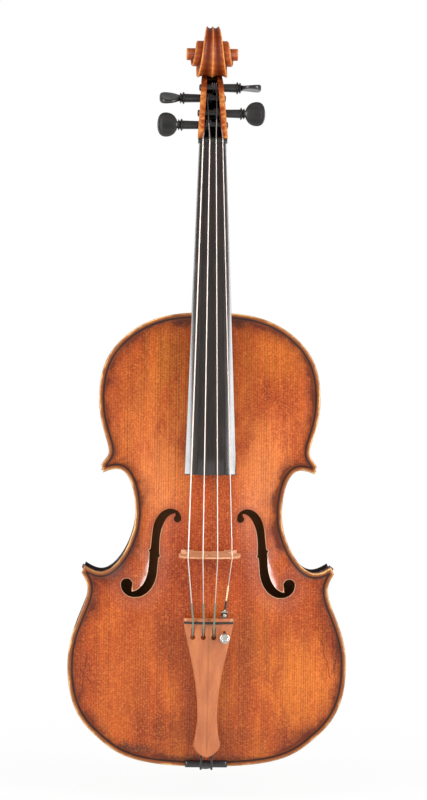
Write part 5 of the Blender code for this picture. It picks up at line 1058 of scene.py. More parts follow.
@dataclass(frozen=True)
class Outline:
    """The plan of the sound box as three curves for its right half, in millimetres."""

    length: float = 410.0
    upper: tuple[float, float] = (200.2, 331.0)     # width and place of the upper bout
    mid: tuple[float, float] = (132.4, 228.0)
    lower: tuple[float, float] = (251.8, 92.0)
    upper_corner: tuple[float, float] = (195.0, 271.5)
    lower_corner: tuple[float, float] = (228.2, 174.1)
    corner_face: float = 7.3
    button_width: float = 21.0
    button_height: float = 13.0
    fine: int = 4                   # points to each step of the curve

    def corners(self) -> tuple[Plan, Plan, Plan, Plan]:
        """Both ends of the small end face of both right-hand corners.

        Returns:
            Four places, from the top down.
        """
        face = self.corner_face
        upper_high = (self.upper_corner[0] / 2, self.upper_corner[1])
        upper_low = (upper_high[0] - 0.27 * face, upper_high[1] - 0.96 * face)
        lower_low = (self.lower_corner[0] / 2, self.lower_corner[1])
        lower_high = (lower_low[0] - 0.37 * face, lower_low[1] + 0.93 * face)
        return upper_high, upper_low, lower_high, lower_low

    def upper_bout(self) -> list[Plan]:
        """From the top centre round the shoulder to the upper corner.

        Returns:
            The curve's points.
        """
        half, at = self.upper[0] / 2, self.upper[1]
        rise = self.length - at
        corner = self.corners()[0]
        shoulder = (0.80 * half, at + 0.686 * rise)
        hollow = (corner[0] - 6.7, corner[1] + 12.5)
        fall = at - hollow[1]
        n = self.fine
        points = bezier((0, self.length), (0.27 * half, self.length),
                        (shoulder[0] - 0.25 * half, shoulder[1] + 0.30 * rise), shoulder, 7 * n)
        points += bezier(shoulder, (shoulder[0] + 0.135 * half, shoulder[1] - 0.17 * rise),
                         (half, at + 0.34 * rise), (half, at), 5 * n)
        points += bezier((half, at), (half, at - 0.49 * fall), (hollow[0], hollow[1] + 0.18 * fall), hollow, 4 * n)
        points += bezier(hollow, (hollow[0], hollow[1] - 4.6), (corner[0] - 2.7, corner[1] + 4.7), corner, 3 * n)
        return points + [corner]

    def waist(self) -> list[Plan]:
        """The centre bout, from the upper corner to the lower one.

        Returns:
            The curve's points.
        """
        _, high, low, _ = self.corners()
        crest = (high[0] - 12.5, high[1] + 3.3)
        trough = (low[0] - 14.4, low[1] - 5.7)
        half, at = self.mid[0] / 2, self.mid[1]
        over, under = crest[1] - at, at - trough[1]
        n = self.fine
        points = bezier(high, (high[0] - 4.0, high[1] + 2.0), (crest[0] + 4.5, crest[1]), crest, 3 * n)
        points += bezier(crest, (crest[0] - 0.72 * (crest[0] - half), crest[1]),
                         (half, at + 0.43 * over), (half, at), 6 * n)
        points += bezier((half, at), (half, at - 0.44 * under),
                         (trough[0] - 0.48 * (trough[0] - half), trough[1]), trough, 7 * n)
        points += bezier(trough, (trough[0] + 5.0, trough[1]), (low[0] - 4.4, low[1] - 2.8), low, 3 * n)
        return points + [low]

    def lower_bout(self) -> list[Plan]:
        """From the lower corner round the lower bout to the bottom centre.

        Returns:
            The curve's points.
        """
        half, at = self.lower[0] / 2, self.lower[1]
        corner = self.corners()[3]
        hollow = (corner[0] - 5.5, corner[1] - 14.4)
        hip = (0.806 * half, 0.313 * at)
        n = self.fine
        points = bezier(corner, (corner[0] - 3.0, corner[1] - 4.6), (hollow[0], hollow[1] + 5.0), hollow, 3 * n)
        points += bezier(hollow, (hollow[0], hollow[1] - 0.23 * (hollow[1] - at)),
                         (half, at + 0.47 * (hollow[1] - at)), (half, at), 5 * n)
        points += bezier((half, at), (half, 0.69 * at), (hip[0] + 0.14 * half, hip[1] + 0.17 * at), hip, 5 * n)
        points += bezier(hip, (hip[0] - 0.15 * half, hip[1] - 0.185 * at), (0.56 * half, 0), (0, 0), 8 * n)
        return points + [(0.0, 0.0)]

    @staticmethod
    def moved_in(curve: Sequence[Plan], distance: float) -> list[Plan]:
        """The curve moved towards the middle of the sound box.

        Args:
            curve: the points in order.
            distance: how far they move.

        Returns:
            The moved points.
        """
        moved = []
        for i, (x, y) in enumerate(curve):
            ax, ay = curve[max(i - 1, 0)]
            bx, by = curve[min(i + 1, len(curve) - 1)]
            length = hypot(bx - ax, by - ay)
            moved.append((x + distance * (by - ay) / length, y - distance * (bx - ax) / length))
        return moved

    @staticmethod
    def with_tail(curve: list[Plan], at_end: bool, amount: float = 45.0) -> list[Plan]:
        """The curve with a straight tail at one end, so that it meets its neighbour.

        Args:
            curve: the points in order.
            at_end: whether the tail goes on at the last point.
            amount: the tail's length.

        Returns:
            The longer curve.
        """
        (x0, y0), (x1, y1) = (curve[-1], curve[-2]) if at_end else (curve[0], curve[1])
        step = amount / hypot(x1 - x0, y1 - y0)
        tail = (x0 - (x1 - x0) * step, y0 - (y1 - y0) * step)
        return curve + [tail] if at_end else [tail] + curve

    @staticmethod
    def meeting(first: Sequence[Plan], second: Sequence[Plan]) -> tuple[int, int, Plan] | None:
        """The last place where one curve crosses another, and the steps it lies on.

        Args:
            first: one curve.
            second: the other one.

        Returns:
            A step of each and the place, or nothing where they stay apart.
        """
        found = None
        for i, ((ax, ay), (bx, by)) in enumerate(zip(first, first[1:])):
            for j, ((cx, cy), (dx, dy)) in enumerate(zip(second, second[1:])):
                det = (bx - ax) * (dy - cy) - (by - ay) * (dx - cx)
                if abs(det) < 1e-9:
                    continue
                t = ((cx - ax) * (dy - cy) - (cy - ay) * (dx - cx)) / det
                u = ((cx - ax) * (by - ay) - (cy - ay) * (bx - ax)) / det
                if 0 <= t <= 1 and 0 <= u <= 1:
                    found = (i, j, (ax + (bx - ax) * t, ay + (by - ay) * t))
        return found

    def loop(self, distance: float, button: bool = False) -> list[Plan]:
        """The closed outline moved in by a distance, with the back's button if asked for.

        Args:
            distance: how far the outline is moved in.
            button: whether the tab under the heel of the neck is part of it.

        Returns:
            The loop's points, clockwise from the top.
        """
        window = 9 * self.fine
        runs = [self.moved_in(run, distance) for run in (self.upper_bout(), self.waist(), self.lower_bout())]
        runs = [self.with_tail(runs[0], True), self.with_tail(self.with_tail(runs[1], True), False),
                self.with_tail(runs[2], False)]
        points = self.corners()
        for index in (0, 1):
            a, b = points[2 * index], points[2 * index + 1]
            length = hypot(b[0] - a[0], b[1] - a[1])
            normal = ((b[1] - a[1]) / length, -(b[0] - a[0]) / length)
            end, start = runs[index][-window:], runs[index + 1][:window]
            offset = len(runs[index]) - len(end)
            i, j, mitre = self.meeting(end, start)
            if (mitre[0] - a[0]) * normal[0] + (mitre[1] - a[1]) * normal[1] < distance - 1e-6:
                shift = [(p[0] + normal[0] * distance, p[1] + normal[1] * distance) for p in (a, b)]
                step = (40 * (b[0] - a[0]) / length, 40 * (b[1] - a[1]) / length)
                face = [(shift[0][0] - step[0], shift[0][1] - step[1]), (shift[1][0] + step[0], shift[1][1] + step[1])]
                i, _, high = self.meeting(end, face)
                k, _, low = self.meeting(start[::-1], face)
                j = len(start) - 2 - k
                runs[index] = runs[index][:offset + i + 1] + [high]
                runs[index + 1] = [low] + runs[index + 1][j + 1:]
            else:
                runs[index] = runs[index][:offset + i + 1] + [mitre]
                runs[index + 1] = [mitre] + runs[index + 1][j + 1:]
        half: list[Plan] = []
        for point in runs[0] + runs[1] + runs[2]:
            if not half or hypot(point[0] - half[-1][0], point[1] - half[-1][1]) > 0.2:
                half.append(point)
        half[-1] = (0.0, half[-1][1])
        if button:
            radius = self.button_width / 2 - distance
            centre = self.length + self.button_height - self.button_width / 2
            tab = arc(0, centre, radius, 90, 0, 16) + [(radius, self.length - distance - 0.2)]
            half = tab + [p for p in half if p[0] > self.button_width / 2 - distance + 1.0]
        return half + [(-x, y) for x, y in half[-2:0:-1]]


OUTLINE = Outline()


@dataclass
class Plate:
    """A carved plate: rounded edge, channel, long arch, and f-holes if it is the belly."""

    name: str
    replaces: tuple[str, ...]
    rise: float                     # height of the arch over the edge
    holes: tuple[tuple[Plan, ...], ...] = ()
    button: bool = False
    flip: bool = False
    thickness: float = 3.2
    edge: float = 4.2
    rounding: float = 1.4
    channel: float = 0.8
    channel_width: float = 15.0
    arch_margin: float = 9.0
    glue_margin: float = 9.0
    flute: float = 1.9              # hollow down each lower wing beside the f-hole
    flute_reach: float = 6.5
    flute_run: tuple[Plan, ...] = ((57.0, 186.0), (60.5, 174.0), (65.0, 164.0), (60.5, 174.0))
    grid: float = 3.6
    steps: tuple[float, ...] = (0.0, 0.3, 0.8, 1.4, 2.2, 3.1, 4.0, 4.4, 4.9, 5.3, 6.5, 8.2, 10.4, 12.8, 15.4)
    outline: Outline = OUTLINE

    def half_width(self, y: np.ndarray) -> np.ndarray:
        """Half width of the arched part, which passes inside the corners.

        Args:
            y: places up the length.

        Returns:
            A half width for each place.
        """
        o, margin = self.outline, self.arch_margin
        upper, mid, lower = o.upper[0] / 2, o.mid[0] / 2, o.lower[0] / 2
        top = np.clip((y - o.upper[1]) / (o.length - margin - o.upper[1]), 0, 1)
        low = np.clip((o.lower[1] - y) / (o.lower[1] - margin), 0, 1)
        above = mid + (upper - mid) * smooth((y - o.mid[1]) / (o.upper[1] - o.mid[1])) - margin
        below = mid + (lower - mid) * smooth((o.mid[1] - y) / (o.mid[1] - o.lower[1])) - margin
        result = np.where(y >= o.mid[1], above, below)
        result = np.where(y >= o.upper[1], (upper - margin) * np.sqrt(np.maximum(1 - top ** 2.3, 0)), result)
        return np.where(y <= o.lower[1], (lower - margin) * np.sqrt(np.maximum(1 - low ** 2.3, 0)), result)

    def outside(self, plan: np.ndarray, depth: np.ndarray) -> np.ndarray:
        """Height of the outer surface over the edge, from places and their distance to the rim.

        Args:
            plan: the places, a row each.
            depth: their distance to the rim.

        Returns:
            A height for each place.
        """
        middle = self.outline.length / 2
        along = np.clip(np.abs(plan[:, 1] - middle) / (middle - self.arch_margin), 0, 1)
        across = np.clip(np.abs(plan[:, 0]) / np.maximum(self.half_width(plan[:, 1]), 1e-6), 0, 1)
        arch = self.rise * (1 - along ** 3) ** 1.5 * (1 - across ** 2.2) ** 1.7
        u = np.clip((depth - self.rounding) / (self.channel_width - self.rounding), 0, 1)
        scoop = -self.channel * np.sin(pi * u) ** 2
        return arch + scoop - self.rounded(depth) - self.fluting(plan)

    def rounded(self, depth: np.ndarray) -> np.ndarray:
        """How much the rounded edge falls away at a distance from the rim."""
        r = self.rounding
        return np.where(depth < r, r - np.sqrt(np.maximum(r * r - (r - np.minimum(depth, r)) ** 2, 0)), 0.0)

    def fluting(self, plan: np.ndarray) -> np.ndarray:
        """Depth of the hollow that runs down each lower wing beside the f-hole's stem.

        Args:
            plan: the places, a row each.

        Returns:
            A depth for each place.
        """
        if not self.holes:
            return np.zeros(len(plan))
        folded = np.column_stack([np.abs(plan[:, 0]), plan[:, 1]])
        return self.flute * np.exp(-(distances(folded, self.flute_run) / self.flute_reach) ** 2)

    def field_points(self, spacing: float, clear: float) -> np.ndarray:
        """Staggered points inside the outline, clear of its edge and of the holes.

        Args:
            spacing: how far apart they stand.
            clear: how far they stay from the rim.

        Returns:
            The places, a row each.
        """
        half, length = self.outline.lower[0] / 2, self.outline.length
        rows = np.arange(spacing / 2, length, spacing * 0.87)
        points = np.array([(x + (i % 2) * spacing / 2, y) for i, y in enumerate(rows)
                           for x in np.arange(-half - spacing, half + spacing, spacing)])
        keep = within(points, self.outline.loop(0.0)) & (distances(points, self.outline.loop(0.0)) > clear)
        for hole in self.holes:
            keep &= ~within(points, hole) & (distances(points, hole) > spacing * 0.4)
        return points[keep]

    def skin(self, shape: Shape, loops: Sequence[Sequence[Plan]], spacing: float, clear: float, top: bool) -> None:
        """Lay the outer or the inner face into a shape.

        Args:
            shape: the plate so far.
            loops: the loops that the face follows, the rim first.
            spacing: how far apart its free points stand.
            clear: how far they stay from the rim.
            top: whether it is the outer face.
        """
        base = self.outline.loop(0.0)
        plan, faces = triangulate(loops, self.holes, self.field_points(spacing, clear))
        to_rim = distances(plan, loops[0])
        to_base = np.where(within(plan, base), distances(plan, base), 0.0)
        z = self.outside(plan, np.where(to_base > self.rounding, to_base, np.minimum(to_rim, self.rounding)))
        if not top:
            hollow = np.maximum(-self.edge, z - self.thickness)
            z = np.where(to_base <= self.glue_margin, self.rounded(to_rim) - self.edge, hollow)
            shape.inner.update(range(len(shape.faces), len(shape.faces) + len(faces)))
        first = len(shape.points)
        for (x, y), height in zip(plan, z):
            shape.add((x, y, float(height)))
        shape.faces.extend(tuple(first + i for i in f) for f in faces)

    def build(self) -> bpy.types.Object:
        """The plate as one mesh with its distance to the rim and to the holes at each point.

        Returns:
            The new piece.
        """
        loops = [self.outline.loop(d, self.button and d < 3.0) for d in self.steps]
        rim, base = loops[0], self.outline.loop(0.0)
        shape = Shape()
        self.skin(shape, loops, self.grid, self.steps[-1] + self.grid * 0.5, True)
        self.skin(shape, loops[:4] + [self.outline.loop(self.glue_margin)], self.grid * 2.5,
                  self.glue_margin + self.grid, False)
        self.wall(shape, rim, [self.rounding - self.edge] * len(rim), [-self.rounding] * len(rim))
        for hole in self.holes:
            ends = np.array(hole)
            outer = self.outside(ends, distances(ends, base))
            self.wall(shape, hole, outer - self.thickness, outer)
        plan = np.array([(x, y) for x, y, _ in shape.points])
        to_rim = distances(plan, rim)
        if self.flip:
            to_rim = np.where(plan[:, 1] > self.outline.length - 1.0, np.minimum(to_rim, 3.4), to_rim)
            shape.points = [(x, y, RIB_FOOT - self.edge - z) for x, y, z in shape.points]
        to_hole = np.full(len(plan), 50.0)
        for hole in self.holes:
            to_hole = np.minimum(to_hole, distances(plan, hole))
        return shape.piece(self.name, self.replaces, sharp=50.0, facts={"edge_mm": to_rim, "hole_mm": to_hole})

    @staticmethod
    def wall(shape: Shape, loop: Sequence[Plan], low: Sequence[float], high: Sequence[float]) -> None:
        """A wall along a loop between two heights at each of its points."""
        rows = [[shape.add((*p, float(z))) for p, z in zip(loop, heights)] for heights in (low, high)]
        shape.band(*rows)


def sound_hole(side: int, fine: int = 4) -> tuple[Plan, ...]:
    """An f-hole, clockwise: two round eyes, a swelling stem with its nicks, and pointed wings.

    Args:
        side: 1 for the right-hand one, -1 for the left-hand one.
        fine: points to each step of its curves.

    Returns:
        The loop's points.
    """
    ux, uy, ur = -20.7, 32.0, 3.3
    lx, ly, lr = 24.4, -27.7, 5.3
    points = arc(ux, uy, ur, 58, -192, 9 * fine)[:-1]
    points += bezier(arc(ux, uy, ur, -192, -192, 1)[0], (-23.6, 37.4), (-19.8, 40.9), (-14.6, 40.9), 3 * fine)
    points += bezier((-14.6, 40.9), (-5.8, 40.9), (1.0, 31.0), (1.8, 18.4), 6 * fine)
    points += [(1.8, 18.4), (2.6, 11.0), (3.2, 4.6), (5.2, 2.8), (4.0, 1.2), (4.5, -6.0)]
    points += bezier((4.9, -12.5), (6.2, -23.5), (11.5, -33.2), (19.8, -34.2), 6 * fine) + [(19.8, -34.2)]
    points += arc(lx, ly, lr, 205, -8, 9 * fine)[:-1]
    points += bezier(arc(lx, ly, lr, -8, -8, 1)[0], (29.2, -35.0), (24.0, -39.2), (17.0, -39.2), 4 * fine)
    points += bezier((17.0, -39.2), (6.5, -39.2), (-2.3, -29.0), (-2.9, -14.5), 6 * fine)
    points += [(-2.9, -14.5), (-3.4, -8.0), (-3.8, -3.4), (-5.6, -1.8), (-4.7, 0.2), (-4.7, 8.0)]
    points += bezier((-5.0, 14.0), (-6.3, 25.0), (-9.8, 35.4), (-18.6, 36.9), 6 * fine) + [(-18.6, 36.9)]
    return tuple((side * (49.0 + x), 192.0 + y) for x, y in points[::side])


BELLY = Plate("belly", ("top_plate", "top_purfling_left", "top_purfling_right"), 12.8,
              holes=(sound_hole(1), sound_hole(-1)))
BACK = Plate("back", ("back_plate", "back_purfling"), 11.8, button=True, flip=True)


# The sub-assemblies stand in the order in which the instrument is put together

@dataclass
class SoundBox(Assembly):
    """Belly and back over the ribs, with the blocks, linings, bar and post that show through the f-holes."""

    belly: Plate = field(default_factory=lambda: BELLY)
    back: Plate = field(default_factory=lambda: BACK)

    def build(self) -> None:
        """Make both plates, and take the ribs and the inside from the CAD."""
        self.keep(self.belly.build(), Finishes.BELLY)
        self.keep(self.back.build(), Finishes.BACK)
        for name, node in frame["nodes"].items():
            if "_rib_" in name:
                self.keep(node, Finishes.RIBS)
            elif "lining" in name or "block" in name or name in ("bass_bar", "sound_post"):
                self.keep(node, Finishes.INSIDE)


@dataclass
class Board(Assembly):
    """The ebony fingerboard with its nut: round on top, with rounded long edges."""

    length: float = 299.0
    nut_at: float = 563.3
    nut_width: float = 24.6
    end_width: float = 46.0
    edge: float = 5.0
    radius: float = 42.0
    at_edge: float = 17.5
    slope: float = 0.12
    body_length: float = 410.0
    nut_length: float = 5.0
    nut_rise: float = 0.9

    def crown(self, y: float) -> float:
        """Height of its middle line."""
        return self.at_edge - self.slope * (y - self.body_length)

    def width(self, y: float) -> float:
        """Its width at a place."""
        return self.nut_width + (self.end_width - self.nut_width) * (self.nut_at - y) / self.length

    def fall(self, x: float) -> float:
        """Fall of its round top at a distance from the middle."""
        return self.radius - sqrt(self.radius ** 2 - x * x)

    def seat(self, y: float) -> float:
        """Height of the face glued to the neck."""
        return self.crown(y) - self.fall(self.width(y) / 2) - self.edge

    def section(self, y: float, rise: float = 0.0, hollow: float = 0.0, soft: float = 0.7) -> list[Bench]:
        """A closed section: the round top, softened edges, sides and a hollowed underside.

        Args:
            y: its place up the length.
            rise: how far it stands over the board's top.
            hollow: depth of the underside.
            soft: size of the softened edges.

        Returns:
            The section's points.
        """
        half = self.width(y) / 2
        crown, seat = self.crown(y) + rise, self.seat(y) + 0.3
        reach = half - soft
        ring = [(x, y, crown - self.fall(x)) for x in np.linspace(reach, -reach, 41)]
        corner = crown - self.fall(reach)
        ring += [(-half + soft * 0.3, y, corner - soft * 0.35), (-half, y, corner - soft * 1.2), (-half, y, seat)]
        for u in np.linspace(-0.86, 0.86, 13):
            ring.append((half * u, y, seat + hollow * (1 - (u / 0.86) ** 2)))
        return ring + [(half, y, seat), (half, y, corner - soft * 1.2), (half - soft * 0.3, y, corner - soft * 0.35)]

    def build(self) -> None:
        """Make the board and the nut."""
        end, free = self.nut_at - self.length, self.body_length - 8.2       # its two ends, and where the neck ends
        places = [self.nut_at - 0.15, self.nut_at - 60, self.nut_at - 110, self.body_length, free - 2, free - 8,
                  free - 14, *np.linspace(free - 30, end + 0.8, 6)]
        rings = [self.section(y, hollow=3.4 * smooth((free - 2 - y) / 12)) for y in places]
        last = self.section(end, hollow=3.4)
        rings.append([(x * 0.985, y, z - 0.5 if i < 44 else z) for i, (x, y, z) in enumerate(last)])
        shape = Shape()
        shape.loft(rings)
        self.keep(shape.piece("fingerboard_piece", ("fingerboard",)), Finishes.BOARD)
        nut = Shape()
        nut.loft([[(x * 1.075, self.nut_at + d, max(z, self.seat(self.nut_at) + 0.3))
                   for x, _, z in self.section(self.nut_at, rise)]
                  for d, rise in ((0.15, 0.5), (0.6, self.nut_rise), (2.4, self.nut_rise), (3.6, 0.1), (4.4, -0.9),
                                  (self.nut_length, -2.4))])
        self.keep(nut.piece("nut_piece", ("nut",)), Finishes.FITTING)


BOARD = Board()


@dataclass
class Head(Assembly):
    """Neck, pegbox and carved scroll."""

    nut_far: float = 568.3
    throat: float = 57.5
    eye_above: float = 82.0
    eye_radius: float = 5.5
    eye_span: float = 47.5
    pegbox_width: tuple[float, float] = (27.4, 20.0)
    slot_width: tuple[float, float] = (16.8, 9.6)
    floor: float = 6.0
    flute: float = 1.9
    chamfer: float = 0.9
    radii: tuple[Plan, ...] = ((-90, 27.0), (0, 26.0), (90, 24.0), (180, 21.5), (270, 16.5), (360, 12.6),
                               (450, 12.0), (540, 11.2), (630, 8.4), (720, 5.5))
    half_widths: tuple[Plan, ...] = ((-90, 7.2), (0, 5.8), (90, 9.5), (180, 14.0), (270, 14.4), (360, 14.6),
                                     (450, 16.4), (540, 18.9), (630, 20.6), (720, 23.75))

    def front(self, y: float) -> float:
        """Height of the cheeks' front edge."""
        return through(((0, -4.0), (16.5, -10.2), (31.5, -16.4), (43.5, -22.8), (52.5, -30.0), (59.0, -40.0),
                        (68.0, -50.0), (self.eye_above, EYE_Z - 15.0)), y - self.nut_far)

    def back(self, y: float) -> float:
        """Height of the pegbox's back."""
        return through(((0, -24.6), (8.0, -29.5), (21.5, -36.6), (41.5, -47.6), (61.5, -60.0), (72.0, -66.0),
                        (self.eye_above, EYE_Z - 26.8)), y - self.nut_far)

    def half(self, y: float) -> float:
        """Half width across the cheeks.

        Args:
            y: a place up the length.

        Returns:
            The half width.
        """
        d = y - self.nut_far
        wide, narrow = self.pegbox_width[0] / 2, self.pegbox_width[1] / 2
        if d <= self.throat:
            return wide + (narrow - wide) * max(d, 0) / self.throat
        return narrow + (7.05 - narrow) * min((d - self.throat) / (self.eye_above - self.throat), 1)

    def slot_half(self, y: float) -> float:
        """Half width of the slot between the cheeks."""
        t = (y - self.nut_far) / self.throat
        return (self.slot_width[0] + (self.slot_width[1] - self.slot_width[0]) * t) / 2

    @staticmethod
    def round_section(half_top: float, half_low: float, depth: float, square: float, count: int) -> list[Plan]:
        """The lower side of the neck from left to right as (across, down).

        Args:
            half_top: half width at the top.
            half_low: half width below.
            depth: how deep it is.
            square: two for a round one, more for a squarer one.
            count: how many points it has.

        Returns:
            The section's points.
        """
        points = []
        for i in range(count):
            angle = pi * i / (count - 1)
            c, s = cos(angle), sin(angle)
            down = max(s, 0.0) ** (2 / square)
            side = abs(c) ** (2 / square) * (1 if c > 0 else -1)
            points.append((-(half_top + (half_low - half_top) * down) * side, depth * down))
        return points

    def box_section(self, half: float, depth: float, flute: float, count: int) -> list[Plan]:
        """The lower side of the pegbox: straight cheeks, chamfers, and two flutes with a spine between.

        Args:
            half: half width.
            depth: how deep it is.
            flute: how deep the flutes are.
            count: how many points it has.

        Returns:
            The section's points as (across, down).
        """
        low = half * 0.93
        c = self.chamfer
        outline = [(-half, 0.0), (-half, 1.0), (-low, depth - c * 1.4), (-low + c, depth - 0.1)]
        inner = low - c
        outline += [(x, depth - flute * sin(pi * abs(x) / inner) ** 0.8 if abs(x) < inner else depth)
                    for x in np.linspace(-inner, inner, 25)[1:-1]]
        outline += [(low - c, depth - 0.1), (low, depth - c * 1.4), (half, 1.0), (half, 0.0)]
        lengths = np.concatenate([[0], np.cumsum([hypot(b[0] - a[0], b[1] - a[1])
                                                  for a, b in zip(outline, outline[1:])])])
        at = np.linspace(0, lengths[-1], count)
        across, down = zip(*outline)
        return list(zip(np.interp(at, lengths, across), np.interp(at, lengths, down)))

    def neck_rings(self, low_station: float, high_station: float) -> list[list[Bench]]:
        """Sections from one place to another, each flat on top.

        Args:
            low_station: where the first may lie.
            high_station: where the last may lie.

        Returns:
            The sections in order.
        """
        body = BOARD.body_length
        heel = ((body - 8.2, 1.0), (body + 3.0, 1.0), (body + 6.5, 0.86), (body + 10.0, 0.62), (body + 14.0, 0.38),
                (body + 19.0, 0.19), (body + 26.0, 0.07), (body + 36.0, 0.0), (BOARD.nut_at, 0.0))
        count = 61
        rings = []
        fixed = [body - 8.2, body - 2.7, body + 1.0]
        for y in sorted(fixed + [BOARD.nut_at - 6.0] + list(np.arange(body + 3.0, BOARD.nut_at + 1.0, 2.5))):
            share = through(heel, y)
            top = BOARD.seat(y)
            shaft = 14.0 - 1.4 * (y - body) / 153.3
            depth = shaft + (top - RIB_FOOT - shaft) * share
            half_top = BOARD.width(y) / 2
            chin = smooth((y - (BOARD.nut_at - 13.0)) / 13.0)
            depth += (top + 23.6 - depth) * chin
            half_low = half_top + (9.9 - half_top) * share - 0.8 * chin
            section = self.round_section(half_top, half_low, depth, 2.3 + 3.5 * share + 1.0 * chin, count)
            rings.append((y, top, section))
        boxed = []
        for y in np.concatenate([[self.nut_far + 0.3], np.arange(self.nut_far + 2.0, self.nut_far + 83.5, 2.0)]):
            top, half = self.front(y), self.half(y)
            flute = self.flute * smooth((y - self.nut_far - 6.0) / 16.0)
            boxed.append((y, top, self.box_section(half, top - self.back(y), flute, count)))
        made = []
        for y, top, section in rings + boxed:
            if low_station <= y <= high_station:
                made.append([(x, float(y), top - down) for x, down in section])
        return made

    def slot_shape(self) -> Shape:
        """The space between the cheeks.

        Returns:
            The shape that is cut away.
        """
        rings = []
        for d in (1.0, 3.0, 6.0, 12.0, 18.0, 24.0, 30.0, 36.0, 42.0, 48.0, 52.0, 55.5, self.throat):
            y = self.nut_far + d
            half, top = self.slot_half(y), self.front(y) + 12.0
            low = self.back(y) + self.floor + {1.0: 3.5, self.throat: 4.0}.get(d, 0.0)
            rings.append([(half, y, top), (-half, y, top), (-half, y, low), (half, y, low)])
        shape = Shape()
        shape.loft(rings)
        return shape

    def spiral(self, angle: float, radius: float, x: float) -> Bench:
        """A point of the scroll from its angle about the eye, counted from the top over the front."""
        return (x, EYE_AT + radius * cos(radians(angle)), EYE_Z + radius * sin(radians(angle)))

    def turn_radius(self, a: float) -> float:
        """Radius of the volute's rim at an angle about the eye."""
        return self.eye_radius if a >= 720 else through(self.radii, a)

    def turn_half(self, a: float) -> float:
        """How far the rim stands out at an angle about the eye."""
        return self.eye_span / 2 if a >= 720 else through(self.half_widths, a)

    def side_row(self, a: float, side: int) -> list[Bench]:
        """The section of a side turn: rim with its chamfer, hollow, and the next turn's foot.

        Args:
            a: the angle about the eye.
            side: 1 for the right-hand side, -1 for the left-hand one.

        Returns:
            The section's points from the rim inwards.
        """
        c, after = self.chamfer, a + 360
        r, w, inner = self.turn_radius(a), self.turn_half(a), self.turn_radius(after)
        room = max(r - inner, 0.0)
        rim, drop = min(c, room * 0.4), min(0.3, room * 0.2)
        hollow = 1.5 * min(1.0, room / 5.0) * min(1.0, (a + 90) / 60.0)
        row = [self.spiral(a, r, side * (w - rim)), self.spiral(a, r - rim, side * w)]
        for s in (0.12, 0.3, 0.5, 0.7, 0.88, 1.0):
            out = w - drop * s - hollow * sin(pi * s) ** 0.8
            row.append(self.spiral(a, r - rim - (room - rim) * s, side * out))
        next_room = max(inner - self.turn_radius(a + 720), 0.0)
        next_rim = min(c, next_room * 0.4) if after < 720 else 0.6
        return row + [self.spiral(a, inner, side * (self.turn_half(after) - next_rim))]

    def scroll(self) -> Shape:
        """The volute: hollowed side turns with chamfered rims, and the fluted band round them.

        Returns:
            The shape, open where the pegbox joins it.
        """
        step = 5
        shape = Shape()
        for side in (1, -1):
            shape.grid([self.side_row(a, side) for a in range(-90, 721, step)],
                       (0.7, 1.0, 0.35, -0.15, -0.4, -0.65, -0.95, -0.9, 0.6))
            eye = [[shape.add(self.spiral(a, self.eye_radius - cut, side * (self.eye_span / 2 - 0.6 + cut)), wear)
                    for a in range(0, 360, step)] for cut, wear in ((0.0, 0.8), (0.6, 1.0))]
            shape.band(*eye)
            shape.faces.append(tuple(eye[1]))
        rows = []
        across = np.linspace(-1, 1, 25)
        for a in range(-90, 271, step):
            r, w = self.turn_radius(a), self.turn_half(a) - self.chamfer
            flute = self.flute * min(1.0, max(0.0, (235 - a) / 45.0))
            rows.append([self.spiral(a, r - flute * sin(pi * abs(u)) ** 0.8, u * w) for u in across])
        ridge = [1.0 if abs(abs(u) - 1) < 0.01 else 0.95 if abs(u) < 0.01 else 0.4 if abs(u) < 0.1 else
                 -1.0 * sin(pi * abs(u)) for u in across]
        shape.grid(rows, ridge)
        return shape

    def pegbox(self) -> Shape:
        """The pegbox before its slot is cut, worn on the crests that run on into the scroll, and darker towards the
        throat: partly the throat's black stain, partly painted shade.

        Returns:
            The solid shape.
        """
        shape = Shape()
        rings = []
        for ring in self.neck_rings(BOARD.nut_at - 6.0, 1000.0):
            x, y, top = ring[0]
            half, c = abs(x), self.chamfer if y > self.nut_far else 0.05
            section = [(x, y, z - c if i in (0, len(ring) - 1) else z) for i, (x, y, z) in enumerate(ring)]
            slot = min(self.slot_half(y), half - c - 0.6)
            rings.append(section + [(x, y, top) for x in (half - c, slot, 0.0, -slot, -half + c)])
        wear = [0.7, 0.2] + [0.0] * 57 + [0.2, 0.7, 0.7, 0.5, 0.5, 0.5, 0.7]
        shape.loft(rings, wear)
        for i, (x, y, _) in enumerate(shape.points):
            place = i % len(wear)
            if 2 < place < 58:
                across = abs(x) / (self.half(y) * 0.93 - self.chamfer)
                crest = 0.8 if across < 0.04 or 0.94 < across < 1.05 else -0.8 * sin(pi * min(across, 1.0))
                shape.wear[i] = crest * smooth((y - self.nut_far - 6.0) / 16.0)
            else:
                # Past 44 mm from the nut the front edges darken: partly the throat's black stain, partly painted
                # shade.
                shaded = smooth((y - self.nut_far - 44.0) / 8.0)
                shape.wear[i] = wear[place] * (1 - shaded) - 0.75 * shaded
        return shape

    def mark_slot(self, mesh: bpy.types.Mesh) -> None:
        """Mark the faces that the slot's cut left, so that they stay dark.

        Args:
            mesh: the cut pegbox.
        """
        inner = []
        for face in mesh.polygons:
            corners = [mesh.vertices[i].co for i in face.vertices]
            places = [(p.x / MM, p.z / MM + ORIGIN_AT, EYE_Z - p.y / MM) for p in corners]
            inner.append(float(all(abs(x) <= self.slot_half(y) + 0.06 and z > self.back(y) + 4.0
                                   for x, y, z in places)))
        mesh.attributes["inner"].data.foreach_set("value", inner)

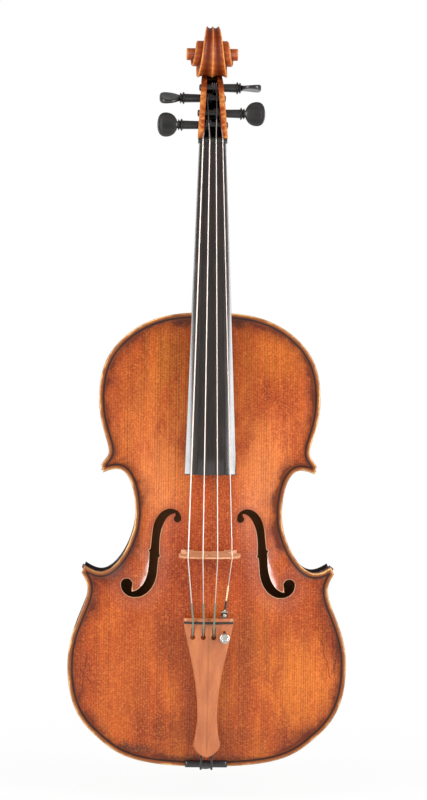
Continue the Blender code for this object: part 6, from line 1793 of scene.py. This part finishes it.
    def build(self) -> None:
        """Make the handle, the pegbox and the scroll."""
        handle = Shape()
        handle.loft(self.neck_rings(0.0, BOARD.nut_at - 6.0), [1.0] + [0.0] * 59 + [1.0])
        self.keep(handle.piece("neck_handle", ("neck_scroll",), sharp=40.0), Finishes.HANDLE)
        pegbox = self.keep(self.pegbox().piece("pegbox", sharp=32.0), Finishes.SCROLL)
        cut(pegbox, self.slot_shape())
        self.mark_slot(pegbox.data)
        self.keep(self.scroll().piece("scroll", sharp=48.0), Finishes.SCROLL)


@dataclass(frozen=True)
class PegPlace:
    """One peg: its CAD names, where it crosses the pegbox, and how its head is turned."""

    letter: str
    side: int
    above_nut: float
    below_front: float
    turned: float
    shank: float                    # from the cheek to the collar


PEGS = (PegPlace("c", -1, 13.4, 10.2, 0.0, 15.0), PegPlace("g", -1, 39.8, 11.5, 61.0, 14.9),
        PegPlace("d", 1, 50.0, 6.8, 90.0, 12.2), PegPlace("a", 1, 24.9, 10.2, 0.0, 13.9))
STRING_RADII = (0.60, 0.50, 0.42, 0.36)


@dataclass
class Pegs(Assembly):
    """Four turned ebony pegs with the string wound on each."""

    head: Head
    tip_radius: float = 3.2
    head_radius: float = 3.7
    head_half: float = 11.1
    head_stretch: float = 18.8 / 16.6       # the stations below were taken on a head 16.6 mm long
    turns: float = 2.5
    pitch: float = 1.85
    collars: tuple[Plan, ...] = ((-0.6, 4.6), (-0.1, 5.5), (0.6, 5.6), (1.2, 4.6), (1.6, 3.6), (2.0, 3.6),
                                 (2.4, 4.7), (2.9, 5.1), (3.4, 4.5), (3.8, 3.4), (4.2, 3.0))
    widths: tuple[Plan, ...] = ((0.0, 0.30), (1.0, 0.52), (3.0, 0.78), (6.0, 0.95), (9.0, 1.0), (12.0, 0.95),
                                (14.3, 0.76), (15.6, 0.46), (16.0, 0.2))
    rims: tuple[Plan, ...] = ((0.0, 5.4), (2.0, 4.6), (5.0, 4.8), (9.0, 6.0), (12.5, 7.5), (14.8, 7.4), (15.7, 5.8),
                              (16.0, 3.8))
    middles: tuple[Plan, ...] = ((0.0, 5.4), (2.5, 3.8), (6.0, 3.0), (9.0, 2.8), (12.0, 3.3), (14.5, 5.2),
                                 (15.7, 4.6), (16.0, 3.2))

    def radius(self, half: float, x: float) -> float:
        """Radius of the taper at a distance from the middle."""
        return self.tip_radius + (self.head_radius - self.tip_radius) * (x + half) / (2 * half)

    def axis(self, peg: PegPlace) -> Plan:
        """Where a peg crosses the pegbox: up the length, and out of the belly."""
        y = self.head.nut_far + peg.above_nut
        return y, self.head.front(y) - peg.below_front

    def outer_turn(self, index: int) -> float:
        """How far out the last turn of a string lies on its peg."""
        return self.head.slot_half(self.axis(PEGS[index])[0]) - STRING_RADII[index] - 0.55

    def head_ring(self, peg: PegPlace, x: float, d: float) -> list[Bench]:
        """A section of the flat head, dished between thick rims.

        Args:
            peg: the peg.
            x: how far out the section lies.
            d: how far it lies from the collar, before the head's length is scaled.

        Returns:
            The section's points.
        """
        y, z = self.axis(peg)
        wide, rim, middle = [through(stations, d) for stations in (self.widths, self.rims, self.middles)]
        angle = radians(peg.turned)
        ring = []
        for c, s in circle(1.0):
            thick = middle + (rim - middle) * abs(c) ** 2.2
            out = thick / 2 * (1 if s > 0 else -1 if s < 0 else 0) * abs(s) ** 0.55
            across = self.head_half * wide * c
            ring.append((peg.side * x, y + across * cos(angle) - out * sin(angle),
                         z + peg.side * (across * sin(angle) + out * cos(angle))))
        return ring

    def turned(self, peg: PegPlace) -> Shape:
        """One peg: domed tip, taper, two collars and a dished head with a thick rim.

        Args:
            peg: the peg.

        Returns:
            Its shape.
        """
        y, z = self.axis(peg)
        half = self.head.half(y)
        collar, tip = half + peg.shank, -half - 1.6
        profile = [(tip, 0.6), (tip + 0.08, 1.6), (tip + 0.35, 2.5), (tip + 0.9, self.radius(half, tip))]
        profile += [(x, self.radius(half, x)) for x in (-half, 0.0, half, collar - 0.7)]
        profile += [(collar + d, r) for d, r in self.collars]
        rings = [[(peg.side * x, y + c, z + peg.side * s) for c, s in circle(r)] for x, r in profile]
        for d in (0.3, 0.9, 1.6, 2.5, 3.6, 4.8, 6.0, 7.4, 9.0, 10.5, 12.0, 13.2, 14.2, 15.0, 15.5, 15.85, 16.0):
            rings.append(self.head_ring(peg, collar + 4.2 + d * self.head_stretch, d))
        shape = Shape()
        shape.loft(rings)
        return shape

    def helix(self, index: int) -> list[Bench]:
        """The turns of string on a peg, from the first laid on to the arriving one.

        Args:
            index: the string, from the lowest one.

        Returns:
            The route's points.
        """
        peg, wire = PEGS[index], STRING_RADII[index] + 0.05
        y, z = self.axis(peg)
        outer = self.outer_turn(index)
        inner = outer - self.turns * self.pitch
        count = int(self.turns * 48)
        points = []
        for i in range(count + 1):
            x, angle = inner + (outer - inner) * i / count, 2 * pi * self.turns * i / count
            r = self.radius(self.head.half(y), x) + 0.15 + wire
            points.append((peg.side * x, y + r * sin(angle), z + r * cos(angle)))
        return points

    def arrival(self, index: int) -> Bench:
        """Where the string comes in, just above its outermost turn.

        Args:
            index: the string, from the lowest one.

        Returns:
            The place.
        """
        peg, radius, outer = PEGS[index], STRING_RADII[index], self.outer_turn(index)
        y, z = self.axis(peg)
        swept = self.radius(self.head.half(y), outer) + 0.3 + 2 * (radius + 0.05)
        return (peg.side * outer, y, z + swept + 0.2 + radius)

    def build(self) -> None:
        """Make all four with their windings."""
        for index, peg in enumerate(PEGS):
            body, letter = f"{peg.letter}_peg", peg.letter
            made = self.turned(peg).piece(f"peg_{letter}_piece", (f"peg_{letter}",), body, 50.0)
            self.keep(made, Finishes.FITTING)
            winding = cord(f"winding_{letter}_piece", self.helix(index), STRING_RADII[index] + 0.05,
                           (f"winding_{letter}",), body)
            self.keep(winding, Finishes.PEG_SILK)


@dataclass
class Bridge(Assembly):
    """The maple bridge: two feet, arch, heart and waisted sides, thinned to its crown."""

    at: float = 192.0
    feet: float = 50.0
    crown_width: float = 38.8
    foot_thick: float = 5.5
    crown_thick: float = 1.5
    lift: float = 7.1
    tilt: float = 0.062

    def crown(self, x: float) -> float:
        """Height of its crown."""
        return BOARD.crown(self.at) + self.lift - self.tilt * x - BOARD.fall(x)

    def belly(self, x: float) -> float:
        """Height of the belly under a foot."""
        return float(BELLY.outside(np.array([(x, self.at)]), np.array([30.0]))[0])

    def thickness(self, z: float) -> float:
        """Thickness at a height, least at the crown.

        Args:
            z: the height.

        Returns:
            The thickness.
        """
        spring, top = self.belly(0.0) + 0.3, self.crown(0.0)
        share = smooth((z - spring) / (top - spring) * 0.9 + 0.1)
        return self.foot_thick + (self.crown_thick - self.foot_thick) * share

    def half_outline(self, side: int) -> list[Plan]:
        """One half from the crown's middle down to the arch.

        Args:
            side: 1 for the right-hand half, -1 for the left-hand one.

        Returns:
            The outline's points.
        """
        foot = self.feet / 2
        half = self.crown_width / 2 + 3.2
        low = self.belly(foot) + 0.3
        z = self.crown(side * half)
        knots = [(half + 1.4, z - 1.8), (half + 3.6, z - 7.0), (half + 4.8, z - 12.0), (half + 4.0, z - 14.6),
                 (half + 1.6, z - 15.0), (half - 1.8, z - 12.6), (half - 5.0, z - 12.8), (half - 6.6, z - 15.6),
                 (half - 5.2, z - 18.4), (half - 2.0, z - 20.0), (foot - 4.2, low + 9.0), (foot - 4.0, low + 6.0),
                 (foot - 1.4, low + 4.2), (foot, low + 2.6)]
        curve = self.softened([(side * a, b) for a, b in knots])
        crown = [(side * half * t, self.crown(side * half * t)) for t in np.linspace(0, 1, 12)]
        sole = [(side * a, self.belly(a) + 0.25) for a in np.linspace(foot, foot - 11.0, 8)]
        arch = [(foot - 11.4, low + 2.9), (foot - 10.0, low + 5.2), (foot - 11.6, low + 8.2), (foot - 15.0, low + 9.8),
                (foot - 20.0, low + 8.8)]
        return crown + curve + sole + self.softened([(side * a, b) for a, b in arch])

    @staticmethod
    def softened(knots: list[Plan]) -> list[Plan]:
        """A rounded run through a row of knots.

        Args:
            knots: the knots in order.

        Returns:
            The run's points.
        """
        xs = [(float(i), p[0]) for i, p in enumerate(knots)]
        zs = [(float(i), p[1]) for i, p in enumerate(knots)]
        at = np.linspace(0, len(knots) - 1, (len(knots) - 1) * 4 + 1)
        return [(through(xs, t), through(zs, t)) for t in at]

    def build(self) -> None:
        """Make the bridge as a slab that follows its outline, thicker at the feet."""
        right, left = self.half_outline(1), self.half_outline(-1)
        spring, top = self.belly(0.0) + 0.3, self.crown(0.0)
        loop = right + [(0.0, spring + 9.4)] + left[:0:-1]
        h = top - 14.0
        knots = [(0.0, h + 3.2), (1.6, h + 4.6), (3.4, h + 3.9), (3.8, h + 1.8), (2.2, h - 0.6), (1.0, h - 3.4),
                 (0.0, h - 4.6)]
        half = self.softened(knots)
        heart = half + [(-x, z) for x, z in half[-2:0:-1]]
        plan, faces = triangulate([loop], [heart], np.zeros((0, 2)))
        rear = self.at - self.crown_thick / 2
        shape = Shape()
        for front in (0, 1):
            first = len(shape.points)
            for x, z in plan:
                shape.add((x, rear + front * self.thickness(z), z))
            shape.faces.extend(tuple(first + i for i in f) for f in faces)
        for ring in (loop, heart):
            shape.band([shape.add((x, rear, z)) for x, z in ring],
                       [shape.add((x, rear + self.thickness(z), z)) for x, z in ring])
        self.keep(shape.piece("bridge_piece", ("bridge",), sharp=30.0, bevel_mm=0.2), Finishes.BRIDGE)


BRIDGE = Bridge()


@dataclass
class Tailpiece(Assembly):
    """The boxwood tailpiece with a ridge down its middle, its string holes and the ebony rest."""

    low_at: float = 10.5
    length: float = 126.5
    top_width: float = 45.3
    low_z: float = 12.4
    top_z: float = 33.0
    rise: float = 4.2
    rest_from_top: float = 4.0
    holes_from_top: float = 17.0
    spread: float = 28.0

    def half(self, y: float) -> float:
        """Half width along its length.

        Args:
            y: a place up the length.

        Returns:
            The half width.
        """
        return through(((0.0, 1.4), (1.4, 4.8), (4.95, 9.2), (8.8, 11.7), (10.6, 12.1), (12.6, 11.8),
                        (24.0, 9.9), (42.0, 8.95), (71.4, 11.8),
                        (self.length - 8.0, self.top_width * 0.475), (self.length, self.top_width / 2)),
                       y - self.low_at)

    def ridge(self, y: float) -> float:
        """Height of its middle line."""
        return self.low_z + (self.top_z - self.low_z) * (y - self.low_at) / self.length

    def crown(self, y: float) -> float:
        """How far the ridge stands over the edges."""
        return self.rise * (0.35 + 0.65 * self.half(y) / (self.top_width / 2))

    def top(self, x: float, y: float) -> float:
        """Height of its upper surface."""
        return self.ridge(y) - self.crown(y) * min(abs(x) / self.half(y), 1.0) ** 1.5

    def under(self, x: float, y: float) -> float:
        """Height of its lower surface.

        Args:
            x: a place across.
            y: a place up the length.

        Returns:
            The height.
        """
        t = min(abs(x) / self.half(y), 1.0)
        thick = 4.0 + 1.5 * (y - self.low_at) / self.length
        return self.ridge(y) - thick - 0.75 * self.crown(y) * t ** 1.5

    def string_x(self, index: int) -> float:
        """Place of a string's hole across."""
        return self.spread * (index / 3 - 0.5)

    def keyhole(self, index: int) -> list[Plan]:
        """The hole and slot for a string's end, seen from above.

        Args:
            index: the string, from the lowest one.

        Returns:
            The loop's points.
        """
        x, y = self.string_x(index), self.low_at + self.length - self.holes_from_top
        radius, half = (2.3, 1.45) if index < 3 else (2.15, 1.1)
        turn = 38.0
        loop = arc(x, y, radius, 90 + turn, 450 - turn, 28)
        slot = 9.0 if index < 3 else 6.0
        loop += [(x + half, y + 3.0)] + arc(x, y + slot - half, half, 0, 180, 8) + [(x - half, y + 3.0)]
        return loop

    def section(self, d: float, shares: np.ndarray) -> list[Bench]:
        """A closed section: the ridged upper side and the hollowed lower side, softened at the edges.

        Args:
            d: how far it lies from the lower end.
            shares: places across, from -1 to 1.

        Returns:
            The section's points.
        """
        y = self.low_at + d
        ease = 0.0 if 0.4 < d < self.length - 1.0 else 0.6
        half = self.half(y) - ease
        top = [(u * half, y, self.top(u * half, y) - ease - (0.9 if abs(u) == 1 else 0.25 if abs(u) > 0.93 else 0.0))
               for u in shares]
        low = [(u * half, y, self.under(u * half, y) + ease + (0.6 if abs(u) == 1 else 0.0)) for u in shares]
        return top + low[::-1]

    def build(self) -> None:
        """Make the body with its holes, and the ebony bar that the strings bear on."""
        places = np.concatenate([np.linspace(0, 6, 9), np.linspace(8, self.length - 3, 50),
                                 self.length - np.array([1.6, 0.8, 0.3, 0.0])])
        shares = np.linspace(-1, 1, 33)
        shape = Shape()
        shape.loft([self.section(d, shares) for d in places],
                   [0.55 if abs(u) < 0.01 else 0.2 if abs(u) < 0.08 else 0.0 for u in shares] + [0.0] * 33)
        made = self.keep(shape.piece("tailpiece_body", ("tailpiece",), sharp=44.0), Finishes.TAIL)
        y = self.low_at + self.length - self.holes_from_top
        for index in range(4):
            hole = Shape()
            hole.loft([[(px, py, z) for px, py in self.keyhole(index)]
                       for z in (self.under(0, y) - 12.0, self.top(0, y) + 12.0)])
            cut(made, hole)
        y = self.low_at + self.length - self.rest_from_top
        half = self.half(y) - 0.2
        bar = Shape()
        bar.loft([[(x, y + d, self.top(x, y) + h) for d, h in
                   ((-1.0, -1.3), (1.0, -1.3), (1.0, 0.6), (0.7, 1.2), (0.0, 1.5), (-0.7, 1.2), (-1.0, 0.6))]
                  for x in np.linspace(half, -half, 33)])
        self.keep(bar.piece("tailpiece_rest_piece", ("tailpiece_rest",), sharp=40.0), Finishes.FITTING)


TAIL = Tailpiece()


@dataclass
class Strings(Assembly):
    """Four strings from the tailpiece over the bridge and nut to their pegs."""

    pegs: Pegs
    nut_spread: float = 17.9
    bridge_spread: float = 38.8
    silk: float = 0.75
    fork_at: float = 144.4          # where the fine tuner's fork holds the A string

    def build(self) -> None:
        """Make each string in its lengths: silk below the bridge, bare above it."""
        for index, peg in enumerate(PEGS):
            self.build_string(index, peg.letter)

    def tail_end(self, index: int) -> list[Bench]:
        """A string's lower end: up through its hole and over the rest, or from the tuner's fork.

        Args:
            index: the string, from the lowest one.

        Returns:
            The route up to the free length.
        """
        x = TAIL.string_x(index)
        hole = TAIL.low_at + TAIL.length - TAIL.holes_from_top
        rest_at = TAIL.low_at + TAIL.length - TAIL.rest_from_top
        rest = TAIL.top(x, rest_at) + 1.5 + self.silk + 0.05
        if index == 3:
            return [(x, self.fork_at, rest - 0.3)]
        return [(x, hole - 0.6, TAIL.under(x, hole) - 1.0), (x, hole + 1.2, TAIL.top(x, hole + 3) - 2.0),
                (x, rest_at - 1.2, rest - 0.1), (x, rest_at, rest), (x, rest_at + 1.2, rest + 0.1)]

    def build_string(self, index: int, letter: str) -> None:
        """One string with its silk.

        Args:
            index: the string, from the lowest one.
            letter: its name.
        """
        radius, name = STRING_RADII[index], f"string_{letter}"
        bridge_x, nut_x = [spread * (index / 3 - 0.5) for spread in (self.bridge_spread, self.nut_spread)]
        start = self.tail_end(index)
        crown = BRIDGE.crown(bridge_x) + radius + 0.05
        last, before = start[-1], (bridge_x, BRIDGE.at - 1.0, crown)
        silk_to = between(last, before, 0.48 if index == 3 else 0.30)
        self.keep(cord(f"{name}_silk", start + [silk_to], self.silk, (name,)),
                  Finishes.GOLD_SILK if index == 3 else Finishes.SILK)
        if index == 3:
            sleeve = [between(last, before, share) for share in (0.02, 0.19)]
            self.keep(cord("string_a_sleeve", sleeve, self.silk + 0.22), Finishes.SLEEVE)
        nut_at, nut_top = BOARD.nut_at, BOARD.crown(BOARD.nut_at) + 0.9 - BOARD.fall(nut_x) + radius + 0.05
        arrive, beyond = self.pegs.arrival(index), (nut_x * 0.995, nut_at + 5.0, nut_top - 1.4)
        silk_from = between(beyond, arrive, 0.35)
        run = [silk_to, (bridge_x, BRIDGE.at - 0.9, crown), (bridge_x, BRIDGE.at + 0.9, crown),
               (nut_x, nut_at + 0.3, nut_top), (nut_x, nut_at + 2.4, nut_top), beyond, silk_from]
        self.keep(cord(f"{name}_length", run, radius), Finishes.STRING)
        self.keep(cord(f"{name}_peg_end", [silk_from, arrive], radius + 0.03), Finishes.PEG_SILK)


@dataclass
class EndFittings(Assembly):
    """Saddle, tail cord and end button at the lower edge."""

    saddle_half: float = 19.0
    saddle_depth: float = 6.0
    saddle_rise: float = 4.0
    button_z: float = -23.5
    button_profile: tuple[Plan, ...] = (        # a domed head, a groove for the cord, and its collar
        (-5.4, 3.9), (-5.35, 4.7), (-5.0, 5.2), (-4.4, 5.5), (-2.4, 5.5), (-1.7, 5.1), (-1.2, 4.3), (-0.8, 3.6),
        (0.2, 3.5), (1.4, 3.5), (1.8, 4.2), (2.1, 4.5), (2.4, 4.5), (2.41, 3.3), (12.0, 3.0))

    def build(self) -> None:
        """Make the saddle, the button and the tail cord."""
        self.keep(self.saddle().piece("saddle_piece", ("saddle",), sharp=50.0), Finishes.FITTING)
        button = Shape()
        button.loft([[(c, y, self.button_z + s) for c, s in circle(r)] for y, r in self.button_profile])
        self.keep(button.piece("end_button_piece", ("end_button",), sharp=45.0), Finishes.FITTING)
        self.keep(cord("tail_cord", self.cord_route(), 1.0, ("tailgut",)), Finishes.CORD)

    def saddle(self) -> Shape:
        """The saddle, which slopes down to both of its ends.

        Returns:
            Its shape.
        """
        fall = ((0.8, 1.0), (0.9, 0.93), (0.96, 0.8), (0.985, 0.6), (1.0, 0.35))
        d = self.saddle_depth
        rings = []
        for u in (-1.0, -0.985, -0.96, -0.9, *np.linspace(-0.8, 0.8, 9), 0.9, 0.96, 0.985, 1.0):
            x, rise = self.saddle_half * u, self.saddle_rise * through(fall, abs(u))
            rings.append([(x, -0.2, -4.2), (x, d, -4.2), (x, d, 0.4 * rise), (x, d * 0.9, rise * 0.8),
                          (x, d * 0.7, rise), (x, d * 0.25, rise), (x, d * 0.05, rise * 0.82), (x, -0.2, 0.5 * rise)])
        shape = Shape()
        shape.loft(rings)
        return shape

    def cord_route(self) -> list[Bench]:
        """The tail cord's way over the saddle, down and round the button, and back.

        Returns:
            The route's points.
        """
        x, z, neck = 4.8, self.button_z, 0.35
        start, leave = TAIL.low_at + 13.0, TAIL.low_at + 2.0
        down = [(x, start, TAIL.under(x, start) - 1.6), (x, leave, TAIL.under(x, leave) - 1.8),
                (x, 4.5, 5.4), (x, 1.2, 5.4), (x, -0.6, 4.6), (x, -1.5, 2.9), (x, -1.6, 0.0), (x, -1.6, -5.0),
                (x, -0.9, -8.2), (x, 0.14, -12.2), (x, neck, z + 6.0)]
        turn = [(c, neck, z + s) for c, s in arc(0.0, 0.0, x, 0.0, -180.0, 15)]
        return down + turn + [(-px, py, pz) for px, py, pz in down[::-1]]


@dataclass
class FineTuner(Assembly):
    """The nickel-plated fine tuner in the A string's hole."""

    knob_radius: float = 4.65
    ridges: int = 40
    ridge_depth: float = 0.22

    def build(self) -> None:
        """Take the small pieces from the CAD and make the knurled head."""
        for name in ("tuner_frame", "tuner_clamp_nut", "tuner_pin", "tuner_lever", "tuner_screw", "string_a_ball"):
            self.keep(frame["nodes"][name], Finishes.NICKEL)
        low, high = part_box("tuner_knob")
        x, y = (low[0] + high[0]) / 2 / MM, (low[2] + high[2]) / 2 / MM + ORIGIN_AT
        foot, top = EYE_Z - high[1] / MM, EYE_Z - low[1] / MM
        rings = []
        for z, share, knurl in ((foot, 0.70, 0.0), (foot + 0.1, 0.84, 0.3), (foot + 0.6, 1.0, 1.0),
                                (top - 0.8, 1.0, 1.0), (top - 0.35, 0.93, 0.6), (top - 0.1, 0.82, 0.0),
                                (top, 0.72, 0.0), (top - 0.05, 0.60, 0.0), (top - 0.35, 0.5, 0.0),
                                (top - 0.4, 0.1, 0.0)):
            ring = []
            for i, (c, s) in enumerate(circle(1.0, 3 * self.ridges)):
                groove = 0.5 - 0.5 * cos(2 * pi * i / 3)
                r = self.knob_radius * share - self.ridge_depth * knurl * groove
                ring.append((x + r * c, y + r * s, z))
            rings.append(ring)
        shape = Shape()
        shape.loft(rings)
        self.keep(shape.piece("tuner_head_piece", ("tuner_knob",), "knob", 30.0), Finishes.NICKEL)


@dataclass
class Studio:
    """White ground and background, two tall soft lamps and the camera."""

    foot: Plan = (-64.0, 326.0)
    aim: Plan = (3.1, 331.0)
    distance: float = 1800.0
    lens: float = 89.8
    roll: float = 0.64
    floor_at: float = -30.0
    fill: float = 0.45

    def build(self) -> None:
        """Set up everything round the instrument."""
        self.ground()
        self.surroundings()
        self.lamps()
        self.camera()

    @staticmethod
    def seen(tree: bpy.types.NodeTree, *rays: str) -> Socket:
        """One for these kinds of ray, nothing for others.

        Args:
            tree: the tree that asks.
            rays: the kinds by name.

        Returns:
            One or nothing.
        """
        path = add_node(tree, "LightPath").outputs
        share = path[f"Is {rays[0]} Ray"]
        for ray in rays[1:]:
            share = Palette(tree).math("MAXIMUM", share, path[f"Is {ray} Ray"])
        return share

    def ground(self) -> None:
        """A wide pale floor just under the instrument, white to the camera but for some of the shadow."""
        z = (self.floor_at - ORIGIN_AT) * MM
        mesh = bpy.data.meshes.new("floor")
        mesh.from_pydata([(-6, -6, z), (6, -6, z), (6, 8, z), (-6, 8, z)], [], [(0, 1, 2, 3)])
        made = bpy.data.materials.new("floor, white paper")
        made.use_nodes = True
        tree = made.node_tree
        tree.nodes.clear()
        paint = Palette(tree)
        shown = paint.span(paint.distance((0.0, 0.0, z)), 0.12, 0.5, 0.92, 1.0)
        share = paint.math("MULTIPLY", self.seen(tree, "Camera", "Glossy", "Transmission"), shown)
        paper = add_node(tree, "BsdfDiffuse", {"Color": "#F4F4F2"}).outputs[0]
        glow = add_node(tree, "Emission", {"Color": "#FFFFFF", "Strength": 1.0}).outputs[0]
        mixed = add_node(tree, "MixShader", {0: share, 1: paper, 2: glow}).outputs[0]
        add_node(tree, "OutputMaterial", {"Surface": mixed})
        mesh.materials.append(made)
        placed("floor", mesh)

    def surroundings(self) -> None:
        """A white room that gives an even fill."""
        room = bpy.data.worlds.new("white room")
        room.use_nodes = True
        tree = room.node_tree
        tree.nodes.clear()
        fill, shown = [add_node(tree, "Background", {"Color": "#FFFFFF", "Strength": strength}).outputs[0]
                       for strength in (self.fill, 1.0)]
        mixed = add_node(tree, "MixShader", {0: self.seen(tree, "Camera", "Transmission"), 1: fill, 2: shown})
        add_node(tree, "OutputWorld", {"Surface": mixed.outputs[0]})
        bpy.context.scene.world = room

    def lamps(self) -> None:
        """Two tall strip lamps at the sides, which draw the bright lines along both edges of the board."""
        centre, far = world((0.0, 320.0, 0.0)), 1.6
        for name, azimuth, power in (("strip_left", -56, 36.0), ("strip_right", 56, 40.0)):
            lamp = bpy.data.lights.new(name, "AREA")
            lamp.shape, lamp.size, lamp.size_y, lamp.energy = "RECTANGLE", 0.40, 2.2, power
            place = centre + Vector((far * sin(radians(azimuth)), -far * cos(radians(azimuth)), 0.15))
            made = placed(name, lamp)
            made.location = place
            made.rotation_euler = (centre - place).to_track_quat("-Z", "Y").to_euler()

    def camera(self) -> None:
        """The picture's own point of view."""
        data = bpy.data.cameras.new("camera")
        data.lens, data.sensor_width = self.lens, 36.0
        made = placed("camera", data)
        place, aim = world((*self.foot, self.distance)), world((*self.aim, 0.0))
        turn = (aim - place).to_track_quat("-Z", "Y").to_matrix().to_4x4()
        made.matrix_world = Matrix.Translation(place) @ turn @ Matrix.Rotation(radians(self.roll), 4, "Z")
        bpy.context.scene.camera = made
        bpy.context.scene.view_settings.view_transform = "Standard"


def main() -> None:
    """Build and dress the sub-assemblies in order, and set up the studio."""
    head = Head()
    pegs = Pegs(head)
    for assembly in (SoundBox(), BOARD, head, pegs, BRIDGE, TAIL, FineTuner(), EndFittings(), Strings(pegs)):
        assembly.build()
        assembly.dress()
        LOG.info("%s: %d pieces", type(assembly).__name__, len(assembly.pieces))
    Studio().build()


if __name__ == "__main__":
    main()
